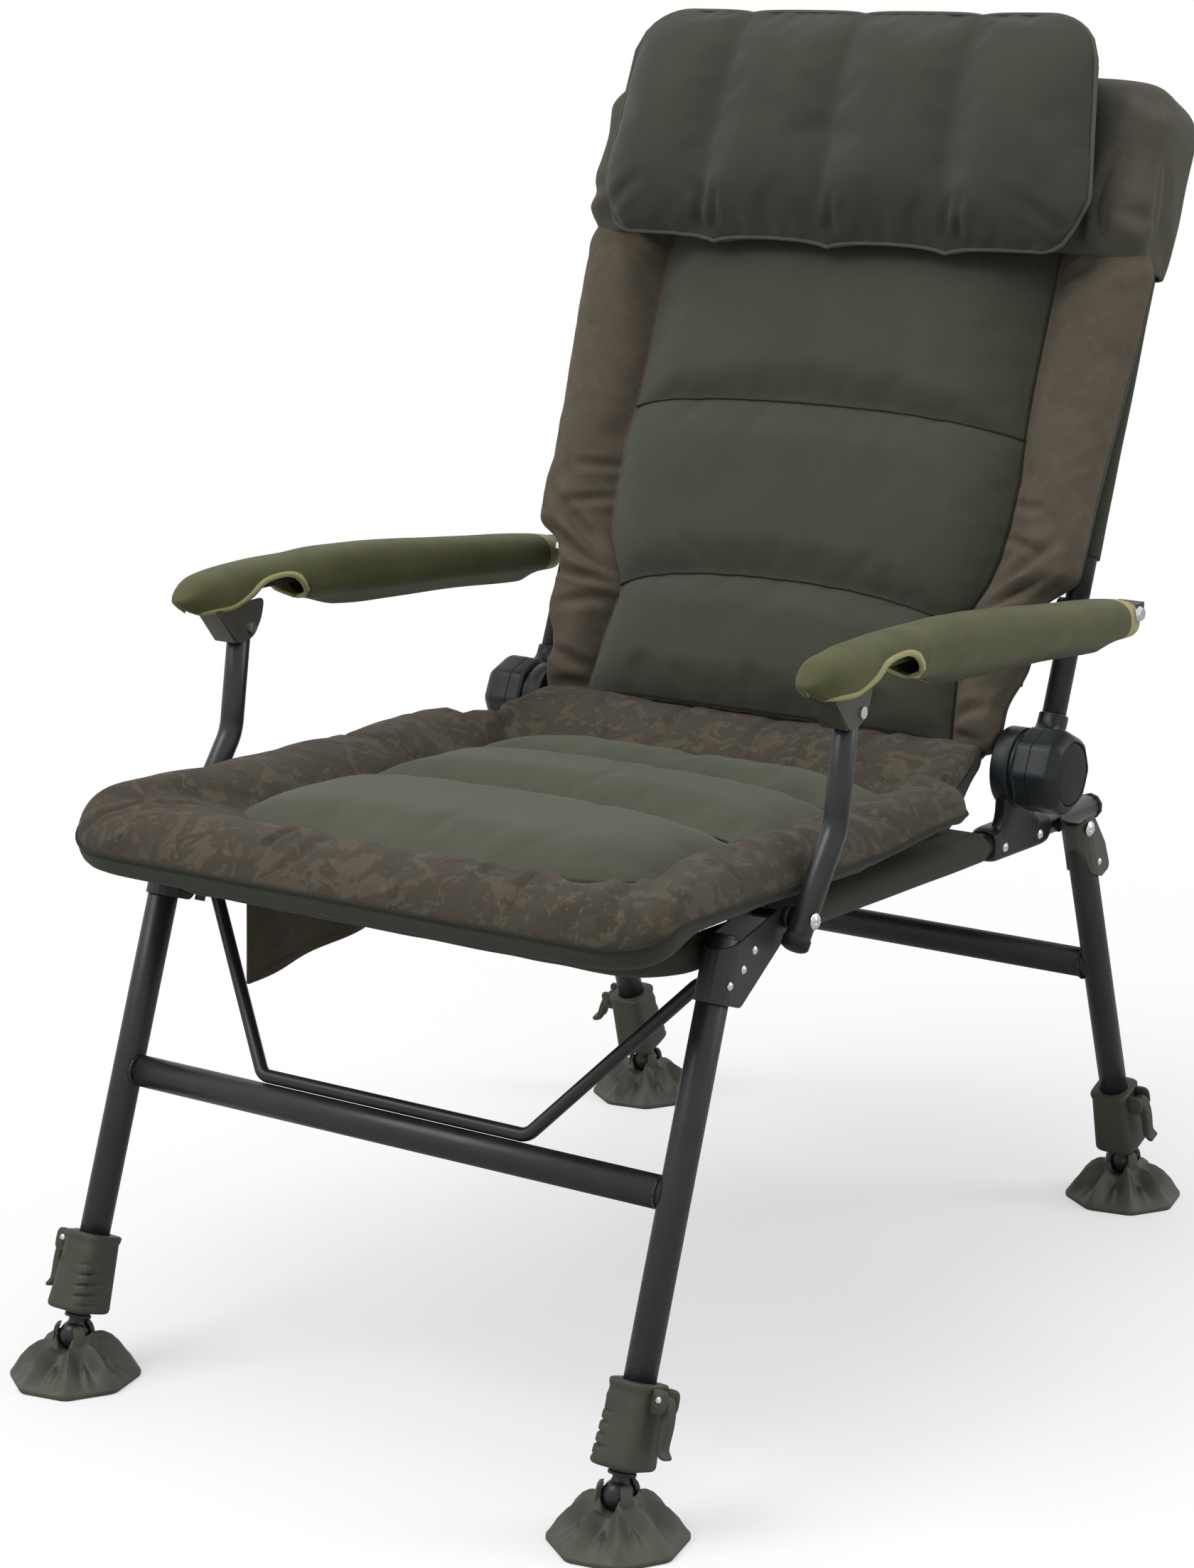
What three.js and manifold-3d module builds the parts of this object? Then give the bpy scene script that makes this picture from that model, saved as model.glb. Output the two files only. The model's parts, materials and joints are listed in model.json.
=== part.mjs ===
// Reclining fishing chair: a padded high back on two lockable recliner hubs, linked armrests, and two
// folding leg frames with telescopic cam-lock feet. Millimetres, +Z up, the sitter faces -Y.
import * as THREE from 'three';
import { mergeVertices } from 'three/addons/utils/BufferGeometryUtils.js';
import Module from 'manifold-3d';

const wasm = await Module();
wasm.setup();

const degree = Math.PI / 180;
const gap = 0.3;
const overrun = 3;
const tubeSides = 10;
const smallSides = 8;
const eyeSides = 12;
const discSides = 24;

// Seat frame: a U of round tube, its rails dropping slightly to the rear. Seat places are along the rail (y)
// and square to it (z), from the point under the middle of the chair.
const rail = {
  radius: 11, halfSpan: 240, axisHeight: 398, drop: -2.4 * degree,
  frontY: -335, rearY: 383, cornerRadius: 44, capLength: 5, capDome: 2,
};
const hub = { y: 222.5, z: 63.4 };
const frontPivot = { y: -223.1, z: 22.7 };
const rearPivot = { y: 299, z: 0 };
const boltRadius = 4;

// Sling of the seat, sewn round the rails in sleeves that leave the leg brackets free
const sling = { thickness: 2, frontSleeveEnd: -270, rearSleeveStart: -190, rearSleeveEnd: 165, notchDepth: 15 };

// Sheet-metal stack outside each rail, from the rail outwards
const railPlate = { thickness: 2.4, topRadius: 10, front: -267, rear: -200, saddleWrap: 5 };
const wing = { thickness: 1.7, pivotRadius: 10 };
const spacer = { radius: 8.5 };
const washer = { radius: 7, head: 3.2, nut: 5 };

// Legs: outer tube, telescopic inner leg, clamp collar, cam lever and mud foot
const leg = { radius: 12.5, boreRadius: 10.9, innerRadius: 9.8, boreDepth: 235, overlap: 215, barWidth: 20 };
const frontLeg = {
  lean: -17.7 * degree, tubeOffset: -59.2, tubeTop: -26, barDepth: 219.6, barTall: 26,
  plugLength: 4,
};
const rearLeg = {
  lean: 21.4 * degree, tubeOffset: 3.9, tubeTop: -13, barDepth: 150.6, barTall: 30,
  plugLength: 4,
};
const ball = { radius: 12, height: 36, neckRadius: 6.5, neckLength: 5, sides: 8 };
const collar = {
  length: 66, halfWidth: 18.2, cornerRadius: 6.5, ballClearance: 18, grip: 44, flangeLength: 7, flange: 2.6,
  ribs: 4, ribPitch: 9, ribDepth: 1.6, earThickness: 3.4, earReach: 13.5, earTall: 18, hingeDrop: 13, hingeOut: 6.4,
};
const lever = {
  width: 13, thickness: 6.4, length: 52, camRadius: 6.6, hook: 7, bow: 3.5, pinRadius: 2.3,
  handleRound: 30, elbowRound: 12, tipRound: 1.5,
  restOpen: 29 * degree,
};
const foot = {
  radius: 52.5, edge: 4.2, lobes: 8, lobeShare: 0.075, dishHeight: 15, socketWall: 3.4, socketRise: 7,
  socketFoot: 22, slotWidth: 7, slotDepth: 13, innerShare: 0.55,
};

// Stay bar: a thin hoop on the front leg frame, flattened where it is riveted to the brackets
const stay = {
  radius: 5.5, cornerInset: 138.5, topInset: 54.5, crossingY: -31, crossingDepth: 67, tabY: -30, tabDepth: 54,
  bend: 26, tabThickness: 2, tabWidth: 11, tabLength: 17, tabEdge: 2,
  endBend: 9,
};

// Recliner hub, from the rail outwards
const base = {
  inset: 2.5, thickness: 20, radius: 35, teeth: 24, toothDepth: 1.8, toothRing: 3, toothInset: 2.6, clampFront: 178, clampRear: 283,
  clampWall: 4.2, clampInner: 13.5, clampOuter: 1.6, neckFront: 26, neckRear: 30,
};
const socket = { clearance: 0.6, thickness: 15, radius: 34, wall: 3, sleeveFrom: 38, sleeveTo: 51, neckHalf: 15 };
const knob = {
  clearance: 0.5, thickness: 27, radius: 37, flats: 8, flatShare: 0.945, shaftRadius: 6, rimSoft: 5,
  recessRadius: 27.5, recessDepth: 4, capCrown: 1.6, pointsPerFlat: 4,
};

// Back frame, leaning back from the hub
const back = {
  lean: -19.6 * degree, tubeRadius: 10.5, tubeForward: 13.1, top: 588, cornerRadius: 62, lowBarHeight: 178,
  lowBarRadius: 8, armBoltHeight: 148.2,
};
const backSling = { thickness: 1.8, sleeveStart: 192, sleeveEnd: 566, bottom: 70, waistInset: 29.6 };

// Armrests: a flat bar in a padded sleeve, hung between the back tube and a swinging post
const arm = {
  outset: 5.2, barHalfWidth: 12, barTall: 9, padHalfWidth: 22, frontReach: 76, rearReach: 52,
  boltCollar: 7.5, headRadius: 7, headLength: 3.6, padGap: 0.5,
};
const clip = {
  cheek: 2, wall: 2.2, barDrop: 13, frontReach: 56, rearReach: 30, noseRadius: 5, tailDrop: 8, edgeRound: 2,
};
const post = {
  radius: 10, cushionGap: 1.8, length: 162.3, angle: 20.06 * degree, slotRadius: 7.1, slotBack: -1.4, slotDown: -1.5,
  rivetRadius: 3, topReach: 6, topBack: -3, kneeBack: 19, kneeHeight: 74, tail: 17, bend: 42, capLength: 7,
  capRadius: 11,
};

// Seat cushion: border and three channels on the sling. Its overhang and insets are from the rail's axis.
const seatPad = {
  front: -415, rear: 208, overhang: 46, cornerReach: 74, cornerEnd: -368, waistStart: 112, waistEnd: 180,
  waistInset: 4, rearInset: 14, panelInset: 40, liftInset: 22, underside: 10, frontCrown: 60, sideCrown: 72,
  panelCrown: 64, seamHeight: 47, edgeHeight: 34, frontSeams: [-326, -142, 14, 110], lip: 1.5,
};
// How its sides rise off the frame: over the leg brackets, higher towards the rear, down again at the waist
const seatLift = {
  riseEnd: -345, frontRaise: 34, climbStart: -150, climbEnd: 62, rearRaise: 46, fallStart: 100, fallEnd: 150,
  waistRise: 4.5,
};

// Back cushion with its hood, and the strapped-on pillow. Insets and overhangs are from the back tube's axis.
const backPad = {
  bottom: 4, hipInset: 31.1, hipTop: 44, waistInset: 16.6, flareStart: 140, flareEnd: 168, lowOverhang: 15.4,
  topOverhang: 28.4, shoulder: 566, shoulderOverhang: 17.4, top: 612, seams: [129, 291], panelTop: 445,
  panelInset: 62.6, seam: 20, border: 44, panel: 60, edge: 21, hoodStart: 446, hoodFront: 76, hoodMid: 62,
  hoodRear: 29.4, wingInset: 27.6, edgeSoft: 9,
};
const pillow = {
  bottom: 436, top: 644, inset: 16.6, topInset: 29.6, bottomInset: 27.6, thickness: 66, seamShare: 0.7,
  channels: 4, softness: 3, cornerWidth: 50, cornerTall: 46,
};

// Fabric pocket that hangs from the sling beside the sitter
const pocket = { front: -228, rear: 20, depth: 104, rearShare: 0.72, thickness: 2.4, folds: 3, foldDepth: 3.2 };

// Colours, with how rough and how metallic each surface is
const looks = {
  frame: { color: 0x33383a, roughness: 0.42, metalness: 0.55 },
  post: { color: 0x3a3f41, roughness: 0.36, metalness: 0.6 },
  pressed: { color: 0x2a2d2c, roughness: 0.5, metalness: 0.4 },
  pressedOlive: { color: 0x45463b, roughness: 0.55, metalness: 0.3 },
  bolt: { color: 0xb9bcbc, roughness: 0.3, metalness: 0.95 },
  hub: { color: 0x1c1e20, roughness: 0.5, metalness: 0 },
  hubCap: { color: 0x3a322b, roughness: 0.55, metalness: 0 },
  clamp: { color: 0x44443a, roughness: 0.6, metalness: 0 },
  panelCloth: { color: 0x43463c, roughness: 0.95, metalness: 0 },
  borderCloth: { color: 0x4e4638, roughness: 0.92, metalness: 0 },
  slingCloth: { color: 0x2e3028, roughness: 0.9, metalness: 0 },
  sleeveCloth: { color: 0x565a38, roughness: 0.9, metalness: 0 },
};

// Shape tools

const point = (x, y, z) => new THREE.Vector3(x, y, z);

function ring(radius, sides, u = 0, v = 0, turn = 0.5) {
  return Array.from({ length: sides }, (_, i) => {
    const angle = (2 * Math.PI * (i + turn)) / sides;
    return new THREE.Vector2(u + radius * Math.cos(angle), v + radius * Math.sin(angle));
  });
}

// Circumradius of a faceted hole that clears a round pin turned to any angle
function holeFor(radius, sides = smallSides) {
  return (radius + gap) / Math.cos(Math.PI / sides);
}

// Corners [u, v, radius] joined by straight lines, each corner rounded by an arc of its radius
function rounded(corners, steps = 3) {
  const spots = corners.map(([u, v]) => new THREE.Vector2(u, v));
  return corners.flatMap(([, , radius], i) => {
    const corner = spots[i];
    if (!radius) return [corner];
    const toBefore = spots.at(i - 1).clone().sub(corner).normalize();
    const toAfter = spots[(i + 1) % spots.length].clone().sub(corner).normalize();
    const half = Math.acos(THREE.MathUtils.clamp(toBefore.dot(toAfter), -1, 1)) / 2;
    const middle = toBefore.clone().add(toAfter).normalize();
    const centre = corner.clone().addScaledVector(middle, radius / Math.sin(half));
    const first = corner.clone().addScaledVector(toBefore, radius / Math.tan(half)).sub(centre);
    const last = corner.clone().addScaledVector(toAfter, radius / Math.tan(half)).sub(centre);
    const sweep = Math.atan2(first.cross(last), first.dot(last));
    return Array.from({ length: steps + 1 }, (_, k) =>
      first.clone().rotateAround(new THREE.Vector2(), (sweep * k) / steps).add(centre));
  });
}

// The outline's u and v run along y and z, along z and x, or along x and y
const axes = {
  x: new THREE.Matrix4().makeBasis(point(0, 1, 0), point(0, 0, 1), point(1, 0, 0)),
  y: new THREE.Matrix4().makeBasis(point(0, 0, 1), point(1, 0, 0), point(0, 1, 0)),
  z: new THREE.Matrix4(),
};

function prism(outline, axis, from, to) {
  const geometry = new THREE.ExtrudeGeometry(new THREE.Shape(outline), { depth: to - from, bevelEnabled: false });
  return geometry.translate(0, 0, from).applyMatrix4(axes[axis]);
}

// Profile of [radius, place along the axis] pairs from one end on the axis to the other, revolved
function turned(profile, axis, sides, u = 0, v = 0) {
  const geometry = new THREE.LatheGeometry(profile.map(([r, h]) => new THREE.Vector2(r, h)), sides);
  geometry.rotateX(Math.PI / 2);
  return geometry.rotateZ(Math.PI / sides).translate(u, v, 0).applyMatrix4(axes[axis]);
}

// A path through its corner points, with each corner bent to a radius, sampled only where it bends
class BentPath extends THREE.Curve {
  constructor(corners, bendRadius, bendSteps) {
    super();
    this.stations = [{ at: corners[0], way: corners[1].clone().sub(corners[0]).normalize() }];
    for (let i = 1; i < corners.length - 1; i += 1) {
      const inward = corners[i].clone().sub(corners[i - 1]).normalize();
      const outward = corners[i + 1].clone().sub(corners[i]).normalize();
      const turn = inward.angleTo(outward);
      const side = outward.clone().addScaledVector(inward, -Math.cos(turn)).normalize();
      const start = corners[i].clone().addScaledVector(inward, -bendRadius * Math.tan(turn / 2));
      for (let k = 0; k <= bendSteps; k += 1) {
        const angle = (turn * k) / bendSteps;
        const at = start.clone()
          .addScaledVector(inward, bendRadius * Math.sin(angle))
          .addScaledVector(side, bendRadius * (1 - Math.cos(angle)));
        const way = inward.clone().multiplyScalar(Math.cos(angle)).addScaledVector(side, Math.sin(angle));
        this.stations.push({ at, way });
      }
    }
    const [before, last] = corners.slice(-2);
    this.stations.push({ at: last, way: last.clone().sub(before).normalize() });
  }

  station(u) {
    return this.stations[Math.round(u * (this.stations.length - 1))];
  }

  getPointAt(u, target = new THREE.Vector3()) {
    return target.copy(this.station(u).at);
  }

  getTangentAt(u, target = new THREE.Vector3()) {
    return target.copy(this.station(u).way);
  }
}

function tube(corners, radius, bendRadius = 0, bendSteps = 4, sides = tubeSides) {
  const path = new BentPath(corners, bendRadius, bendSteps);
  const section = new THREE.Shape(ring(radius, sides));
  return new THREE.ExtrudeGeometry(section, { steps: path.stations.length - 1, extrudePath: path });
}

// Closed skin over a row of sections with the same number of points, each end closed by a fan
function loft(sections) {
  const count = sections[0].length;
  const spots = sections.flat();
  const index = [];
  for (let row = 0; row < sections.length - 1; row += 1) {
    for (let i = 0; i < count; i += 1) {
      const a = row * count + i;
      const b = row * count + ((i + 1) % count);
      index.push(a, b, b + count, a, b + count, a + count);
    }
  }
  for (const [row, flip] of [[0, true], [sections.length - 1, false]]) {
    const middle = sections[row].reduce((sum, p) => sum.add(p), point(0, 0, 0)).divideScalar(count);
    const hubIndex = spots.push(middle) - 1;
    for (let i = 0; i < count; i += 1) {
      const a = row * count + i;
      const b = row * count + ((i + 1) % count);
      index.push(hubIndex, ...(flip ? [b, a] : [a, b]));
    }
  }
  const geometry = new THREE.BufferGeometry().setFromPoints(spots);
  geometry.setIndex(index);
  return geometry;
}

function toSolid(geometry) {
  const bare = geometry.clone();
  bare.deleteAttribute('normal');
  bare.deleteAttribute('uv');
  const merged = mergeVertices(bare);
  return new wasm.Manifold(new wasm.Mesh({
    numProp: 3,
    vertProperties: Float32Array.from(merged.attributes.position.array),
    triVerts: Uint32Array.from(merged.index.array),
  }));
}

function toGeometry(solid) {
  const mesh = solid.getMesh();
  const geometry = new THREE.BufferGeometry();
  geometry.setAttribute('position', new THREE.BufferAttribute(mesh.vertProperties, 3));
  geometry.setIndex(new THREE.BufferAttribute(mesh.triVerts, 1));
  geometry.computeVertexNormals();
  return geometry;
}

// Joins the first list of shapes and cuts the second list out
function carved(shapes, cuts = []) {
  const whole = shapes.map(toSolid).reduce((sum, next) => sum.add(next));
  return toGeometry(cuts.map(toSolid).reduce((sum, next) => sum.subtract(next), whole));
}

function shared(a, b) {
  return toGeometry(toSolid(a).intersect(toSolid(b)));
}

function piece(parent, name, geometry, look) {
  const mesh = new THREE.Mesh(geometry, new THREE.MeshStandardMaterial(look));
  mesh.name = name;
  parent.add(mesh);
  return mesh;
}

function groupAt(parent, name, y, z, turn) {
  const group = new THREE.Group();
  group.name = name;
  group.position.set(0, y, z);
  group.rotation.x = turn;
  parent.add(group);
  return group;
}

// Builds the sitter's left half at +X, and its mirror image at -X
function bothSides(parent, build) {
  for (const [side, sign] of [['left', 1], ['right', -1]]) {
    const half = new THREE.Group();
    half.scale.x = sign;
    parent.add(half);
    build(half, side);
  }
}

const smooth = (from, to, value) => THREE.MathUtils.smoothstep(value, from, to);
const mix = THREE.MathUtils.lerp;

// Height of a stuffed channel between two seams, from 0 on a seam to 1 in its middle
function puff(value, from, to) {
  const share = THREE.MathUtils.clamp((value - from) / (to - from), 0, 1);
  return 1 - Math.abs(2 * share - 1) ** 3;
}

function betweenSeams(value, seams) {
  const next = seams.findIndex((seam) => seam > value);
  return next < 1 ? 0 : puff(value, seams[next - 1], seams[next]);
}

// Places across the chair, stacked outwards from the rail
const railSide = rail.halfSpan + rail.radius;
const railPlateFrom = railSide + gap;
const railPlateTo = railPlateFrom + railPlate.thickness;
const innerWingFrom = railPlateTo + gap;
const innerWingTo = innerWingFrom + wing.thickness;
const legX = innerWingTo + gap + leg.radius;
const outerWingFrom = legX + leg.radius + gap;
const outerWingTo = outerWingFrom + wing.thickness;
const spacerFrom = outerWingTo + gap;
const cushionSide = rail.halfSpan + seatPad.overhang;
const postX = cushionSide + post.cushionGap + post.capRadius;
const postSide = postX + post.radius;
const spacerTo = postX - post.radius - gap;
const armX = postX + arm.outset;
const baseInner = rail.halfSpan - base.inset;
const baseFace = baseInner + base.thickness;
const socketFrom = baseFace + socket.clearance;
const socketTo = socketFrom + socket.thickness;
const backTubeX = (socketFrom + socketTo) / 2;
const knobFrom = socketTo + knob.clearance;
const knobTo = knobFrom + knob.thickness;
const boltHole = holeFor(boltRadius);

// Half widths of the cushions, taken from the tubes that carry them
const seatHalf = {
  waist: rail.halfSpan - seatPad.waistInset,
  rear: rail.halfSpan - seatPad.rearInset,
  panel: rail.halfSpan - seatPad.panelInset,
  lift: rail.halfSpan - seatPad.liftInset,
};
const backHalf = {
  hip: backTubeX - backPad.hipInset,
  waist: backTubeX - backPad.waistInset,
  low: backTubeX + backPad.lowOverhang,
  top: backTubeX + backPad.topOverhang,
  shoulder: backTubeX + backPad.shoulderOverhang,
  panel: backTubeX - backPad.panelInset,
  wing: backTubeX - backPad.wingInset,
};

const chair = new THREE.Group();
const seat = groupAt(chair, 'seat', 0, rail.axisHeight, rail.drop);

// Seat frame, sling, cushion and pocket

const railCorners = [
  point(rail.halfSpan, rail.rearY, 0),
  point(rail.halfSpan, rail.frontY, 0),
  point(-rail.halfSpan, rail.frontY, 0),
  point(-rail.halfSpan, rail.rearY, 0),
];

function seatFrame() {
  const hoop = tube(railCorners, rail.radius, rail.cornerRadius);
  const holes = [-1, 1].map((side) => {
    const from = side * rail.halfSpan - rail.radius - overrun;
    const to = side * rail.halfSpan + rail.radius + overrun;
    return prism(ring(boltHole, smallSides, rearPivot.y, rearPivot.z), 'x', from, to);
  });
  return carved([hoop], holes);
}

function seatSling() {
  const inner = rail.radius + gap;
  const outer = inner + sling.thickness;
  const sleeves = [tube(
    [
      point(rail.halfSpan, sling.frontSleeveEnd, 0),
      railCorners[1],
      railCorners[2],
      point(-rail.halfSpan, sling.frontSleeveEnd, 0),
    ],
    outer,
    rail.cornerRadius,
  )];
  for (const x of [-rail.halfSpan, rail.halfSpan]) {
    sleeves.push(tube([point(x, sling.rearSleeveStart, 0), point(x, sling.rearSleeveEnd, 0)], outer));
  }
  const notchHalf = rail.halfSpan - sling.notchDepth;
  const halfOutline = [
    [rail.halfSpan - rail.cornerRadius, rail.frontY],
    [rail.halfSpan, rail.frontY + rail.cornerRadius],
    [rail.halfSpan, sling.frontSleeveEnd],
    [notchHalf, sling.frontSleeveEnd],
    [notchHalf, sling.rearSleeveStart],
    [rail.halfSpan, sling.rearSleeveStart],
    [rail.halfSpan, sling.rearSleeveEnd],
  ];
  const outline = [...halfOutline, ...halfOutline.map(([x, y]) => [-x, y]).reverse()];
  const web = prism(outline.map(([x, y]) => new THREE.Vector2(x, y)), 'z', inner, outer);
  return carved([...sleeves, web], [tube(railCorners, inner, rail.cornerRadius)]);
}

// Half width of the seat cushion at a place along the seat, its front corners rounded
function seatHalfWidth(y) {
  const cornerShare = THREE.MathUtils.clamp((seatPad.cornerEnd - y) / (seatPad.cornerEnd - seatPad.front), 0, 1);
  const front = cushionSide - seatPad.cornerReach * (1 - Math.sqrt(1 - cornerShare ** 2));
  const waist = mix(cushionSide, seatHalf.waist, smooth(seatPad.waistStart, seatPad.waistEnd, y));
  const rear = mix(seatHalf.waist, seatHalf.rear, smooth(seatPad.waistEnd, seatPad.rear, y));
  return Math.min(front, waist, y > seatPad.waistEnd ? rear : Infinity);
}

function seatTop(x, y) {
  const reach = Math.abs(x);
  const half = seatHalfWidth(y);
  const along = betweenSeams(y, seatPad.frontSeams);
  const [first, last] = [seatPad.frontSeams[0], seatPad.frontSeams.at(-1)];
  const rollShare = 0.35;
  if (reach < seatHalf.panel && y > first && y < last) {
    const across = 1 - (reach / seatHalf.panel) ** 8;
    return mix(seatPad.seamHeight, seatPad.panelCrown, along * across);
  }
  const sideRoll = reach > seatHalf.panel ? puff(reach, seatHalf.panel, half + (half - seatHalf.panel) * rollShare) : 0;
  const frontRoll = y < first ? puff(y, seatPad.front - (first - seatPad.front) * rollShare, first) : 0;
  const rearRoll = y > last ? puff(y, last, seatPad.rear + (seatPad.rear - last) * rollShare) : 0;
  const fromEnds = smooth(seatPad.front, seatPad.cornerEnd, y) - smooth(seatPad.waistStart, seatPad.waistEnd, y);
  const side = mix(seatPad.seamHeight, mix(seatPad.frontCrown, seatPad.sideCrown, fromEnds), sideRoll);
  return Math.max(side, mix(seatPad.seamHeight, seatPad.frontCrown, Math.max(frontRoll, rearRoll)));
}

function seatUnderside(x, y) {
  const rest = rail.radius + gap + sling.thickness + gap;
  const overFront = rail.frontY - rest;
  const middle = y < overFront ? seatPad.underside : rest;
  const raised = smooth(seatPad.front, seatLift.riseEnd, y) - smooth(seatLift.fallStart, seatLift.fallEnd, y);
  const raise = mix(seatLift.frontRaise, seatLift.rearRaise, smooth(seatLift.climbStart, seatLift.climbEnd, y));
  const side = mix(middle, raise, raised) + seatLift.waistRise * smooth(seatLift.fallEnd, seatPad.waistEnd, y);
  return Math.abs(x) < seatHalf.lift ? middle : side;
}

function seatCushion() {
  const topShares = [0, 0.3, 0.6, 0.84, 1];
  const borderShares = [0.16, 0.45, 0.72, 0.91];
  const [first, second, third, last] = seatPad.frontSeams;
  const stationShares = [0.3, 0.6, 0.8, 1];
  const rows = [seatPad.front, seatPad.front + seatPad.lip, mix(seatPad.front, first, 0.12)];
  rows.push(mix(seatPad.front, first, 0.32), seatPad.cornerEnd, mix(seatPad.cornerEnd, first, 0.55));
  for (const [from, to] of [[first, second], [second, third], [third, last]]) {
    rows.push(from, ...[0.08, 0.28, 0.5, 0.72, 0.92].map((share) => mix(from, to, share)));
  }
  rows.push(last, ...stationShares.map((share) => mix(last, seatPad.waistEnd, share)));
  rows.push(mix(seatPad.waistEnd, seatPad.rear, 0.6), seatPad.rear - seatPad.lip, seatPad.rear);
  const sections = rows.map((y) => {
    const half = seatHalfWidth(y);
    const xs = [
      ...topShares.map((share) => share * seatHalf.panel),
      ...borderShares.map((share) => mix(seatHalf.panel, half, share)),
    ];
    const right = xs.slice(1).reverse().map((x) => -x);
    const endSquash = y === seatPad.front || y === seatPad.rear ? 0.55 : 1;
    const height = (x) => mix(seatPad.edgeHeight, seatTop(x, y), endSquash);
    const top = [...right, ...xs].map((x) => point(x, y, height(x)));
    const under = (x) => mix(seatPad.edgeHeight, seatUnderside(x, y), endSquash);
    const low = [half - seatPad.lip, seatHalf.lift * 1.03, seatHalf.lift * 0.985, seatHalf.panel * 0.5]
      .map((x) => Math.min(x, half - seatPad.lip));
    const bottom = [...low, ...low.toReversed().map((x) => -x)].map((x) => point(x, y, under(x)));
    const edge = mix(seatUnderside(half, y), seatTop(half, y), 0.55);
    const sideHeight = Math.max(seatPad.edgeHeight, edge);
    return [...top, point(half, y, sideHeight), ...bottom, point(-half, y, sideHeight)];
  });
  return loft(sections);
}

// Flap hung from the sling's sleeve, with soft upright folds that open out towards its hem
function pocketFlap() {
  const top = -(rail.radius + gap + sling.thickness + gap);
  const shares = Array.from({ length: 13 }, (_, i) => i / 12);
  const sections = shares.map((share) => {
    const y = mix(pocket.front, pocket.rear, share);
    const depth = pocket.depth * mix(1, pocket.rearShare, share);
    const wave = pocket.foldDepth * Math.sin(2 * Math.PI * pocket.folds * share);
    const spots = [0, 0.35, 0.7, 1].map((down) => [-rail.halfSpan + wave * down, top - depth * down]);
    const half = pocket.thickness / 2;
    return [
      ...spots.map(([x, z]) => point(x - half, y, z)),
      ...spots.toReversed().map(([x, z]) => point(x + half, y, z)),
    ].reverse();
  });
  return loft(sections);
}

piece(seat, 'seat_frame', seatFrame(), looks.frame);
piece(seat, 'seat_sling', seatSling(), looks.slingCloth);
piece(seat, 'seat_cushion', seatCushion(), looks.borderCloth);
piece(seat, 'side_pocket', pocketFlap(), looks.slingCloth);

// Rail caps, leg brackets on the rails, and the bolts of both leg frames

function railCap() {
  const from = rail.rearY + gap;
  const outside = rail.radius + rail.capDome / 2;
  const profile = [
    [0, from],
    [outside, from],
    [outside, from + rail.capLength],
    [rail.radius - rail.capDome, from + rail.capLength + rail.capDome],
    [0, from + rail.capLength + rail.capDome],
  ];
  return turned(profile, 'y', tubeSides, 0, rail.halfSpan);
}

// Pressed plate with a saddle that hugs the rail and a lug that rises to the pivot bolt
function railBracket() {
  const inside = rail.radius + gap;
  const outside = inside + railPlate.thickness;
  const lug = rounded([
    [railPlate.front, -inside, railPlate.saddleWrap],
    [railPlate.rear, -inside, railPlate.saddleWrap],
    [railPlate.rear, inside, railPlate.saddleWrap],
    [frontPivot.y + railPlate.topRadius, frontPivot.z + railPlate.topRadius, railPlate.topRadius * 0.9],
    [frontPivot.y - railPlate.topRadius, frontPivot.z + railPlate.topRadius, railPlate.topRadius * 0.9],
    [railPlate.front, inside, railPlate.saddleWrap],
  ]);
  const plate = prism(lug, 'x', railPlateFrom, railPlateTo);
  const saddle = prism(ring(outside, tubeSides, 0, rail.halfSpan), 'y', railPlate.front, railPlate.rear);
  const bore = prism(
    ring(inside, tubeSides, 0, rail.halfSpan), 'y', railPlate.front - overrun, railPlate.rear + overrun,
  );
  const reach = outside + overrun;
  const openSide = rounded([
    [-reach, rail.halfSpan - reach], [inside - railPlate.saddleWrap, rail.halfSpan - reach],
    [inside - railPlate.saddleWrap, rail.halfSpan], [-reach, rail.halfSpan + railPlate.saddleWrap],
  ].map(([z, x]) => [z, x, 0]));
  const opening = prism(openSide, 'y', railPlate.front - overrun, railPlate.rear + overrun);
  const hole = prism(ring(boltHole, smallSides, frontPivot.y, frontPivot.z), 'x', railPlateFrom - overrun,
    railPlateTo + overrun);
  const outerTrim = prism(rounded([
    [railPlate.front - overrun, -reach, 0], [railPlate.rear + overrun, -reach, 0],
    [railPlate.rear + overrun, reach, 0], [railPlate.front - overrun, reach, 0],
  ]), 'x', railPlateTo, railPlateTo + reach);
  return carved([plate, saddle], [bore, opening, hole, outerTrim]);
}

// Bolt through the pivot plates and the post: nut, shank, black spacer and domed head
function postBolt() {
  const nutFrom = railPlateFrom - gap - washer.nut;
  const headFrom = postSide + gap;
  return turned([
    [0, nutFrom],
    [washer.radius, nutFrom],
    [washer.radius, nutFrom + washer.nut],
    [boltRadius, nutFrom + washer.nut],
    [boltRadius, spacerFrom],
    [spacer.radius, spacerFrom],
    [spacer.radius, spacerTo],
    [boltRadius, spacerTo],
    [boltRadius, headFrom],
    [washer.radius, headFrom],
    [washer.radius * 0.8, headFrom + washer.head],
    [0, headFrom + washer.head],
  ], 'x', smallSides, frontPivot.y, frontPivot.z);
}

function rearLegBolt() {
  const nutFrom = rail.halfSpan - rail.radius - gap - washer.nut;
  const headFrom = outerWingTo + gap;
  return turned([
    [0, nutFrom],
    [washer.radius, nutFrom],
    [washer.radius, nutFrom + washer.nut],
    [boltRadius, nutFrom + washer.nut],
    [boltRadius, railSide + gap],
    [washer.radius, railSide + gap],
    [washer.radius, innerWingFrom - gap],
    [boltRadius, innerWingFrom - gap],
    [boltRadius, headFrom],
    [washer.radius, headFrom],
    [washer.radius * 0.8, headFrom + washer.head],
    [0, headFrom + washer.head],
  ], 'x', smallSides, rearPivot.y, rearPivot.z);
}

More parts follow.
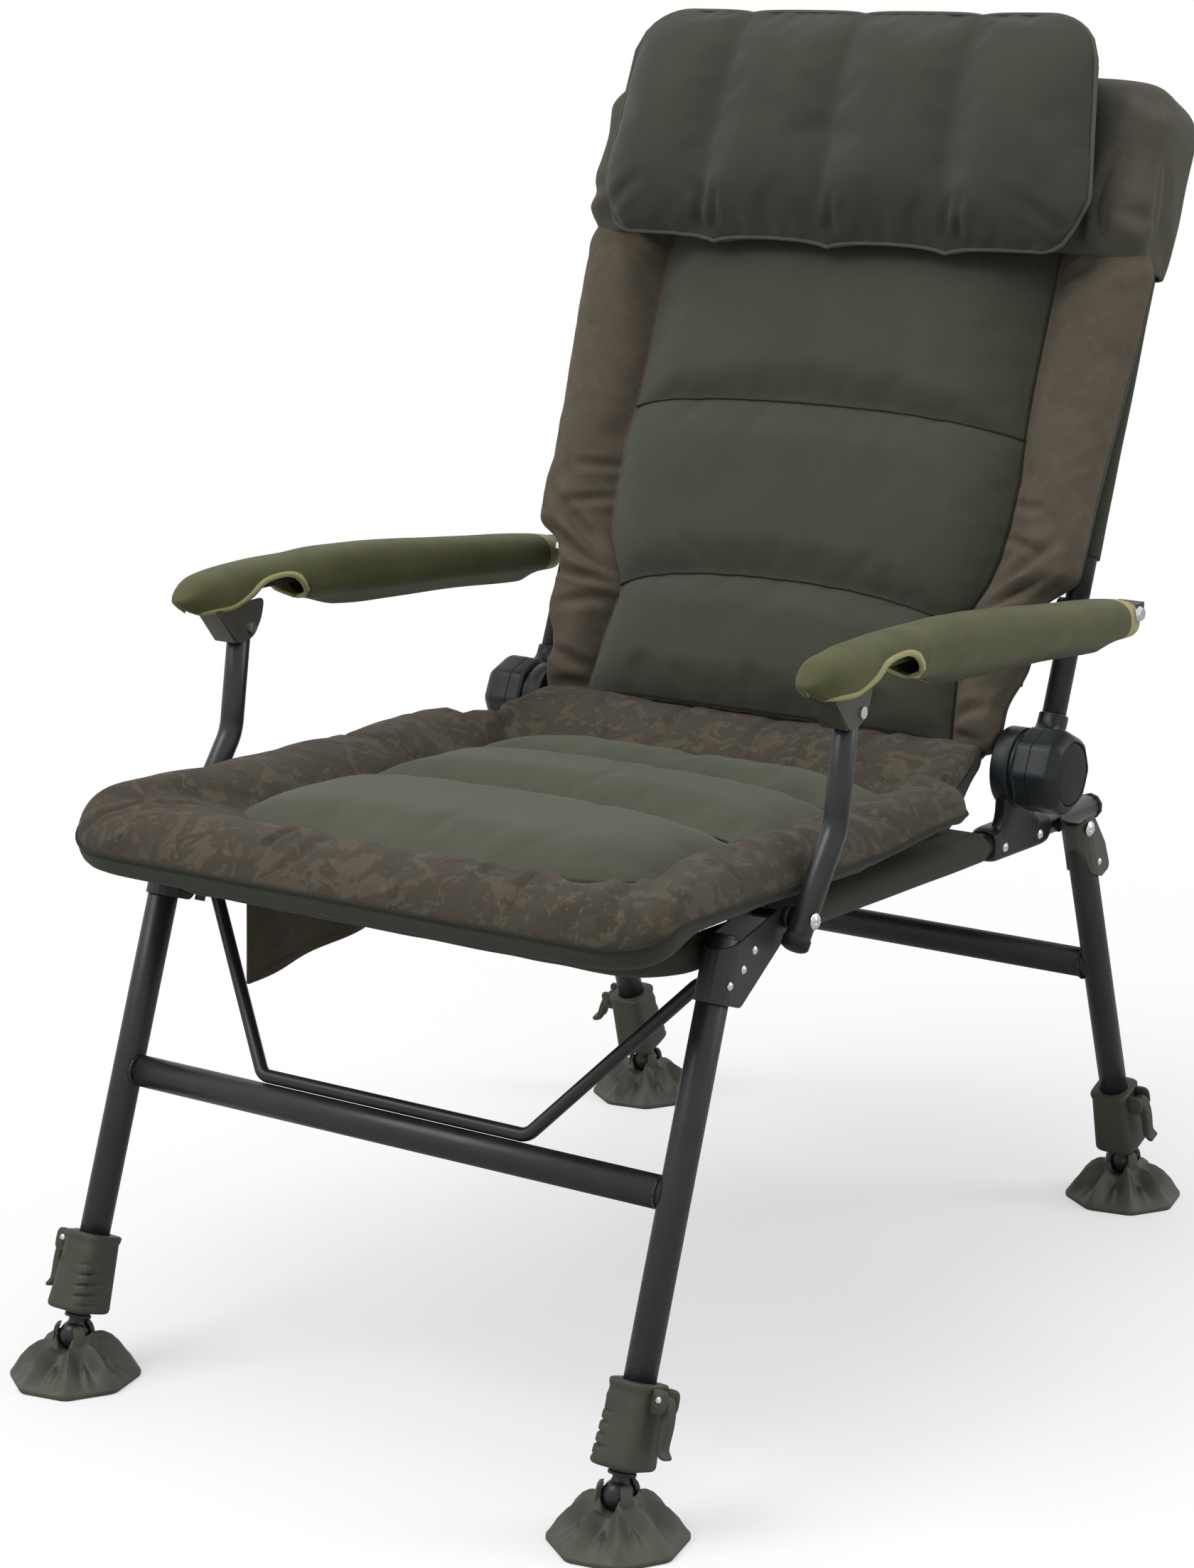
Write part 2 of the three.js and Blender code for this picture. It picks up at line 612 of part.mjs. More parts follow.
// Seat half of the hub: a clamp round the rail, a neck, the disc and the ring of teeth that locks the back
function reclinerBase() {
  const bore = rail.radius + gap;
  const shell = bore + base.clampWall;
  const toothStep = Math.PI / base.teeth;
  const toothed = Array.from({ length: base.teeth * 2 }, (_, i) => {
    const radius = base.radius - base.toothInset - (i % 2) * base.toothDepth;
    return new THREE.Vector2(hub.y + radius * Math.cos(i * toothStep), hub.z + radius * Math.sin(i * toothStep));
  });
  const ringFrom = baseFace - base.toothRing;
  const disc = prism(ring(base.radius, discSides, hub.y, hub.z), 'x', baseInner, ringFrom);
  const teeth = prism(toothed, 'x', ringFrom - overrun, baseFace);
  const neckOutline = rounded([
    [hub.y - base.neckFront, 0, 0],
    [hub.y + base.neckRear, 0, 0],
    [hub.y + base.neckFront, hub.z, 0],
    [hub.y - base.neckFront, hub.z, 0],
  ]);
  const neckTo = railSide + gap + base.clampOuter;
  const neck = prism(neckOutline, 'x', baseInner, neckTo);
  const clampHalf = [
    [-shell, rail.halfSpan - base.clampInner, base.clampWall],
    [shell, rail.halfSpan - base.clampInner, base.clampWall],
    [shell, neckTo, 0],
    [-shell, neckTo, 0],
  ];
  const clamp = prism(rounded(clampHalf), 'y', base.clampFront, base.clampRear);
  const railBore = prism(
    ring(bore, tubeSides, 0, rail.halfSpan), 'y', base.clampFront - overrun, base.clampRear + overrun,
  );
  const shaftHole = prism(
    ring(holeFor(knob.shaftRadius), smallSides, hub.y, hub.z), 'x', baseInner - overrun, baseFace + overrun,
  );
  return carved([disc, teeth, neck, clamp], [railBore, shaftHole]);
}

bothSides(seat, (half, side) => {
  piece(half, `rail_end_cap_${side}`, railCap(), looks.hub);
  piece(half, `rail_bracket_${side}`, railBracket(), looks.pressed);
  piece(half, `recliner_base_${side}`, reclinerBase(), looks.hub);
  piece(half, `post_bolt_${side}`, postBolt(), looks.bolt);
  piece(half, `rear_leg_bolt_${side}`, rearLegBolt(), looks.bolt);
});

// Locking knob with flat grips round its rim, on its threaded shaft, with an inset cap

function grippedRing(radius, x) {
  const count = knob.flats * knob.pointsPerFlat;
  const halfStep = Math.PI / knob.flats;
  return Array.from({ length: count }, (_, i) => {
    const angle = (2 * Math.PI * (i + 0.5)) / count;
    const fromFlat = (angle % (2 * halfStep)) - halfStep;
    const reach = radius * Math.min(1, knob.flatShare / Math.cos(fromFlat));
    return point(x, reach * Math.cos(angle), reach * Math.sin(angle));
  });
}

function knobBody() {
  const sections = [
    grippedRing(knob.radius - knob.rimSoft, knobFrom),
    grippedRing(knob.radius, knobFrom + knob.rimSoft),
    grippedRing(knob.radius, knobTo - knob.rimSoft),
    grippedRing(knob.radius - knob.rimSoft, knobTo),
  ];
  const shaft = prism(ring(knob.shaftRadius, smallSides), 'x', baseInner, knobFrom + overrun);
  const recess = prism(ring(knob.recessRadius, discSides), 'x', knobTo - knob.recessDepth, knobTo + overrun);
  return carved([loft(sections), shaft], [recess]);
}

function knobCap() {
  const from = knobTo - knob.recessDepth + gap;
  const radius = knob.recessRadius - gap * 2;
  return turned([
    [0, from],
    [radius, from],
    [radius, knobTo - knob.capCrown],
    [radius - knob.capCrown, knobTo],
    [0, knobTo + knob.capCrown / 2],
  ], 'x', discSides);
}

const knobs = groupAt(seat, 'knobs', hub.y, hub.z, 0);
bothSides(knobs, (half, side) => {
  piece(half, `recliner_knob_${side}`, knobBody(), looks.hub);
  piece(half, `knob_cap_${side}`, knobCap(), looks.hubCap);
});

// Back frame, its sling, cushion, hood and pillow

const backrest = groupAt(seat, 'back', hub.y, hub.z, back.lean);
const tubeStart = socket.sleeveFrom + gap * 2;
const backCorners = [
  point(backTubeX, back.tubeForward, tubeStart),
  point(backTubeX, back.tubeForward, back.top),
  point(-backTubeX, back.tubeForward, back.top),
  point(-backTubeX, back.tubeForward, tubeStart),
];

function backFrame() {
  const hoop = tube(backCorners, back.tubeRadius, back.cornerRadius);
  const lowBar = tube(
    [point(-backTubeX, back.tubeForward, back.lowBarHeight), point(backTubeX, back.tubeForward, back.lowBarHeight)],
    back.lowBarRadius,
  );
  const holes = [-1, 1].map((side) => {
    const middle = side * backTubeX;
    const reach = back.tubeRadius + overrun;
    return prism(ring(boltHole, smallSides, back.tubeForward, back.armBoltHeight), 'x', middle - reach,
      middle + reach);
  });
  return carved([hoop, lowBar], holes);
}

function backSlingCloth() {
  const inner = back.tubeRadius + gap;
  const outer = inner + backSling.thickness;
  const sleeves = [-backTubeX, backTubeX].map((x) => tube([
    point(x, back.tubeForward, backSling.sleeveStart),
    point(x, back.tubeForward, back.top - back.cornerRadius),
  ], outer));
  const front = back.tubeForward - outer;
  const backSlingHalf = backTubeX - backSling.waistInset;
  const cornerInset = back.cornerRadius * 0.3;
  const halfOutline = [
    [backSlingHalf, backSling.bottom],
    [backSlingHalf, backSling.sleeveStart],
    [backTubeX, backSling.sleeveStart],
    [backTubeX, back.top - back.cornerRadius],
    [backTubeX - cornerInset, back.top - cornerInset],
    [backTubeX - back.cornerRadius, back.top],
  ];
  const outline = [...halfOutline, ...halfOutline.map(([x, z]) => [-x, z]).reverse()];
  const web = prism(outline.map(([x, z]) => new THREE.Vector2(z, x)), 'y', front, front + backSling.thickness);
  return carved([...sleeves, web], [tube(backCorners, inner, back.cornerRadius)]);
}

function backHalfWidth(z) {
  const low = mix(backHalf.hip, backHalf.waist, smooth(backPad.hipTop, backPad.hipTop * 2, z));
  const flare = mix(low, backHalf.low, smooth(backPad.flareStart, backPad.flareEnd, z));
  const long = mix(flare, backHalf.top, smooth(backPad.flareEnd, backPad.hoodStart, z));
  const shoulder = mix(long, backHalf.shoulder, smooth(backPad.shoulder, backPad.top - backPad.edgeSoft, z));
  return z > backPad.top - backPad.edgeSoft ? shoulder - backPad.edgeSoft : shoulder;
}

// How far the front of the back cushion stands off the sling
function backFront(x, z) {
  const reach = Math.abs(x);
  const half = backHalfWidth(z);
  if (z > backPad.hoodStart) {
    const wingShare = smooth(backHalf.wing - backPad.edgeSoft, backHalf.wing + backPad.edgeSoft, reach);
    const wingRoll = puff(reach, backHalf.wing - 3 * backPad.edgeSoft, half + backPad.edgeSoft);
    return mix(backPad.hoodMid, backPad.hoodFront, wingShare * wingRoll);
  }
  const along = betweenSeams(z, [backPad.bottom, ...backPad.seams, backPad.panelTop + backPad.edgeSoft]);
  if (reach < backHalf.panel) {
    return mix(backPad.seam, backPad.panel, along * (1 - (reach / backHalf.panel) ** 8));
  }
  return mix(backPad.seam, backPad.border, puff(reach, backHalf.panel, half + (half - backHalf.panel) * 0.3));
}

function backCushion() {
  const panelShares = [0, 0.35, 0.65, 0.87, 1];
  const borderShares = [0.2, 0.5, 0.8];
  const [low, high] = backPad.seams;
  const inChannel = [0.07, 0.28, 0.5, 0.72, 0.93];
  const rows = [backPad.bottom, backPad.bottom + backPad.edgeSoft * 0.5, backPad.hipTop];
  rows.push(...[0.55, 0.8, 0.95].map((share) => mix(backPad.bottom, low, share)), low);
  rows.push(backPad.flareStart, backPad.flareEnd, ...inChannel.slice(2).map((share) => mix(low, high, share)), high);
  rows.push(...inChannel.map((share) => mix(high, backPad.panelTop, share)), backPad.panelTop);
  rows.push(backPad.hoodStart + gap, mix(backPad.hoodStart, backPad.shoulder, 0.5), backPad.shoulder);
  rows.push(mix(backPad.shoulder, backPad.top, 0.6), backPad.top - backPad.edgeSoft, backPad.top);
  const sections = rows.map((z) => {
    const half = backHalfWidth(z);
    const rear = z > backPad.hoodStart ? backPad.hoodRear : 0;
    const squash = z === backPad.bottom || z === backPad.top ? 0.45 : 1;
    const middle = z > backPad.hoodStart ? (backPad.hoodRear - backPad.hoodMid) / 2 : -backPad.edge;
    const xs = [
      ...panelShares.map((share) => share * backHalf.panel),
      ...borderShares.map((share) => mix(backHalf.panel, half, share)),
    ];
    const row = [...xs.slice(1).reverse().map((x) => -x), ...xs];
    const front = row.map((x) => point(x, mix(middle, -backFront(x, z), squash), z));
    const behind = [1, 0.5].map((share) => share * (half - backPad.edgeSoft));
    const rearRow = [...behind, 0, ...behind.toReversed().map((x) => -x)];
    const rearY = mix(middle, rear, squash);
    return [
      ...front,
      point(half, mix(-backFront(half, z), rear, 0.5), z),
      ...rearRow.map((x) => point(x, rearY, z)),
      point(-half, mix(-backFront(half, z), rear, 0.5), z),
    ];
  });
  const slotHalf = backTubeX + back.tubeRadius + backSling.thickness + gap * 3;
  const slotRear = back.tubeForward + back.tubeRadius + backSling.thickness + gap * 2;
  const slotTop = back.top + back.tubeRadius + gap * 2;
  const bottom = backPad.hoodStart - backPad.edgeSoft;
  const slot = prism(rounded([
    [bottom, -slotHalf, 0],
    [slotTop, -slotHalf, back.cornerRadius],
    [slotTop, slotHalf, back.cornerRadius],
    [bottom, slotHalf, 0],
  ], 4), 'y', 0, slotRear);
  return carved([loft(sections)], [slot]);
}

function pillowPad() {
  const inChannel = [0.06, 0.25, 0.5, 0.75, 0.94];
  const width = 2 / pillow.channels;
  const acrossShares = Array.from({ length: pillow.channels }, (_, i) => i).flatMap((i) => {
    const from = -1 + i * width;
    return [...(i ? [from] : []), ...inChannel.map((share) => from + share * width)];
  });
  const upShares = [0, 0.03, 0.12, 0.3, 0.5, 0.7, 0.88, 0.97, 1];
  const hoodFace = -(backPad.hoodMid + gap);
  const wingFace = -(backPad.hoodFront + gap);
  const sections = upShares.map((share) => {
    const z = mix(pillow.bottom, pillow.top, share);
    const widest = 1 - Math.abs(share - 0.2) / 0.8;
    const inset = mix(share < 0.2 ? pillow.bottomInset : pillow.topInset, pillow.inset, widest);
    const intoCorner = THREE.MathUtils.clamp(1 + (z - pillow.top) / pillow.cornerTall, 0, 1);
    const half = backTubeX - inset - pillow.cornerWidth * (1 - Math.sqrt(1 - intoCorner ** 2));
    const bulge = Math.max(0, 1 - Math.abs(2 * share - 1) ** pillow.softness);
    const middle = wingFace - pillow.thickness * 0.25;
    const front = (across) => {
      const local = ((across + 1) / width) % 1;
      const channel = mix(pillow.seamShare, 1, 1 - Math.abs(2 * local - 1) ** 4);
      const ends = 1 - Math.abs(across) ** 12;
      return mix(middle, hoodFace - pillow.thickness * channel, Math.min(bulge * ends + 0.12, 1));
    };
    const faces = acrossShares.map((across) => point(across * half, front(across), z));
    const rears = [0.94, 0.5, 0, -0.5, -0.94].map((across) => {
      const face = Math.abs(across) > 0.9 ? wingFace : hoodFace;
      return point(across * half, mix(middle, face, Math.min(1, bulge + 0.12)), z);
    });
    return [...faces, point(half, middle, z), ...rears, point(-half, middle, z)];
  });
  return loft(sections);
}

piece(backrest, 'back_frame', backFrame(), looks.frame);
piece(backrest, 'back_sling', backSlingCloth(), looks.slingCloth);
piece(backrest, 'back_cushion', backCushion(), looks.borderCloth);
piece(backrest, 'headrest_pillow', pillowPad(), looks.panelCloth);

// Back half of the hub: a disc, and a neck that carries the tube socket past the knob
function backSocket() {
  const sleeveRadius = holeFor(back.tubeRadius, tubeSides) + socket.wall;
  const disc = prism(ring(socket.radius, discSides), 'x', socketFrom, socketTo);
  const neck = prism(rounded([
    [back.tubeForward - socket.neckHalf, 0, 0],
    [back.tubeForward + socket.neckHalf, 0, 0],
    [back.tubeForward + sleeveRadius, socket.sleeveFrom + gap, 0],
    [back.tubeForward - sleeveRadius, socket.sleeveFrom + gap, 0],
  ]), 'x', socketFrom, socketTo);
  const sleeve = prism(ring(sleeveRadius, tubeSides, backTubeX, back.tubeForward), 'z', socket.sleeveFrom,
    socket.sleeveTo);
  const bore = prism(ring(holeFor(back.tubeRadius, tubeSides), tubeSides, backTubeX, back.tubeForward), 'z',
    socket.sleeveFrom + gap, socket.sleeveTo + overrun);
  const shaftHole = prism(ring(holeFor(knob.shaftRadius), smallSides), 'x', socketFrom - overrun, socketTo + overrun);
  return carved([disc, neck, sleeve], [bore, shaftHole]);
}

// Bolt that hangs the armrest on the back tube, with its collar between the tube and the bar
function armBolt() {
  const nutTo = backTubeX - back.tubeRadius - gap;
  const collarFrom = backTubeX + back.tubeRadius + gap;
  const collarTo = armX - arm.padHalfWidth - gap;
  const headFrom = armX + arm.padHalfWidth + gap;
  return turned([
    [0, nutTo - washer.nut],
    [washer.radius, nutTo - washer.nut],
    [washer.radius, nutTo],
    [boltRadius, nutTo],
    [boltRadius, collarFrom],
    [arm.boltCollar, collarFrom],
    [arm.boltCollar, collarTo],
    [boltRadius, collarTo],
    [boltRadius, headFrom],
    [arm.headRadius, headFrom],
    [arm.headRadius * 0.75, headFrom + arm.headLength],
    [0, headFrom + arm.headLength],
  ], 'x', smallSides, back.tubeForward, back.armBoltHeight);
}

bothSides(backrest, (half, side) => {
  piece(half, `back_socket_${side}`, backSocket(), looks.hub);
  piece(half, `arm_bolt_${side}`, armBolt(), looks.bolt);
});

// Armrests, from the bolt on the back tube to the rivet on the post

const armPivot = new THREE.Vector2(back.tubeForward, back.armBoltHeight)
  .rotateAround(new THREE.Vector2(), back.lean)
  .add(new THREE.Vector2(hub.y, hub.z));
const rivet = new THREE.Vector2(frontPivot.y, frontPivot.z)
  .add(new THREE.Vector2(Math.sin(post.angle), Math.cos(post.angle)).multiplyScalar(post.length));
const armLength = armPivot.distanceTo(rivet);
const armTurn = Math.atan2(armPivot.y - rivet.y, armPivot.x - rivet.x);
const arms = groupAt(seat, 'arms', armPivot.x, armPivot.y, armTurn);

// Heights of the pad's top and bottom and of the bar, at shares of the armrest's length from its front end
const padTopShares = [[0, 0.43], [0.05, 0.6], [0.2, 0.625], [0.42, 0.55], [0.66, 0.35], [0.84, 0.2], [0.95, 0.06], [1, -0.1]];
const padLowShares = [[0, 0.36], [0.04, 0.28], [0.13, 0.19], [0.28, 0.115], [0.42, 0.0], [0.66, -0.125], [0.84, -0.25], [0.95, -0.27], [1, -0.16]];
const barShares = [[0, 0.4], [0.12, 0.41], [0.28, 0.37], [0.45, 0.24], [0.62, 0.115], [0.8, 0.0], [1, 0.0]];
const padRise = 86;

function curveThrough(pairs) {
  const curve = new THREE.SplineCurve(pairs.map(([u, v]) => new THREE.Vector2(u, v)));
  const fine = curve.getPoints(120);
  return (share) => {
    const next = fine.findIndex((spot) => spot.x >= share);
    if (next < 1) return fine.at(next).y;
    const [a, b] = [fine[next - 1], fine[next]];
    return mix(a.y, b.y, (share - a.x) / (b.x - a.x));
  };
}

const padTop = curveThrough(padTopShares);
const padLow = curveThrough(padLowShares);
const barLine = curveThrough(barShares);
const armFront = -(armLength + arm.frontReach);
const armAt = (share) => mix(armFront, arm.rearReach, share);
const armShare = (y) => (y - armFront) / (arm.rearReach - armFront);

function barSections(halfWidth, tall, from, to, steps) {
  return Array.from({ length: steps + 1 }, (_, i) => {
    const share = mix(from, to, i / steps);
    const y = armAt(share);
    const z = padRise * barLine(THREE.MathUtils.clamp(share, 0, 1));
    return [
      point(armX - halfWidth, y, z - tall / 2),
      point(armX - halfWidth, y, z + tall / 2),
      point(armX + halfWidth, y, z + tall / 2),
      point(armX + halfWidth, y, z - tall / 2),
    ];
  });
}

const barStartShare = 0.035;
const barEndShare = 0.965;
const barSteps = 9;

function armBar() {
  const bar = loft(barSections(arm.barHalfWidth, arm.barTall, barStartShare, barEndShare, barSteps));
  const hole = prism(ring(boltHole, smallSides), 'x', armX - arm.barHalfWidth - overrun,
    armX + arm.barHalfWidth + overrun);
  const eye = prism(ring(arm.boltCollar, eyeSides), 'x', armX - arm.barHalfWidth, armX + arm.barHalfWidth);
  return carved([bar, eye], [hole]);
}

function armPad() {
  const stations = [0, 0.012, 0.05, 0.13, 0.26, 0.4, 0.55, 0.7, 0.83, 0.93, 0.988, 1];
  const sections = stations.map((share) => {
    const top = padRise * padTop(share);
    const low = padRise * padLow(share);
    const middle = (top + low) / 2;
    const tall = (top - low) / 2;
    const taper = Math.sqrt(Math.max(0, 1 - Math.abs(2 * share - 1) ** 14));
    const half = arm.padHalfWidth * mix(0.62, 1, taper);
    return Array.from({ length: 12 }, (_, i) => {
      const angle = (2 * Math.PI * (i + 0.5)) / 12;
      const [c, s] = [Math.cos(angle), Math.sin(angle)];
      const x = armX - Math.sign(c) * half * Math.abs(c) ** 0.8;
      return point(x, armAt(share), middle + Math.sign(s) * tall * Math.abs(s) ** 0.8);
    });
  });
  const spare = arm.padGap;
  const core = loft(barSections(arm.barHalfWidth + spare, arm.barTall + 2 * spare, barStartShare - 0.002,
    barEndShare + 0.002, barSteps));
  const eye = prism(ring(arm.boltCollar + spare, eyeSides), 'x', armX - arm.barHalfWidth - spare,
    armX + arm.barHalfWidth + spare);
  const hole = prism(ring(boltHole, smallSides), 'x', armX - arm.padHalfWidth - overrun,
    armX + arm.padHalfWidth + overrun);
  const cheekHalf = clipWallX + gap * 2;
  const depth = padRise;
  const window = prism(rounded([
    [clipFront - overrun, clipTop - depth, 0],
    [clipRear + overrun, clipTop - depth, 0],
    [clipRear + overrun, clipTop + gap, 0],
    [clipFront - overrun, clipTop + gap, 0],
  ]), 'x', postX - cheekHalf, postX + cheekHalf);
  return carved([loft(sections)], [core, eye, hole, window]);
}

// Clip: a pressed channel under the bar whose cheeks take the post's top
const cheekFrom = post.radius + gap;
const clipWallX = cheekFrom + clip.cheek;
const clipFront = -armLength - clip.frontReach;
const clipRear = -armLength + clip.rearReach;
const barOverClip = Math.min(...[clipFront, -armLength, clipRear].map((y) => padRise * barLine(armShare(y))));
const clipTop = barOverClip - arm.barTall / 2 - gap;

function armClip() {
  const outline = rounded([
    [clipFront, clipTop, 0],
    [clipFront, clipTop - clip.barDrop * 0.55, clip.edgeRound],
    [-armLength - clip.noseRadius * 3, -clip.noseRadius, clip.noseRadius],
    [-armLength, -clip.noseRadius * 1.7, clip.noseRadius],
    [-armLength + clip.noseRadius * 2.2, 0, clip.noseRadius],
    [clipRear, clipTop - clip.tailDrop, clip.noseRadius / 2],
    [clipRear, clipTop, 0],
  ]);
  const body = prism(outline, 'x', postX - clipWallX, postX + clipWallX);
  const room = prism(rounded([
    [clipFront - overrun, -padRise, 0],
    [clipRear + overrun, -padRise, 0],
    [clipRear + overrun, clipTop - clip.wall, 0],
    [clipFront - overrun, clipTop - clip.wall, 0],
  ]), 'x', postX - cheekFrom, postX + cheekFrom);
  const hole = prism(ring(holeFor(post.rivetRadius), smallSides, -armLength, 0), 'x', postX - clipWallX - overrun,
    postX + clipWallX + overrun);
  return carved([body], [room, hole]);
}

function armRivet() {
  const [from, to] = [postX - clipWallX - gap, postX + clipWallX + gap];
  const head = post.rivetRadius * 1.7;
  const tall = post.rivetRadius * 0.6;
  return turned([
    [0, from - tall],
    [head, from - tall],
    [head, from],
    [post.rivetRadius, from],
    [post.rivetRadius, to],
    [head, to],
    [head, to + tall],
    [0, to + tall],
  ], 'x', smallSides, -armLength, 0);
}

bothSides(arms, (half, side) => {
  piece(half, `armrest_bar_${side}`, armBar(), looks.pressed);
  piece(half, `armrest_pad_${side}`, armPad(), looks.sleeveCloth);
  piece(half, `armrest_clip_${side}`, armClip(), looks.pressedOlive);
  piece(half, `armrest_rivet_${side}`, armRivet(), looks.bolt);
});

// Posts: bent tube from the front pivot to the clip, drawn with its own straight line upright

const posts = groupAt(seat, 'posts', frontPivot.y, frontPivot.z, -post.angle);

function postTube() {
  const lowerWay = post.kneeBack / post.kneeHeight;
  const onLower = (z) => point(postX, z * lowerWay, z);
  const corners = [
    onLower(-post.tail),
    onLower(post.kneeHeight),
    point(postX, post.topBack, post.length + post.topReach),
  ];
  const rod = tube(corners, post.radius, post.bend);
  const cap = tube([onLower(-post.tail - post.capLength), onLower(-post.tail + overrun)], post.capRadius);
  const from = postX - post.capRadius - overrun;
  const to = postX + post.capRadius + overrun;
  const pivotHole = prism(ring(boltHole, smallSides), 'x', from, to);
  const slot = prism(ring(post.slotRadius, eyeSides, post.slotBack, post.length + post.slotDown), 'x', from, to);
  return carved([rod, cap], [pivotHole, slot]);
}

bothSides(posts, (half, side) => {
  piece(half, `armrest_post_${side}`, postTube(), looks.post);
});

// Leg frames

// Depth below the pivot, along the leg, at which the ball stands at its height above the floor
function ballDepth(pivot, details) {
  const lean = rail.drop + details.lean;
  const pivotHeight = rail.axisHeight + pivot.y * Math.sin(rail.drop) + pivot.z * Math.cos(rail.drop);
  return (pivotHeight + details.tubeOffset * Math.sin(lean) - ball.height) / Math.cos(lean);
}

function legFrame(details, depth) {
  const tubeEnd = -(depth - collar.ballClearance - collar.length) - collar.grip;
  const tubes = [-legX, legX].map((x) =>
    prism(ring(leg.radius, tubeSides, x, details.tubeOffset), 'z', tubeEnd, details.tubeTop));
  const plugs = [-legX, legX].map((x) =>
    prism(ring(leg.radius * 0.8, tubeSides, x, details.tubeOffset), 'z', details.tubeTop - overrun,
      details.tubeTop + details.plugLength));
  const [wide, tall] = [leg.barWidth / 2, details.barTall / 2];
  const bar = prism(rounded([
    [-details.barDepth - tall, details.tubeOffset - wide, wide * 0.95],
    [-details.barDepth + tall, details.tubeOffset - wide, wide * 0.95],
    [-details.barDepth + tall, details.tubeOffset + wide, wide * 0.95],
    [-details.barDepth - tall, details.tubeOffset + wide, wide * 0.95],
  ].map(([z, y, r]) => [y, z, r])), 'x', -legX, legX);
  const bores = [-legX, legX].map((x) =>
    prism(ring(leg.boreRadius, tubeSides, x, details.tubeOffset), 'z', tubeEnd - overrun, tubeEnd + leg.boreDepth));
  return carved([...tubes, ...plugs, bar], bores);
}

// Pressed channel wrapped round the front or rear of a leg's top, its two wings reaching to the pivot
function legBracket(outline, tubeOffset) {
  const inside = leg.radius + gap;
  const outside = inside + wing.thickness;
  const height = [-leg.boreDepth / 2, leg.boreDepth / 2];
  const reach = leg.boreDepth / 2;
  const channel = (radius) => {
    const arc = Array.from({ length: 9 }, (_, i) => {
      const angle = (Math.PI * i) / 8;
      return new THREE.Vector2(legX - radius * Math.cos(angle), tubeOffset - radius * Math.sin(angle));
    });
    return [...arc, new THREE.Vector2(legX + radius, tubeOffset + reach),
      new THREE.Vector2(legX - radius, tubeOffset + reach)];
  };
  const outer = prism(channel(outside), 'z', ...height);
  const inner = prism(channel(inside), 'z', height[0] - overrun, height[1] + overrun);
  const sheet = prism(outline, 'x', innerWingFrom - overrun, outerWingTo + overrun);
  const hole = prism(ring(boltHole, smallSides), 'x', innerWingFrom - overrun, outerWingTo + overrun);
  return carved([shared(outer, sheet)], [inner, hole]);
}

const frontBracketOutline = rounded([
  [wing.pivotRadius, wing.pivotRadius * 0.2, wing.pivotRadius * 0.6],
  [wing.pivotRadius * 0.2, wing.pivotRadius, wing.pivotRadius * 0.6],
  [-wing.pivotRadius, wing.pivotRadius * 0.45, wing.pivotRadius],
  [frontLeg.tubeOffset - leg.radius * 0.4, frontLeg.tubeTop - leg.radius * 0.3, leg.radius * 0.8],
  [frontLeg.tubeOffset - leg.radius * 1.5, frontLeg.tubeTop - leg.radius, leg.radius * 0.5],
  [frontLeg.tubeOffset - leg.radius * 1.5, frontLeg.tubeTop - leg.radius * 3.9, 0],
  [frontLeg.tubeOffset + leg.radius * 1.4, frontLeg.tubeTop - leg.radius * 3.9, leg.radius * 0.6],
  [wing.pivotRadius * 0.7, -wing.pivotRadius * 1.3, wing.pivotRadius * 0.8],
]);
const rearBracketOutline = rounded([
  [-wing.pivotRadius, wing.pivotRadius, wing.pivotRadius * 0.9],
  [-wing.pivotRadius, -wing.pivotRadius * 1.2, wing.pivotRadius * 0.8],
  [rearLeg.tubeOffset - leg.radius * 0.6, rearLeg.tubeTop - leg.radius * 2.6, leg.radius * 0.5],
  [rearLeg.tubeOffset + leg.radius * 0.4, rearLeg.tubeTop - leg.radius * 3.4, leg.radius * 0.5],
  [rearLeg.tubeOffset + leg.radius * 1.8, rearLeg.tubeTop - leg.radius * 3.4, leg.radius * 0.4],
  [rearLeg.tubeOffset + leg.radius * 1.6, rearLeg.tubeTop - leg.radius * 1.2, leg.radius],
  [wing.pivotRadius, wing.pivotRadius, wing.pivotRadius * 0.9],
]);

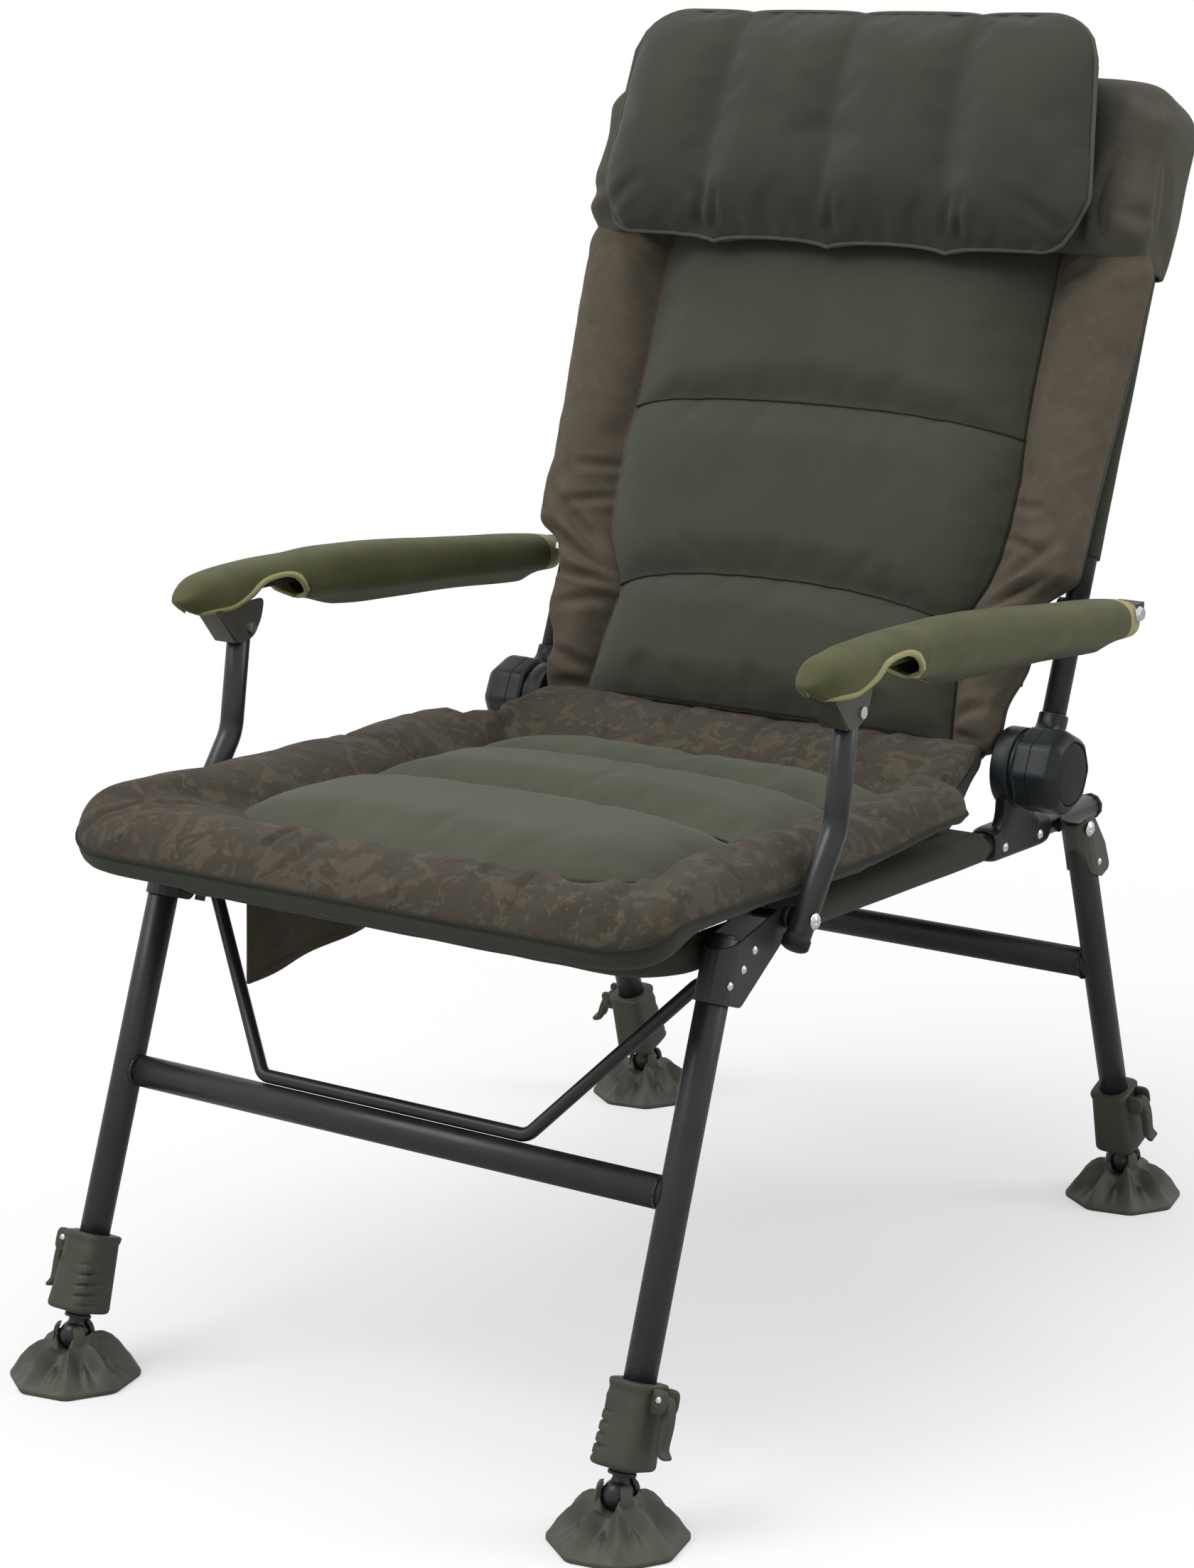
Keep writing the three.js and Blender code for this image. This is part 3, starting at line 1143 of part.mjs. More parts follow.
// Hoop whose foot lies on the crossbar and whose ends bend out below the rails to the brackets
function stayBar() {
  const restZ = -(frontLeg.barDepth - frontLeg.barTall / 2 - stay.radius - gap);
  const tabX = innerWingFrom - gap - stay.tabThickness / 2;
  const half = [
    [tabX, stay.tabY, -stay.tabDepth - stay.endBend],
    [tabX - stay.endBend, stay.crossingY, -stay.crossingDepth],
    [legX - stay.topInset, stay.crossingY, -stay.crossingDepth],
    [legX - stay.cornerInset, frontLeg.tubeOffset, restZ],
  ];
  const route = [
    ...half.slice(1).map(([x, y, z]) => point(x, y, z)),
    ...half.slice(1).reverse().map(([x, y, z]) => point(-x, y, z)),
  ];
  const hoop = tube(route, stay.radius, stay.bend, 3, smallSides);
  const tabs = [-1, 1].map((side) => {
    const low = -stay.crossingDepth - stay.radius;
    const outline = rounded([
      [stay.crossingY - stay.tabWidth / 2, low, stay.tabEdge],
      [stay.crossingY + stay.tabWidth / 2, low, stay.tabEdge],
      [stay.tabY + stay.tabWidth / 2, low + stay.tabLength + stay.radius, stay.tabWidth * 0.45],
      [stay.tabY - stay.tabWidth / 2, low + stay.tabLength + stay.radius, stay.tabWidth * 0.45],
    ]);
    const [from, to] = [tabX - stay.tabThickness / 2, tabX + stay.tabThickness / 2].map((x) => side * x);
    return prism(outline, 'x', Math.min(from, to), Math.max(from, to));
  });
  const stubs = [-1, 1].map((side) => {
    const [from, to] = [tabX - stay.endBend - overrun, tabX].map((x) => side * x);
    return prism(ring(stay.radius * 0.9, smallSides, stay.crossingY, -stay.crossingDepth), 'x', Math.min(from, to),
      Math.max(from, to));
  });
  return carved([hoop, ...tabs, ...stubs]);
}

// Parts at the foot of each leg, drawn about the leg's axis with the ball at zero height

const collarBottom = collar.ballClearance;
const collarTop = collarBottom + collar.length;
const collarDepthShares = [1.15, 0.97];

// Section of the collar, which deepens from front to back towards its lower end
function collarSection(half, z) {
  const deep = half * mix(...collarDepthShares, (z - collarBottom) / collar.length);
  const corners = [[-half, -deep], [half, -deep], [half, deep], [-half, deep]].map(([x, y]) =>
    [x, y, collar.cornerRadius]);
  return rounded(corners, 1).map((spot) => point(spot.x, spot.y, z));
}

const hingeZ = collarTop - collar.hingeDrop;
const hingeX = collar.halfWidth + collar.hingeOut;

function legCollar() {
  const low = collarBottom + collar.flangeLength;
  const top = collarTop - collar.flangeLength;
  const flare = collar.halfWidth + collar.flange;
  const sections = [collarSection(collar.halfWidth - collar.flange, collarBottom), collarSection(collar.halfWidth, low)];
  for (let i = 0; i < collar.ribs; i += 1) {
    const z = low + (i + 0.5) * collar.ribPitch;
    const quarter = collar.ribPitch / 4;
    sections.push(collarSection(collar.halfWidth, z - quarter));
    sections.push(collarSection(collar.halfWidth - collar.ribDepth, z));
    sections.push(collarSection(collar.halfWidth, z + quarter));
  }
  sections.push(collarSection(collar.halfWidth, top), collarSection(flare, top + collar.flange));
  sections.push(collarSection(flare, collarTop));
  const ears = [-1, 1].map((side) => {
    const inner = lever.width / 2 + gap;
    const [from, to] = [side * inner, side * (inner + collar.earThickness)].sort((a, b) => a - b);
    const [near, far] = [collar.halfWidth - overrun, collar.halfWidth + collar.earReach];
    return prism(rounded([
      [hingeZ - collar.earTall / 2, near, 0],
      [hingeZ + collar.earTall / 2, near, 0],
      [hingeZ + collar.earTall / 2, far, collar.earTall * 0.3],
      [hingeZ - collar.earTall / 2, far, collar.earTall * 0.3],
    ], 2), 'y', from, to);
  });
  const tubeBore = prism(ring(leg.radius + gap, tubeSides), 'z', collarTop - collar.grip - gap, collarTop + overrun);
  const innerBore = prism(ring(leg.innerRadius + gap * 2, tubeSides), 'z', collarBottom - overrun, collarTop);
  const earReach = lever.width / 2 + collar.earThickness + overrun;
  const pinHole = prism(ring(holeFor(lever.pinRadius), smallSides, hingeZ, hingeX), 'y', -earReach, earReach);
  const camRoom = prism(ring(holeFor(lever.camRadius), smallSides, hingeZ, hingeX), 'y', -lever.width / 2 - gap,
    lever.width / 2 + gap);
  return carved([loft(sections), ...ears], [tubeBore, innerBore, pinHole, camRoom]);
}

// Cam lever about its own hinge: round cam, bowed handle and a hooked finger end
function camLever() {
  const inner = -(hingeX - collar.halfWidth - gap * 2);
  const outer = inner + lever.thickness;
  const end = -lever.length;
  const cam = prism(ring(lever.camRadius, smallSides), 'y', -lever.width / 2, lever.width / 2);
  const handle = prism(rounded([
    [0, inner + gap, 0],
    [end * 0.55, inner + lever.bow * 0.3, lever.handleRound],
    [end, inner + lever.bow + lever.hook, 0],
    [end * 0.95, inner + lever.bow + lever.hook + lever.thickness * 0.7, lever.tipRound],
    [end * 0.72, outer + lever.bow, lever.elbowRound],
    [end * 0.3, outer + lever.bow * 0.7, lever.handleRound],
    [0, outer, 0],
  ], 1), 'y', -lever.width / 2, lever.width / 2);
  const pinReach = lever.width / 2 + collar.earThickness;
  const pin = prism(ring(lever.pinRadius, smallSides), 'y', -pinReach, pinReach);
  return carved([cam, handle, pin]);
}

function innerLeg() {
  const neckTop = collarBottom - gap;
  const top = collarTop - collar.grip + leg.overlap;
  const rod = prism(ring(leg.innerRadius, tubeSides), 'z', neckTop - overrun / 2, top);
  const neck = turned([
    [0, 0],
    [ball.neckRadius, 0],
    [ball.neckRadius, neckTop - ball.neckLength],
    [leg.innerRadius, neckTop],
    [0, neckTop],
  ], 'z', tubeSides);
  const end = new THREE.SphereGeometry(ball.radius, ball.sides, ball.sides * 0.6).rotateX(Math.PI / 2);
  return carved([rod, neck, end]);
}

// Mud foot about the ball's centre: eight flared lobes, a dished top, and a slotted ball socket
function mudFoot() {
  const floor = -ball.height;
  const points = foot.lobes * 2;
  const wavy = (radius, lobe, z) => Array.from({ length: points }, (_, i) => {
    const swell = i % 2 ? 1 - lobe : 1;
    const angle = (2 * Math.PI * (i + 0.5)) / points;
    return point(radius * swell * Math.cos(angle), radius * swell * Math.sin(angle), z);
  });
  const cupRadius = holeFor(ball.radius) + gap;
  const socketOuter = cupRadius + foot.socketWall;
  const dish = loft([
    wavy(foot.radius - foot.edge / 2, foot.lobeShare, floor),
    wavy(foot.radius, foot.lobeShare, floor + foot.edge * 0.6),
    wavy(foot.radius - foot.edge * 0.4, foot.lobeShare, floor + foot.edge),
    wavy(mix(foot.radius, foot.socketFoot, foot.innerShare), 0, floor + foot.dishHeight * 0.75),
    wavy(foot.socketFoot, 0, floor + foot.dishHeight),
    wavy(socketOuter, 0, floor + foot.dishHeight + foot.edge),
    wavy(socketOuter, 0, foot.socketRise),
  ]);
  const cup = turned([
    [0, -cupRadius],
    [cupRadius * 0.5, -cupRadius * 0.87],
    [cupRadius * 0.87, -cupRadius * 0.5],
    [cupRadius, 0],
    [cupRadius * 0.94, foot.socketRise + overrun],
    [0, foot.socketRise + overrun],
  ], 'z', smallSides);
  const slots = [0, Math.PI / 2].map((turn) =>
    new THREE.BoxGeometry(4 * socketOuter, foot.slotWidth, foot.slotDepth + overrun)
      .translate(0, 0, foot.socketRise - foot.slotDepth / 2 + overrun / 2)
      .rotateZ(turn));
  return carved([dish], [cup, ...slots]);
}

function legSet(name, pivot, details, bracketOutline, look) {
  const frame = groupAt(seat, `${name}_legs`, pivot.y, pivot.z, details.lean);
  const depth = ballDepth(pivot, details);
  piece(frame, `${name}_leg_frame`, legFrame(details, depth), looks.frame);
  bothSides(frame, (half, side) => {
    piece(half, `${name}_leg_bracket_${side}`, legBracket(bracketOutline, details.tubeOffset), look);
    const end = new THREE.Group();
    end.position.set(legX, details.tubeOffset, -depth);
    half.add(end);
    piece(end, `${name}_collar_${side}`, legCollar(), looks.clamp);
    piece(end, `${name}_inner_leg_${side}`, innerLeg(), looks.frame);
    const open = name === 'rear' && side === 'right' ? lever.restOpen : 0;
    const handle = piece(end, `${name}_lever_${side}`, camLever(), looks.clamp);
    handle.position.set(hingeX, 0, hingeZ);
    handle.rotation.y = -open;
    const pad = piece(end, `${name}_foot_${side}`, mudFoot(), looks.clamp);
    pad.rotation.x = -(rail.drop + details.lean);
  });
  return frame;
}

const frontLegs = legSet('front', frontPivot, frontLeg, frontBracketOutline, looks.pressed);
piece(frontLegs, 'stay_bar', stayBar(), looks.frame);
legSet('rear', rearPivot, rearLeg, rearBracketOutline, looks.pressedOlive);

// The origin is on the floor, under the middle of the whole chair
chair.updateMatrixWorld(true);
const extent = new THREE.Box3().setFromObject(chair, true);
const middle = extent.getCenter(new THREE.Vector3());
for (const body of chair.children) body.position.sub(point(middle.x, middle.y, extent.min.z));
chair.updateMatrixWorld(true);

export default chair;
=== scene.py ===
# %% [markdown]
# # A padded fishing recliner
# The real chair is a steel tube frame with two leg frames, a tall padded back on two locking hubs, and covers
# sewn from woven polyester and brushed fleece. The imported solids give the place and motion of each part, and
# this lesson dresses them. First the frame is loaded.

# %% Load the frame
import json
import math
import bmesh
import bpy
import numpy as np
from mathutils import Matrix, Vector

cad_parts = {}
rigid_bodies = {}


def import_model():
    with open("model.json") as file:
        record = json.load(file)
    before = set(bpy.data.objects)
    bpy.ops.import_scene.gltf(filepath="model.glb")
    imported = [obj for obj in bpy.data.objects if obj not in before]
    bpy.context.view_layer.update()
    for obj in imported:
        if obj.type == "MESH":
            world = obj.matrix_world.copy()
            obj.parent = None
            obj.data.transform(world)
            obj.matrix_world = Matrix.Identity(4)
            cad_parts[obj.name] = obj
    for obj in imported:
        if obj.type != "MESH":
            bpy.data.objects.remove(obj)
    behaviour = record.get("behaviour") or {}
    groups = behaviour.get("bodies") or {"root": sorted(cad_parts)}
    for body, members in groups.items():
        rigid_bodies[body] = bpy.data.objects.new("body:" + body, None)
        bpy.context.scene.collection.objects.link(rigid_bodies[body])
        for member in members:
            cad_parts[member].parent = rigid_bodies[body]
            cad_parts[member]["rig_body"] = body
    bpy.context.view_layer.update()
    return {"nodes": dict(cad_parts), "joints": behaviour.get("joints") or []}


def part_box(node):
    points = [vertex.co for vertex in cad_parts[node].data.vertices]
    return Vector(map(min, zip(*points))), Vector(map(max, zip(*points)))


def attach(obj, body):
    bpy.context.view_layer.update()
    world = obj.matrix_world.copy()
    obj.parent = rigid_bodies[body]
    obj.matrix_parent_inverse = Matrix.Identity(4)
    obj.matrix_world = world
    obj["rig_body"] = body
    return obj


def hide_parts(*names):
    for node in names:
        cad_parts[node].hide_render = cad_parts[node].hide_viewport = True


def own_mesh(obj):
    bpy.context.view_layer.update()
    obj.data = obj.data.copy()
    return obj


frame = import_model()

pivots = {joint["child"]: np.array(joint["pos_m"]) for joint in frame["joints"] if "pos_m" in joint}

# %% [markdown]
# The photograph was taken from the front, a little above the seat, by a long lens. Its camera was worked out
# from straight edges of the frame, so the picture's frame is off the lens's axis. Blender says that with a
# lens length on a 36 mm sensor and two shifts, which are shares of the picture's longer side.

# %% The camera
def make_camera():
    data = bpy.data.cameras.new("photo_camera")
    data.lens = 78.29
    data.shift_x = -0.02412
    data.shift_y = -0.0348
    data.clip_end = 100
    camera = bpy.data.objects.new("photo_camera", data)
    camera.location = (1.5602, -2.3535, 1.1453)
    camera.rotation_euler = (math.radians(77.07), 0, math.radians(33.55))
    bpy.context.scene.collection.objects.link(camera)
    bpy.context.scene.camera = camera
    return camera


print("camera at", tuple(make_camera().location))

# %% [markdown]
# Local places make the lesson short: the seat, the back, the armrests, the posts and the legs each have their
# own upright frame in millimetres, as a workshop drawing has. Each is turned about the X axis at its pivot.

# %% Places on the chair
MM = 0.001


def place(origin, degrees):
    """A local point (x, y, z) in mm becomes origin + the point turned about X by the angle, in metres."""
    c, s = math.cos(math.radians(degrees)), math.sin(math.radians(degrees))

    def put(points):
        p = np.asarray(points, float) * MM
        y, z = p[..., 1], p[..., 2]
        return np.stack([p[..., 0], y * c - z * s, y * s + z * c], -1) + origin

    return put


def to_local(values, origin, degrees):
    """World metres back to local millimetres of a place."""
    p = values - origin
    c, s = math.cos(math.radians(degrees)), math.sin(math.radians(degrees))
    return np.stack([p[:, 0], p[:, 1] * c + p[:, 2] * s, -p[:, 1] * s + p[:, 2] * c], -1) / MM


RAIL_DROP, BACK_LEAN, FRONT_LEAN, REAR_LEAN, POST_LEAN = -2.4, -22.0, -20.1, 19.0, -22.46
HUB_YZ = (222.5, 63.4)
hub_at = pivots["back"] * (0, 1, 1)
seat_at = place(np.zeros(3), RAIL_DROP)
seat_origin = hub_at - seat_at((0, *HUB_YZ))
on_seat = place(seat_origin, RAIL_DROP)
on_back = place(hub_at, BACK_LEAN)
front_at = pivots["front_legs"] * (0, 1, 1)
rear_at = pivots["rear_legs"] * (0, 1, 1)
on_front, on_rear = place(front_at, FRONT_LEAN), place(rear_at, REAR_LEAN)
on_post = place(front_at, POST_LEAN)
arm_at = pivots["arm_left"] * (0, 1, 1)
rivet_box = np.array([list(corner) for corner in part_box("armrest_rivet_left")])
rivet_at = rivet_box.mean(0) * (0, 1, 1)
ARM_LENGTH = float(np.linalg.norm(arm_at - rivet_at)) / MM
ARM_LEAN = math.degrees(math.atan2(arm_at[2] - rivet_at[2], arm_at[1] - rivet_at[1]))
on_arm = place(arm_at, ARM_LEAN)
print("seat origin", seat_origin.round(4), "armrest length", round(ARM_LENGTH, 1), "lean", round(ARM_LEAN, 2))

# %% [markdown]
# Light, ground and materials are all trees of nodes, so a few short functions that add one node each come first.
# Patterns read Object coordinates in metres, so a noise scale of 1000 has grains of about a millimetre.

# %% Node tools
def link(tree, source, target):
    tree.links.new(source, target)


def feed(tree, socket, value):
    """Sets a socket to a number or a colour, or links another node's output to it."""
    if isinstance(value, tuple):
        socket.default_value = (*value, 1)
    elif isinstance(value, (int, float)):
        socket.default_value = value
    else:
        link(tree, value, socket)


def new_node(tree, kind, **inputs):
    """A shader node of the kind, its inputs (named with _ for a space) fed with the values."""
    node = tree.nodes.new(f"ShaderNode{kind}")
    for name, value in inputs.items():
        feed(tree, node.inputs[name.replace("_", " ")], value)
    return node


def mapped(tree, turn=0.0):
    """Object coordinates, turned about X by the angle in radians."""
    mapping = new_node(tree, "Mapping", Vector=new_node(tree, "TexCoord").outputs["Object"])
    mapping.inputs["Rotation"].default_value = (turn, 0, 0)
    return mapping.outputs["Vector"]


def noise(tree, vector, scale, detail=2.0, roughness=0.5, distortion=0.0):
    node = new_node(tree, "TexNoise", Vector=vector, Scale=scale, Detail=detail, Roughness=roughness,
                    Distortion=distortion)
    return node.outputs["Fac"]


def waves(tree, vector, scale, direction, distortion=0.0):
    node = new_node(tree, "TexWave", Vector=vector, Scale=scale, Distortion=distortion, Detail=1.0)
    node.bands_direction = direction
    return node.outputs["Fac"]


def arithmetic(tree, operation, a, b):
    node = new_node(tree, "Math")
    node.operation = operation
    for socket, value in zip(node.inputs, (a, b)):
        feed(tree, socket, value)
    return node.outputs[0]


def spread(tree, value, low, high, to_low=0.0, to_high=1.0):
    """The value's range from low to high, stretched to the range from to_low to to_high."""
    return new_node(tree, "MapRange", Value=value, From_Min=low, From_Max=high, To_Min=to_low,
                    To_Max=to_high).outputs["Result"]


def mixed(tree, share, a, b):
    """A colour from a to b by the share. A colour is three numbers or another node's output."""
    node = new_node(tree, "Mix")
    node.data_type = "RGBA"
    for number, value in ((0, share), (6, a), (7, b)):
        feed(tree, node.inputs[number], value)
    return node.outputs[2]


def mixed_shader(tree, share, a, b, target):
    """Links a mix of two shaders, from a to b by the share, to the target's first input."""
    node = new_node(tree, "MixShader")
    for socket, value in zip(node.inputs, (share, a.outputs[0], b.outputs[0])):
        link(tree, value, socket)
    link(tree, node.outputs[0], tree.nodes[target].inputs[0])


def bump(tree, shader, height, distance, strength=1.0):
    node = new_node(tree, "Bump", Distance=distance, Strength=strength, Height=height)
    link(tree, node.outputs["Normal"], shader.inputs["Normal"])


def darker(color, share):
    return tuple(channel * share for channel in color)


print("node tools ready")

# %% [markdown]
# Light and ground come before materials, so that every colour is judged in the same light. A white world gives
# even light, a large soft lamp from the upper left gives the shading of the photograph, and the ground is white
# with a soft shadow that fades to full white away from the chair. The camera sees the world at full white, and the
# object gets a lower level.

# %% Light and ground
WORLD_LIGHT = 0.62
GROUND_SEEN, GROUND_LIT = (0.93, 0.93, 0.93), (0.6, 0.6, 0.6)
SHADOW_RADIUS, WHITE_RADIUS, LEAST_WHITE = 0.5, 1.6, 0.45


def make_world():
    world = bpy.data.worlds.new("studio")
    bpy.context.scene.world = world
    world.use_nodes = True
    tree = world.node_tree
    lit = tree.nodes["Background"]
    lit.inputs["Color"].default_value = (1, 1, 1, 1)
    lit.inputs["Strength"].default_value = WORLD_LIGHT
    seen = new_node(tree, "Background", Color=(1, 1, 1), Strength=1.0)
    rays = new_node(tree, "LightPath").outputs
    through = arithmetic(tree, "MAXIMUM", rays["Is Transmission Ray"], rays["Is Glossy Ray"])
    mixed_shader(tree, arithmetic(tree, "MAXIMUM", rays["Is Camera Ray"], through), lit, seen, "World Output")


def make_floor(half=40):
    mesh = bpy.data.meshes.new("floor")
    mesh.from_pydata([(-half, -half, 0), (half, -half, 0), (half, half, 0), (-half, half, 0)], [], [(0, 1, 2, 3)])
    floor = bpy.data.objects.new("floor", mesh)
    bpy.context.scene.collection.objects.link(floor)
    material = bpy.data.materials.new("floor_white")
    material.use_nodes = True
    tree = material.node_tree
    shaded = tree.nodes["Principled BSDF"]
    shaded.inputs["Roughness"].default_value = 0.9
    by_camera = new_node(tree, "LightPath").outputs["Is Camera Ray"]
    link(tree, mixed(tree, by_camera, GROUND_LIT, GROUND_SEEN), shaded.inputs["Base Color"])
    away = tree.nodes.new("ShaderNodeVectorMath")
    away.operation = "LENGTH"
    link(tree, new_node(tree, "TexCoord").outputs["Object"], away.inputs[0])
    white = spread(tree, away.outputs["Value"], SHADOW_RADIUS, WHITE_RADIUS, LEAST_WHITE)
    mixed_shader(tree, arithmetic(tree, "MULTIPLY", white, by_camera), shaded, new_node(tree, "Emission"),
                 "Material Output")
    mesh.materials.append(material)


def lamp(name, at, towards, size, power):
    data = bpy.data.lights.new(name, "AREA")
    data.shape = "RECTANGLE"
    data.size, data.size_y = size
    data.energy = power
    item = bpy.data.objects.new(name, data)
    item.location = at
    item.rotation_euler = (Vector(towards) - Vector(at)).to_track_quat("-Z", "Y").to_euler()
    bpy.context.scene.collection.objects.link(item)


bpy.context.scene.view_settings.view_transform = "Standard"
make_world()
make_floor()
lamp("key", (-1.6, -2.3, 3.3), (0, 0, 0.5), (2.2, 1.6), 66)
lamp("rim", (2.6, 1.4, 2.2), (0, 0, 0.6), (1.2, 2.0), 26)
lamp("top", (0.0, -0.2, 3.4), (0, 0, 0.4), (1.6, 1.6), 26)

# %% [markdown]
# Materials are node trees with the grain that each real surface shows: paint has a faint orange peel, moulded
# plastic a fine spark-eroded grain, woven polyester a weave and a tonal camouflage of three close browns,
# and fleece a nap that catches light.

# %% Material tools
def start_material(name, color, roughness, metallic=0.0, **sockets):
    material = bpy.data.materials.new(name)
    material.use_nodes = True
    shader = material.node_tree.nodes["Principled BSDF"]
    shader.inputs["Base Color"].default_value = (*color, 1)
    shader.inputs["Roughness"].default_value = roughness
    shader.inputs["Metallic"].default_value = metallic
    for socket, value in sockets.items():
        shader.inputs[socket.replace("_", " ")].default_value = value
    return material, material.node_tree, shader


def color_from(tree, shader, color, roughness=None):
    """Gives the shader a base colour, and a roughness if there is one, from other nodes."""
    link(tree, color, shader.inputs["Base Color"])
    if roughness is not None:
        link(tree, roughness, shader.inputs["Roughness"])


print("material tools ready")

# %% [markdown]
# Paint and plastic: on the real frame the powder coat is dark gunmetal with soft highlights and a few rubbed
# spots, the pressed plates are flatter, and the plastics are matte with a fine grain.

# %% Paint, steel and plastic
def paint(name, color, roughness=0.4, metallic=0.35, worn=0.25):
    material, tree, shader = start_material(name, color, roughness, metallic, Coat_Weight=0.12, Coat_Roughness=0.25,
                                            Specular_IOR_Level=0.4)
    vector = mapped(tree)
    broad = noise(tree, vector, 35, 4, 0.6)
    fine = noise(tree, vector, 1100, 2)
    shade = mixed(tree, spread(tree, broad, 0.35, 0.7), darker(color, 0.86), darker(color, 1.16))
    scuff = spread(tree, noise(tree, vector, 90, 6, 0.75, 0.6), 0.66, 0.74, 0.0, worn)
    color_from(tree, shader, mixed(tree, scuff, shade, darker(color, 2.1)),
               spread(tree, broad, 0.3, 0.7, roughness - 0.06, roughness + 0.08))
    bump(tree, shader, fine, 0.00004, 0.5)
    return material


def plastic(name, color, roughness=0.5, grain=700, depth=0.00008, specular=0.3):
    material, tree, shader = start_material(name, color, roughness, Specular_IOR_Level=specular)
    vector = mapped(tree)
    broad = noise(tree, vector, 25, 3, 0.6)
    color_from(tree, shader, mixed(tree, spread(tree, broad, 0.35, 0.7), darker(color, 0.88), darker(color, 1.15)),
               spread(tree, broad, 0.3, 0.7, roughness - 0.05, roughness + 0.08))
    bump(tree, shader, noise(tree, vector, grain, 3, 0.6), depth, 0.6)
    return material


def plated(name, color, roughness=0.28):
    material, tree, shader = start_material(name, color, roughness, 1.0)
    vector = mapped(tree)
    link(tree, spread(tree, noise(tree, vector, 220, 4), 0.3, 0.7, roughness - 0.08, roughness + 0.12),
         shader.inputs["Roughness"])
    bump(tree, shader, noise(tree, vector, 900, 2), 0.00003, 0.4)
    return material


frame_paint = paint("gunmetal_paint", (0.019, 0.022, 0.022), 0.42)
post_paint = paint("post_paint", (0.028, 0.031, 0.031), 0.34, 0.45)
pressed_paint = paint("pressed_paint", (0.02, 0.023, 0.022), 0.5, 0.2)
olive_paint = paint("olive_pressed_paint", (0.058, 0.056, 0.043), 0.5, 0.15)
zinc = plated("zinc_plate", (0.6, 0.61, 0.61))
hub_plastic = plastic("hub_plastic", (0.009, 0.012, 0.014), 0.4, specular=0.3)
cap_plastic = plastic("cap_plastic", (0.016, 0.013, 0.011), 0.55, specular=0.2)
# The feet share the collars' olive grey plastic, but their colour is raised by half: painted light, for the
# highlights on the feet's ridges.
foot_plastic = plastic("foot_plastic", (0.075, 0.073, 0.058), 0.5)
collar_plastic = plastic("collar_plastic", (0.05, 0.05, 0.037), 0.5)
print("hard finishes", [m.name for m in bpy.data.materials])

# %% [markdown]
# Cloth: the border cloth is a dense plain weave printed with a quiet camouflage. Three noises, each cut at a
# level, give blotches of close browns, which is how a printed pattern of a few inks is laid down. The fleece
# has no pattern, only nap. The neoprene of the armrests has a fine jersey rib.

# %% Cloth
def weave_height(tree, vector, scale, across, along):
    """The height of a plain weave: the larger of two trains of ridges that cross at right angles."""
    return arithmetic(tree, "MAXIMUM", *[waves(tree, vector, scale, way, 0.4) for way in (across, along)])


def woven(name, color, light, dark, camouflage, turn=0.0, plane=("X", "Y"), roughness=0.82):
    material, tree, shader = start_material(name, color, roughness, Sheen_Weight=0.06, Sheen_Roughness=0.5,
                                            Specular_IOR_Level=0.15)
    vector = mapped(tree, turn)
    blotch = spread(tree, noise(tree, vector, 34, 3.5, 0.62, 1.1), 0.53, 0.57, 0.0, camouflage)
    shadow = spread(tree, noise(tree, vector, 21, 3, 0.6, 0.8), 0.55, 0.6, 0.0, camouflage)
    fleck = spread(tree, noise(tree, vector, 75, 3, 0.6, 0.9), 0.58, 0.62, 0.0, camouflage * 0.8)
    ground = mixed(tree, shadow, color, dark)
    print_color = mixed(tree, fleck, mixed(tree, blotch, ground, light), darker(light, 1.15))
    dust = spread(tree, noise(tree, vector, 9, 4, 0.6), 0.35, 0.7)
    weave = weave_height(tree, vector, 320, *plane)
    threads = mixed(tree, spread(tree, weave, 0.2, 1.0), darker(color, 0.82), darker(color, 1.2))
    dust_share = spread(tree, dust, 0.0, 1.0, 0.0, 0.25)
    color_from(tree, shader, mixed(tree, dust_share, mixed(tree, 0.3, print_color, threads), darker(color, 1.25)))
    height = arithmetic(tree, "ADD", weave, arithmetic(tree, "MULTIPLY", noise(tree, vector, 60, 3, 0.5), 1.2))
    bump(tree, shader, height, 0.00018, 0.7)
    return material


def fleece(name, color, turn=0.0, plane=("X", "Y")):
    material, tree, shader = start_material(name, color, 0.95, Sheen_Weight=0.12, Sheen_Roughness=0.45,
                                            Specular_IOR_Level=0.12)
    vector = mapped(tree, turn)
    nap = noise(tree, vector, 950, 3, 0.7)
    knit = weave_height(tree, vector, 230, *plane)
    stroke = spread(tree, noise(tree, vector, 14, 4, 0.6, 0.5), 0.3, 0.72)
    shade = mixed(tree, stroke, darker(color, 0.84), darker(color, 1.14))
    grain = arithmetic(tree, "ADD", *[arithmetic(tree, "MULTIPLY", *pair) for pair in ((nap, 0.65), (knit, 0.35))])
    color_from(tree, shader, mixed(tree, spread(tree, grain, 0.35, 0.75, 0.0, 0.6), shade, darker(color, 1.45)))
    bump(tree, shader, grain, 0.0003, 0.6)
    return material


def neoprene(name, color):
    material, tree, shader = start_material(name, color, 0.7, Sheen_Weight=0.08, Sheen_Roughness=0.4,
                                            Specular_IOR_Level=0.2)
    vector = mapped(tree)
    rib = waves(tree, vector, 420, "Y", 0.3)
    broad = spread(tree, noise(tree, vector, 22, 4, 0.6), 0.3, 0.72)
    color_from(tree, shader, mixed(tree, broad, darker(color, 0.85), darker(color, 1.2)))
    height = arithmetic(tree, "ADD", rib, arithmetic(tree, "MULTIPLY", noise(tree, vector, 700, 2), 0.8))
    bump(tree, shader, height, 0.00015, 0.55)
    return material


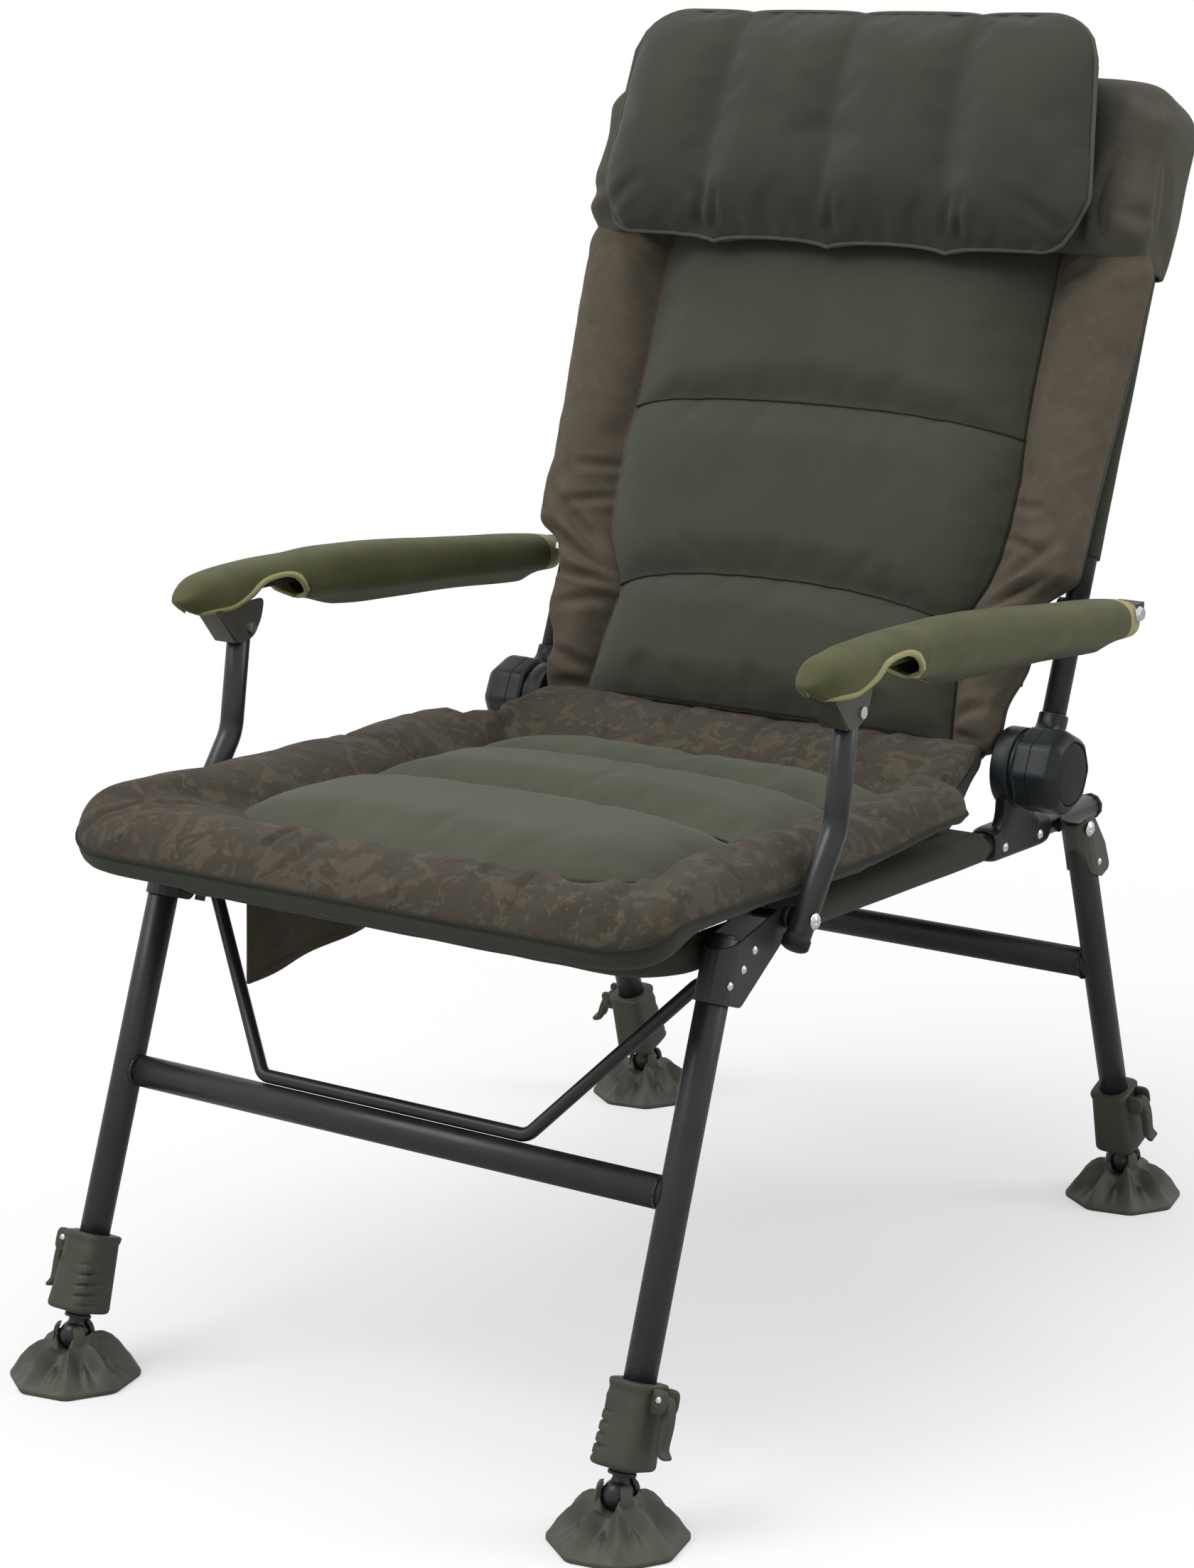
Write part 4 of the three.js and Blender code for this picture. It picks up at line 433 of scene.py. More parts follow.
BROWN, TAN, UMBER = (0.086, 0.072, 0.051), (0.15, 0.128, 0.088), (0.054, 0.044, 0.031)
UPRIGHT = (-math.radians(BACK_LEAN), ("X", "Z"))
# The seat's border is the back's brown cloth with its three colours darkened to 0.62, 0.7 and 0.56: painted shade,
# a shaded copy for a border whose faces turn up to the lamps.
seat_border_cloth_shaded = woven("seat_border_cloth_shaded", darker(BROWN, 0.62), darker(TAN, 0.7), darker(UMBER, 0.56), 0.7)
back_border_cloth = woven("back_border_cloth", BROWN, (0.105, 0.09, 0.063), (0.066, 0.055, 0.039), 0.5,
                          *UPRIGHT)
hood_cloth = woven("hood_cloth", (0.064, 0.061, 0.047), (0.075, 0.07, 0.053), (0.054, 0.05, 0.039), 0.4, *UPRIGHT)
seat_fleece = fleece("seat_fleece", (0.068, 0.07, 0.05))
back_fleece = fleece("back_fleece", (0.054, 0.056, 0.042), *UPRIGHT)
pillow_fleece = fleece("pillow_fleece", (0.044, 0.046, 0.036), *UPRIGHT)
# The slings' dark olive cloth. Below the cushions' piping, its darkness is partly painted shade for the borders'
# shaded undersides.
sling_cloth = woven("sling_cloth", (0.034, 0.036, 0.026), (0.039, 0.041, 0.03), (0.028, 0.03, 0.022), 0.3)
arm_neoprene = neoprene("arm_neoprene", (0.076, 0.078, 0.033))
binding_tape = woven("binding_tape", (0.33, 0.31, 0.15), (0.36, 0.33, 0.16), (0.29, 0.27, 0.13), 0.3)
dark_tape = woven("dark_tape", (0.02, 0.021, 0.016), (0.024, 0.025, 0.02), (0.016, 0.017, 0.013), 0.3)
pillow_tape = woven("pillow_tape", (0.075, 0.082, 0.066), (0.08, 0.087, 0.07), (0.065, 0.07, 0.056), 0.3)
thread = plastic("thread", (0.03, 0.03, 0.024), 0.7, 2500)
pocket_cloth = woven("pocket_cloth", (0.056, 0.047, 0.031), (0.075, 0.063, 0.043), (0.042, 0.035, 0.024), 0.5, 0,
                     ("Y", "Z"))
FRAME, HUB, CAP = (frame_paint, "frame_paint"), (hub_plastic, "hub_plastic"), (cap_plastic, "cap_plastic")
COLLAR, FOOT = (collar_plastic, "foot_plastic"), (foot_plastic, "foot_plastic")
OLIVE, SLING = (olive_paint, "pressed_olive"), (sling_cloth, "sling_cloth")
print("cloths", [m.name for m in bpy.data.materials][-11:])

# %% [markdown]
# Every new piece is a surface worked out with numpy: rows of points on a grid, joined by quads. A grid may be
# closed round its rows, as a tube is, and its two ends may be closed by a cap. One function turns such a grid
# into a mesh, and one sweeps a flat outline along a bent path.

# %% Mesh tools
def unit(vectors):
    """Vectors of length one."""
    vectors = np.asarray(vectors, float)
    return vectors / np.linalg.norm(vectors, axis=-1, keepdims=True)


def round_angles(count):
    """Equal steps once round, in radians."""
    return np.linspace(0, 2 * np.pi, count, endpoint=False)


def read_vertices(mesh, what="co"):
    """The places (co) or the normals (normal) of a mesh's vertices, as rows of three."""
    values = np.empty(len(mesh.vertices) * 3)
    mesh.vertices.foreach_get(what, values)
    return values.reshape(-1, 3)


def set_vertices(mesh, values):
    mesh.vertices.foreach_set("co", np.asarray(values, float).ravel())
    mesh.update()


def evaluated(piece):
    return piece.evaluated_get(bpy.context.evaluated_depsgraph_get())


def add_mesh(name, points, faces, body, material, smooth=True, zones=None):
    """Puts points in metres and faces (quads, or triangles where the last two corners agree) in a new piece."""
    mesh = bpy.data.meshes.new(name)
    mesh.from_pydata(np.asarray(points, float).tolist(), [], [list(dict.fromkeys(f)) for f in faces])
    mesh.polygons.foreach_set("use_smooth", np.full(len(mesh.polygons), smooth))
    mesh.materials.append(material)
    if zones is not None:
        mesh.polygons.foreach_set("material_index", np.asarray(zones, np.int32))
    piece = bpy.data.objects.new(name, mesh)
    bpy.context.scene.collection.objects.link(piece)
    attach(piece, body)
    return piece


def grid_faces(rows, columns, closed=True, start=0):
    """Quads between neighbouring rows of a grid that is numbered row by row, joined round if closed."""
    r, c = np.meshgrid(np.arange(rows - 1), np.arange(columns if closed else columns - 1), indexing="ij")
    a = start + r * columns + c
    b = start + r * columns + (c + 1) % columns
    return np.stack([a, b, b + columns, a + columns], -1).reshape(-1, 4)


def closed_grid(grid):
    """Points and faces of rows of rings, with a fan over each end."""
    rows, columns = grid.shape[:2]
    points = np.concatenate([grid.reshape(-1, 3), grid[[0, -1]].mean(1)])
    faces = grid_faces(rows, columns)
    n = rows * columns
    i = np.arange(columns)
    j = (i + 1) % columns
    low = np.stack([np.full(columns, n), j, i, i], -1)
    last = n - columns
    high = np.stack([np.full(columns, n + 1), last + i, last + j, last + j], -1)
    return points, np.concatenate([faces, low, high])


def outward(piece):
    """Turns the faces of a closed piece so that its enclosed volume counts as positive."""
    shape = bmesh.new()
    shape.from_mesh(piece.data)
    if shape.calc_volume(signed=True) < 0:
        bmesh.ops.reverse_faces(shape, faces=shape.faces)
    shape.to_mesh(piece.data)
    shape.free()
    return piece


def sharpen(piece, degrees):
    """Marks edges between faces that meet at more than the angle as sharp, so that they keep a crisp light."""
    piece.data.set_sharp_from_angle(angle=math.radians(degrees))


def skin(name, grid, put, body, material, slot, angle=None):
    """A closed piece from rows of rings in local millimetres."""
    points, faces = closed_grid(np.asarray(grid, float))
    piece = outward(add_mesh(name, put(points), faces, body, material))
    if angle:
        sharpen(piece, angle)
    return piece


def circle(radius, sides, squash=1.0, power=2.0):
    """A ring x = r cos(t), y = r sin(t), made squarer by raising the sines to 2 / power."""
    t = round_angles(sides)
    c, s = np.cos(t), np.sin(t)
    e = 2 / power
    return np.stack([radius * np.sign(c) * np.abs(c) ** e, radius * squash * np.sign(s) * np.abs(s) ** e], -1)


def bent_path(corners, radius, steps=10):
    """The stations and directions of a path through its corners, each corner an arc of the bend radius."""
    corners = np.asarray(corners, float)
    spots, ways = [corners[0]], [unit(corners[1] - corners[0])]
    for before, corner, after in zip(corners[:-2], corners[1:-1], corners[2:]):
        a, b = unit(corner - before), unit(after - corner)
        turn = math.acos(np.clip(a @ b, -1, 1))
        side = unit(b - a * math.cos(turn))
        start = corner - a * radius * math.tan(turn / 2)
        angle = np.linspace(0, turn, steps + 1)[:, None]
        spots += list(start + a * radius * np.sin(angle) + side * radius * (1 - np.cos(angle)))
        ways += list(a * np.cos(angle) + side * np.sin(angle))
    return np.array(spots + [corners[-1]]), np.array(ways + [unit(corners[-1] - corners[-2])])


def sweep(spots, ways, outline, across):
    """Rings of an outline (u, v) along a path: u runs along `across`, v along direction x across."""
    across = np.broadcast_to(np.asarray(across, float), ways.shape)
    across = unit(across - ways * (across * ways).sum(-1, keepdims=True))
    up = np.cross(ways, across)
    outline = np.asarray(outline, float)
    if outline.ndim == 2:
        outline = np.broadcast_to(outline, (len(spots), *outline.shape))
    return spots[:, None] + outline[..., :1] * across[:, None] + outline[..., 1:] * up[:, None]


def tube(name, corners, radius, put, body, material, slot, bend=0.0, across=(1, 0, 0), sides=28, squash=1.0):
    """A round tube along a bent path, with a small rounding at each end."""
    spots, ways = bent_path(corners, bend) if bend else bent_path(corners, 1e-6, 1)
    ring = circle(radius, sides, squash)
    grid = sweep(spots, ways, ring, across)

    def rounded_end(i, sign):
        return [spots[i] + (grid[i] - spots[i]) * share + sign * ways[i] * radius * lift
                for share, lift in ((0.55, 0.12), (0.9, 0.08))]

    rows = np.concatenate([rounded_end(0, -1), grid, rounded_end(-1, 1)[::-1]])
    return skin(name, rows, put, body, material, slot)


def lathe(profile, sides, axis="z"):
    """Rings about the axis, one for each (radius, height) pair of the profile."""
    profile = np.asarray(profile, float)
    t = round_angles(sides)
    across, up, along = {"x": (1, 2, 0), "y": (2, 0, 1), "z": (0, 1, 2)}[axis]
    grid = np.zeros((len(profile), sides, 3))
    grid[..., across] = profile[:, :1] * np.cos(t)
    grid[..., up] = profile[:, :1] * np.sin(t)
    grid[..., along] = profile[:, 1:]
    return grid


def turned(name, profile, axis, centre, put, body, material, slot, sides=40, angle=None):
    """A piece from a profile turned about an axis through the centre."""
    return skin(name, lathe(profile, sides, axis) + np.asarray(centre, float), put, body, material, slot, angle)


def wrapped(name, grid, body, material, slot):
    """A closed ring of rings, such as a bead, a piping or a hollow collar, from points in metres."""
    rows, columns = grid.shape[:2]
    r, c = np.meshgrid(np.arange(rows), np.arange(columns), indexing="ij")
    after, beside = (r + 1) % rows, (c + 1) % columns
    corners = [r * columns + c, r * columns + beside, after * columns + beside, after * columns + c]
    faces = np.stack(corners, -1).reshape(-1, 4)
    return outward(add_mesh(name, grid.reshape(-1, 3), faces.tolist(), body, material))


def rope_loop(name, line, radius, body, material, slot, sides=8):
    """A cord or piping sewn along a closed line of points in metres: a ring of points round each of them."""
    line = np.asarray(line, float)
    ways = unit(np.roll(line, -1, 0) - np.roll(line, 1, 0))
    middle = line - line.mean(0)
    across = np.cross(ways, np.linalg.svd(middle, full_matrices=False)[2][2])
    return wrapped(name, sweep(line, ways, circle(radius * MM, sides), across), body, material, slot)


def mirrored(grid, side):
    """The same rows on the other side of the chair, for side -1."""
    return np.asarray(grid, float) * (side, 1, 1)


SIDES = (("left", 1), ("right", -1))
print("mesh tools ready")

# %% [markdown]
# The cushions come next, as they are most of what one sees. A cushion here is sewn from a border that runs round
# it and a centre panel with channels. Its skin is laid out as a seamstress would: rings of the border from the
# outer piping to the inner seam, and a grid of the panel whose lines follow the channel seams. So each seam is
# a line of the mesh, and stays sharp when the cloth is blown up between the seams by Blender's Cloth.

# %% Cushion tools
def smoothstep(value, low, high):
    t = np.clip((value - low) / (high - low), 0, 1)
    return t * t * (3 - 2 * t)


def puff(share, power=3.0):
    """The rise of a stuffed channel: 1 - |2s - 1|^power, which is 0 on its seams and 1 in its middle."""
    return 1 - np.abs(2 * np.clip(share, 0, 1) - 1) ** power


def ripple(points, scale, seed):
    """Smooth deterministic waves: a sum of six sines over directions drawn from a seeded generator."""
    rng = np.random.default_rng(seed)
    ways = unit(rng.normal(size=(6, 3))) * rng.uniform(0.6, 1.6, (6, 1))
    return np.sin(points @ ways.T / scale + rng.uniform(0, 2 * np.pi, 6)).mean(-1)


def loop_of(inner):
    """The numbers of an inner grid's rim, counted round: along the front, up the left side, and back."""
    rows, columns = inner.shape[:2]
    n = np.arange(rows * columns).reshape(rows, columns)
    return np.concatenate([n[0, :-1], n[:-1, -1], n[-1, :0:-1], n[:0:-1, 0]])


def cushion_mesh(border, inner, under, base):
    """Joins border rings (outer to inner), the panel grid, under rings (outer to inner) and the base grid.

    The first border ring is shared by top and under side. The last rings are the rims of the two grids.
    Gives the points, the quads, and for each quad 0 on the border, 1 on the panel and 2 below the piping."""
    rim = loop_of(inner)
    count = len(rim)
    rings = border[:-1].reshape(-1, 3)
    panel_start = len(rings)
    low_start = panel_start + inner.shape[0] * inner.shape[1]
    low_rings = under[1:-1].reshape(-1, 3)
    base_start = low_start + len(low_rings)
    points = np.concatenate([rings, inner.reshape(-1, 3), low_rings, base.reshape(-1, 3)])

    def belts(ids):
        ids = np.asarray(ids)
        nxt = np.roll(ids, -1, 1)
        return np.stack([ids[:-1], nxt[:-1], nxt[1:], ids[1:]], -1).reshape(-1, 4)

    top = [np.arange(count) + i * count for i in range(len(border) - 1)] + [panel_start + rim]
    low = [np.arange(count)] + [low_start + np.arange(count) + i * count for i in range(len(under) - 2)]
    low = low + [base_start + rim]
    panel = grid_faces(*inner.shape[:2], closed=False, start=panel_start)
    floor = grid_faces(*inner.shape[:2], closed=False, start=base_start)[:, ::-1]
    belts_top, belts_low = belts(top), belts(low)[:, ::-1]
    faces = np.concatenate([belts_top, panel, belts_low, floor])
    zones = np.full(len(faces), 2)
    zones[:len(belts_top)] = 0
    zones[len(belts_top):len(belts_top) + len(panel)] = 1
    return points, faces, zones, panel_start


def inflate(piece, sewn, cap, pressure, slack, frames=20):
    """Blows the cloth up between its sewn points, and lets no point move further than the cap in mm."""
    rest = read_vertices(piece.data)
    group = piece.vertex_groups.new(name="sewn")
    group.add([int(i) for i in sewn], 1.0, "REPLACE")
    cloth = piece.modifiers.new("cloth", "CLOTH")
    settings = cloth.settings
    settings.quality = 6
    settings.mass = 0.25
    settings.tension_stiffness = 12
    settings.compression_stiffness = 4
    settings.shear_stiffness = 4
    settings.bending_stiffness = 0.35
    settings.vertex_group_mass = group.name
    settings.use_pressure = True
    settings.uniform_pressure_force = pressure
    settings.shrink_min = -slack
    settings.effector_weights.gravity = 0
    cloth.point_cache.frame_start, cloth.point_cache.frame_end = 1, frames
    for number in range(1, frames + 1):
        bpy.context.scene.frame_set(number)
    shift = read_vertices(evaluated(piece).data) - rest
    piece.modifiers.remove(cloth)
    bpy.context.scene.frame_set(1)
    length = np.linalg.norm(shift, axis=1, keepdims=True)
    shift *= np.minimum(1, cap * MM / np.maximum(length, 1e-9))
    set_vertices(piece.data, rest + shift)
    piece.vertex_groups.remove(group)
    print(piece.name, "cloth moved up to", round(float(length.max() / MM), 1), "mm, capped at", cap)
    return piece


def refine(piece):
    """One level of subdivision, applied, so that creases can be pressed into the finer mesh."""
    modifier = piece.modifiers.new("refine", "SUBSURF")
    modifier.levels = modifier.render_levels = 1
    fine = bpy.data.meshes.new_from_object(evaluated(piece))
    piece.modifiers.clear()
    old = piece.data
    name = old.name
    piece.data = fine
    bpy.data.meshes.remove(old)
    fine.name = name
    return piece


def creased(local, lines):
    """How far each point sinks, in mm: depth * exp(-(d / width)^2) beside each line, with a low ridge along it.

    Each line is (start, end, width, depth) on the plan of the cushion, and fades towards both of its ends."""
    sink = np.zeros(len(local))
    for start, end, width, depth in lines:
        start, end = np.array(start, float), np.array(end, float)
        along = (local - start) @ (end - start) / ((end - start) @ (end - start))
        nearest = start + np.clip(along, 0, 1)[:, None] * (end - start)
        away = np.linalg.norm(local - nearest, axis=1)
        wander = 1 + 0.25 * ripple(np.pad(local, ((0, 0), (0, 1))), 14, 3)
        fade = np.sin(np.pi * np.clip(along, 0.02, 0.98)) ** 0.6
        ridge = 0.45 * np.exp(-(((away - 2 * width) / width) ** 2))
        sink += depth * fade * (np.exp(-((away / (width * wander)) ** 2)) - ridge)
    return sink


def sewn_cover(name, points, faces, zones, body, material, slot, rim_count, seams, panel_end, **air):
    """A closed cover whose rim, seams and lower side are held while its Cloth is blown up, then made finer."""
    piece = outward(add_mesh(name, points, faces.tolist(), body, material, zones=zones))
    low = np.arange(panel_end, len(points))
    inflate(piece, np.unique(np.concatenate([np.arange(rim_count), *seams, low])), **air)
    refine(piece)
    return piece


def press(piece, sink_of, origin, degrees):
    """Moves each point inwards by the mm that sink_of gives for its local place."""
    points, normals = read_vertices(piece.data), read_vertices(piece.data, "normal")
    sink = sink_of(to_local(points, origin, degrees))
    set_vertices(piece.data, points - normals * (sink * MM)[:, None])


def panel_skin(piece, name, material, lift=0.5, thickness=1.4):
    """A cloth of its own over the panel zone of a cushion: its faces, moved out by the lift, given a thickness."""
    mesh = piece.data
    zones = np.empty(len(mesh.polygons), np.int32)
    mesh.polygons.foreach_get("material_index", zones)
    corners = np.empty(len(mesh.loops), np.int32)
    mesh.loops.foreach_get("vertex_index", corners)
    quads = corners.reshape(-1, 4)[zones == 1]
    used, numbers = np.unique(quads, return_inverse=True)
    points = read_vertices(mesh)[used] + read_vertices(mesh, "normal")[used] * lift * MM
    panel = add_mesh(name, points, numbers.reshape(-1, 4).tolist(), piece["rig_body"], material)
    wall = panel.modifiers.new("wall", "SOLIDIFY")
    wall.thickness = thickness * MM
    wall.offset = -1
    mesh.polygons.foreach_set("material_index", (zones == 2).astype(np.int32))
    return panel


print("cushion tools ready")

# %% [markdown]
# The seat cushion: its outline narrows at the back to pass the hubs, its front corners are round, and three
# channels cross its centre panel. The seams between the channels bow, and the panel's front corners are
# round. Below the piping, the underside and the front band are of the darker sling cloth, whose darkness there
# is partly the sling's own colour and partly painted shade for the border's shaded underside.

# %% Seat cushion
SEAT = dict(front=-415, rear=208, half=286, corner=(60, 40), waist=(54, 124), waist_half=236, rear_half=226,
            panel=200, seam=46.5, tongue=65.0, base=14.2)


def resample(corners, counts):
    """Points along a chain of straight sides, each side cut into its own number of equal steps."""
    corners = np.asarray(corners, float)
    sides = [a + (b - a) * np.arange(n)[:, None] / n for a, b, n in zip(corners[:-1], corners[1:], counts)]
    return np.concatenate([*sides, corners[-1:]])


def channel_line(x, sides_y, bow, power=2.2):
    """A seam across the panel: at sides_y by the border, and further back by the bow in the middle."""
    return sides_y + bow * (1 - (np.abs(x) / SEAT["panel"]) ** power)


def seat_lines(x):
    """The y of the front seam, the two channel seams and the rear seam at each x."""
    reach = np.abs(x) / SEAT["panel"]
    front = -327 + 48 * reach ** 7
    rear = 112 - 30 * reach ** 6
    return np.stack([front, channel_line(x, -146, 42), channel_line(x, 10, 26), rear])


def front_corner(first, last, steps):
    """The rounded front corner on the right: an ellipse quarter, from the side (0 degrees) to the front (90)."""
    angle = np.radians(np.linspace(first, last, steps + 1))
    across, deep = SEAT["corner"]
    centre = (SEAT["half"] - across, SEAT["front"] + deep)
    return np.stack([centre[0] + across * np.cos(angle), centre[1] - deep * np.sin(angle)], -1)


def seat_outline(columns, count_y):
    """The piping's plan, counted as the panel's rim is: front, right side, rear, left side."""
    turn = front_corner(90, 45, 5)
    middle = resample([turn[0] * (-1, 1), turn[0]], [columns - 10])[1:-1]
    front = np.concatenate([turn[::-1] * (-1, 1), middle, turn])
    y = np.linspace(SEAT["front"] + SEAT["corner"][1], SEAT["waist"][0], count_y - 15)
    waist_y = np.linspace(*SEAT["waist"], 8)
    narrow = SEAT["half"] - (SEAT["half"] - SEAT["waist_half"]) * smoothstep(waist_y, *SEAT["waist"])
    end = resample([(SEAT["waist_half"], SEAT["waist"][1]), (SEAT["rear_half"], SEAT["rear"] - 8)], [4])
    side = np.concatenate([front_corner(45, 0, 5)[:-1], np.stack([np.full(len(y), SEAT["half"]), y], -1)[:-1],
                           np.stack([narrow, waist_y], -1)[:-1], end])
    back = resample([(SEAT["rear_half"], SEAT["rear"] - 8), (SEAT["rear_half"] - 10, SEAT["rear"]),
                     (-SEAT["rear_half"] + 10, SEAT["rear"]), (-SEAT["rear_half"], SEAT["rear"] - 8)],
                    (2, columns - 4, 2))
    return np.concatenate([front[:-1], side[:-1], back[:-1], (side * (-1, 1))[:0:-1]])


def seat_under(outline):
    """The height of the cushion's lower edge: on the sling, and lifted off the leg brackets along the sides."""
    x, y = np.abs(outline[:, 0]), outline[:, 1]
    middle = np.where(y < -348, 10.4, SEAT["base"])
    raised = smoothstep(y, SEAT["front"], -345) - smoothstep(y, 84, 130)
    side = middle + (34 + 12 * smoothstep(y, -150, 62) - middle) * raised + 4.5 * smoothstep(y, 150, 180)
    return np.where(x > 218, side, middle) + 38 * smoothstep(y, 132, 200)


BORDER_AIR = dict(cap=4, pressure=3.0, slack=0.015)
BORDER_SHARES = np.array([0, 0.012, 0.035, 0.07, 0.12, 0.19, 0.27, 0.37, 0.48, 0.6, 0.72, 0.83, 0.92, 0.97, 1.0])


def border_rings(outline, rim, rim_height, seam_height, crown):
    """Rings of a stuffed border from its piping to the inner seam: height = line + rise * puff(share ^ 0.6)."""
    share = BORDER_SHARES[:, None]
    plan = outline[None] * (1 - share[..., None]) + rim[None] * share[..., None]
    line = rim_height + (seam_height - rim_height) * share
    height = line + (crown - (rim_height + seam_height) / 2) * puff(share ** 0.6)
    return np.concatenate([plan, height[..., None]], -1)


def seam_thread(name, piece, seam, lift, body, radius=1.1):
    """A sewn seam's thread: a thin round line that follows the seam's own points, lifted onto the panel's face."""
    points, normals = read_vertices(piece.data)[seam], read_vertices(piece.data, "normal")[seam]
    line = points + normals * lift * MM
    fine = np.linspace(0, len(line) - 1, 160)
    line = np.stack([np.interp(fine, np.arange(len(line)), line[:, i]) for i in range(3)], -1)
    rings = sweep(line, unit(np.gradient(line, axis=0)), circle(radius * MM, 8), (0, 0, 1))
    return skin(name, rings, lambda grid: grid, body, thread, "sling_cloth")


def between(lines, steps):
    """Rows from line to line, each gap cut into its number of equal steps, and each row's share of its gap."""
    lines = np.asarray(lines, float)
    shares = [np.arange(n) / n for n in steps]
    rows = [a + (b - a) * share[:, None] for a, b, share in zip(lines[:-1], lines[1:], shares)]
    return np.concatenate([*rows, lines[-1:]]), np.concatenate([*shares, [0.0]])


UNDER_DROP = np.array([0, 0.45, 0.85, 1, 1, 1])[:, None]


def under_rings(outline, rim, rim_height, low_height, inset):
    """Rings (plan, plan, height) below the piping: down the side, then inwards to the rim by the inset shares."""
    inset = np.array(inset)[:, None, None]
    plan = outline[None] * (1 - inset) + rim[None] * inset
    return np.concatenate([plan, (rim_height * (1 - UNDER_DROP) + low_height * UNDER_DROP)[..., None]], -1)


def held_seams(inner, panel_start, steps):
    """The numbers of the panel grid, and its sewn lines: front, two channels, rear and both sides."""
    ids = panel_start + np.arange(inner[..., 0].size).reshape(inner.shape[:2])
    return ids, [*ids[[0, steps[0], steps[0] + steps[1], -1]], ids[:, 0], ids[:, -1]]


def seat_cushion():
    columns, steps = 54, (20, 20, 14)
    x = np.linspace(-SEAT["panel"], SEAT["panel"], columns + 1)
    rows, along = between(seat_lines(x), steps)
    across = 1 - (np.abs(x) / SEAT["panel"]) ** 7
    crowns = np.repeat((SEAT["tongue"] + 1.5, SEAT["tongue"], SEAT["tongue"] - 3), steps)
    crowns = np.append(crowns, SEAT["tongue"] - 3)[:, None]
    height = SEAT["seam"] + (crowns - SEAT["seam"]) * puff(along, 4.5)[:, None] * across
    inner = np.stack([np.broadcast_to(x, rows.shape), rows, height], -1)
    outline = seat_outline(columns, inner.shape[0] - 1)
    rim = inner.reshape(-1, 3)[loop_of(inner)]
    under_height = seat_under(outline)
    from_ends = smoothstep(outline[:, 1], SEAT["front"], -368) - smoothstep(outline[:, 1], 112, 180)
    risen = smoothstep(outline[:, 1], 100, 196)
    rim_height = np.maximum(28 + 17 * from_ends + 46 * risen, under_height + 7)
    crown = 60 + 12 * from_ends + 15 * risen
    border = border_rings(outline, rim[:, :2], rim_height, SEAT["seam"], crown)
    under = under_rings(outline, rim[:, :2], rim_height, under_height, [0, 0.006, 0.04, 0.12, 0.4, 1.0])
    base = inner.copy()
    base[..., 2] = under[-1, :, 2] = SEAT["base"]
    points, faces, zones, panel_start = cushion_mesh(border, inner, under, base)
    ids, seams = held_seams(inner, panel_start, steps)
    piece = sewn_cover("seat_border", on_seat(points), faces, zones, "seat", seat_border_cloth_shaded, "border_cloth",
                       len(outline), seams, panel_start + ids.size, **BORDER_AIR)
    return piece, seams[1:3], on_seat(np.concatenate([outline, (rim_height + 0.3)[:, None]], -1))


SEAT_CREASES = [
    ((-200, -322), (-268, -408), 3.6, 9), ((-150, -325), (-236, -412), 4, 4), ((150, -340), (156, -414), 3, 5.5),
    ((196, -300), (246, -404), 5, 6), ((112, -345), (118, -412), 4, 2.5), ((-72, -350), (-84, -415), 3, 7),
    ((-40, -352), (-52, -415), 4, 2.5), ((232, -120), (284, -96), 6, 3.5), ((226, 60), (284, 40), 5, 3),
    ((-232, -80), (-284, -60), 6, 3), ((-228, 70), (-280, 96), 6, 4), ((210, 90), (262, 138), 6, 5),
    ((-212, 96), (-262, 138), 6, 5), ((120, 120), (140, 200), 6, 3), ((-60, 122), (-70, 200), 6, 3),
    ((30, 122), (20, 200), 6, 2.5)]


def seat_sink(local):
    """Creases on the border from above its lower edge, and soft waves that are weaker on the panels."""
    x, y, z = local.T
    sink = creased(local[:, :2], SEAT_CREASES) * smoothstep(z, 24, 44)
    outer = smoothstep(np.abs(x), SEAT["panel"] - 2, SEAT["panel"] + 8)
    outer = np.maximum(outer, smoothstep(-y, 322, 334))
    outer = np.maximum(outer, smoothstep(y, 104, 120))
    soft = 1.1 * ripple(local, 19, 11) + 0.7 * ripple(local, 8.5, 12)
    return sink + (soft * outer + 0.45 * ripple(local, 26, 13) * (1 - outer)) * smoothstep(z, 18, 34)


def finish_cushion(name, border, seams, fabric):
    """Gives a pressed border its panels, its underside's cloth and its seams' threads, and replaces the solid."""
    panels = panel_skin(border, f"{name}_panels", fabric)
    # The sling cloth below the piping is partly the sling's own colour and partly painted shade for the border's
    # shaded underside.
    border.data.materials.append(sling_cloth)
    for i, seam in enumerate(seams):
        seam_thread(f"{name}_thread_{i}", border, seam, 1.7, name)
    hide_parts(f"{name}_cushion")
    return panels


seat_border, seat_seams, piping_line = seat_cushion()
press(seat_border, seat_sink, seat_origin, RAIL_DROP)
finish_cushion("seat", seat_border, seat_seams, seat_fleece)
rope_loop("seat_piping", piping_line, 1.7, "seat", dark_tape, "sling_cloth")
print("seat cushion", len(seat_border.data.vertices), "points")

# %% [markdown]
# The back cushion leans with the back, so its plan is (x, height along the back) and its thickness stands forward
# of the sling. Three panels lie one above the other. The middle one is wider than the bottom one, and its lower
# corners are round, so that the border comes in between them at the waist.

# %% Back cushion
BACK = dict(bottom=4, top=600, panel_top=560, seam=20, panel=60, edge=21, base=0.6)


def back_point(plan_x, height, forward):
    """A point of the back in its own frame: forward of the sling is towards -Y."""
    return np.stack(np.broadcast_arrays(plan_x, -np.asarray(forward, float), height), -1)


def back_half(z):
    """Half width of the cushion: hips, waist, then the flare over the armrests' bolts."""
    low = 234.5 + (249 - 234.5) * smoothstep(z, 44, 88)
    flare = low + (281 - low) * smoothstep(z, 138, 168)
    full = flare + (294 - flare) * smoothstep(z, 168, 446)
    return full - 14 * smoothstep(z, 436, 474) - 8 * smoothstep(z, 560, 600)


def panel_half(z):
    """Half width of the centre panels at each height."""
    heights = [0, 60, 104, 118, 134, 152, 176, 205, 245, 291, 330, 600]
    widths = [193, 187, 179, 180, 189, 198, 204, 207, 208, 204, 203, 204]
    return np.interp(z, heights, widths)


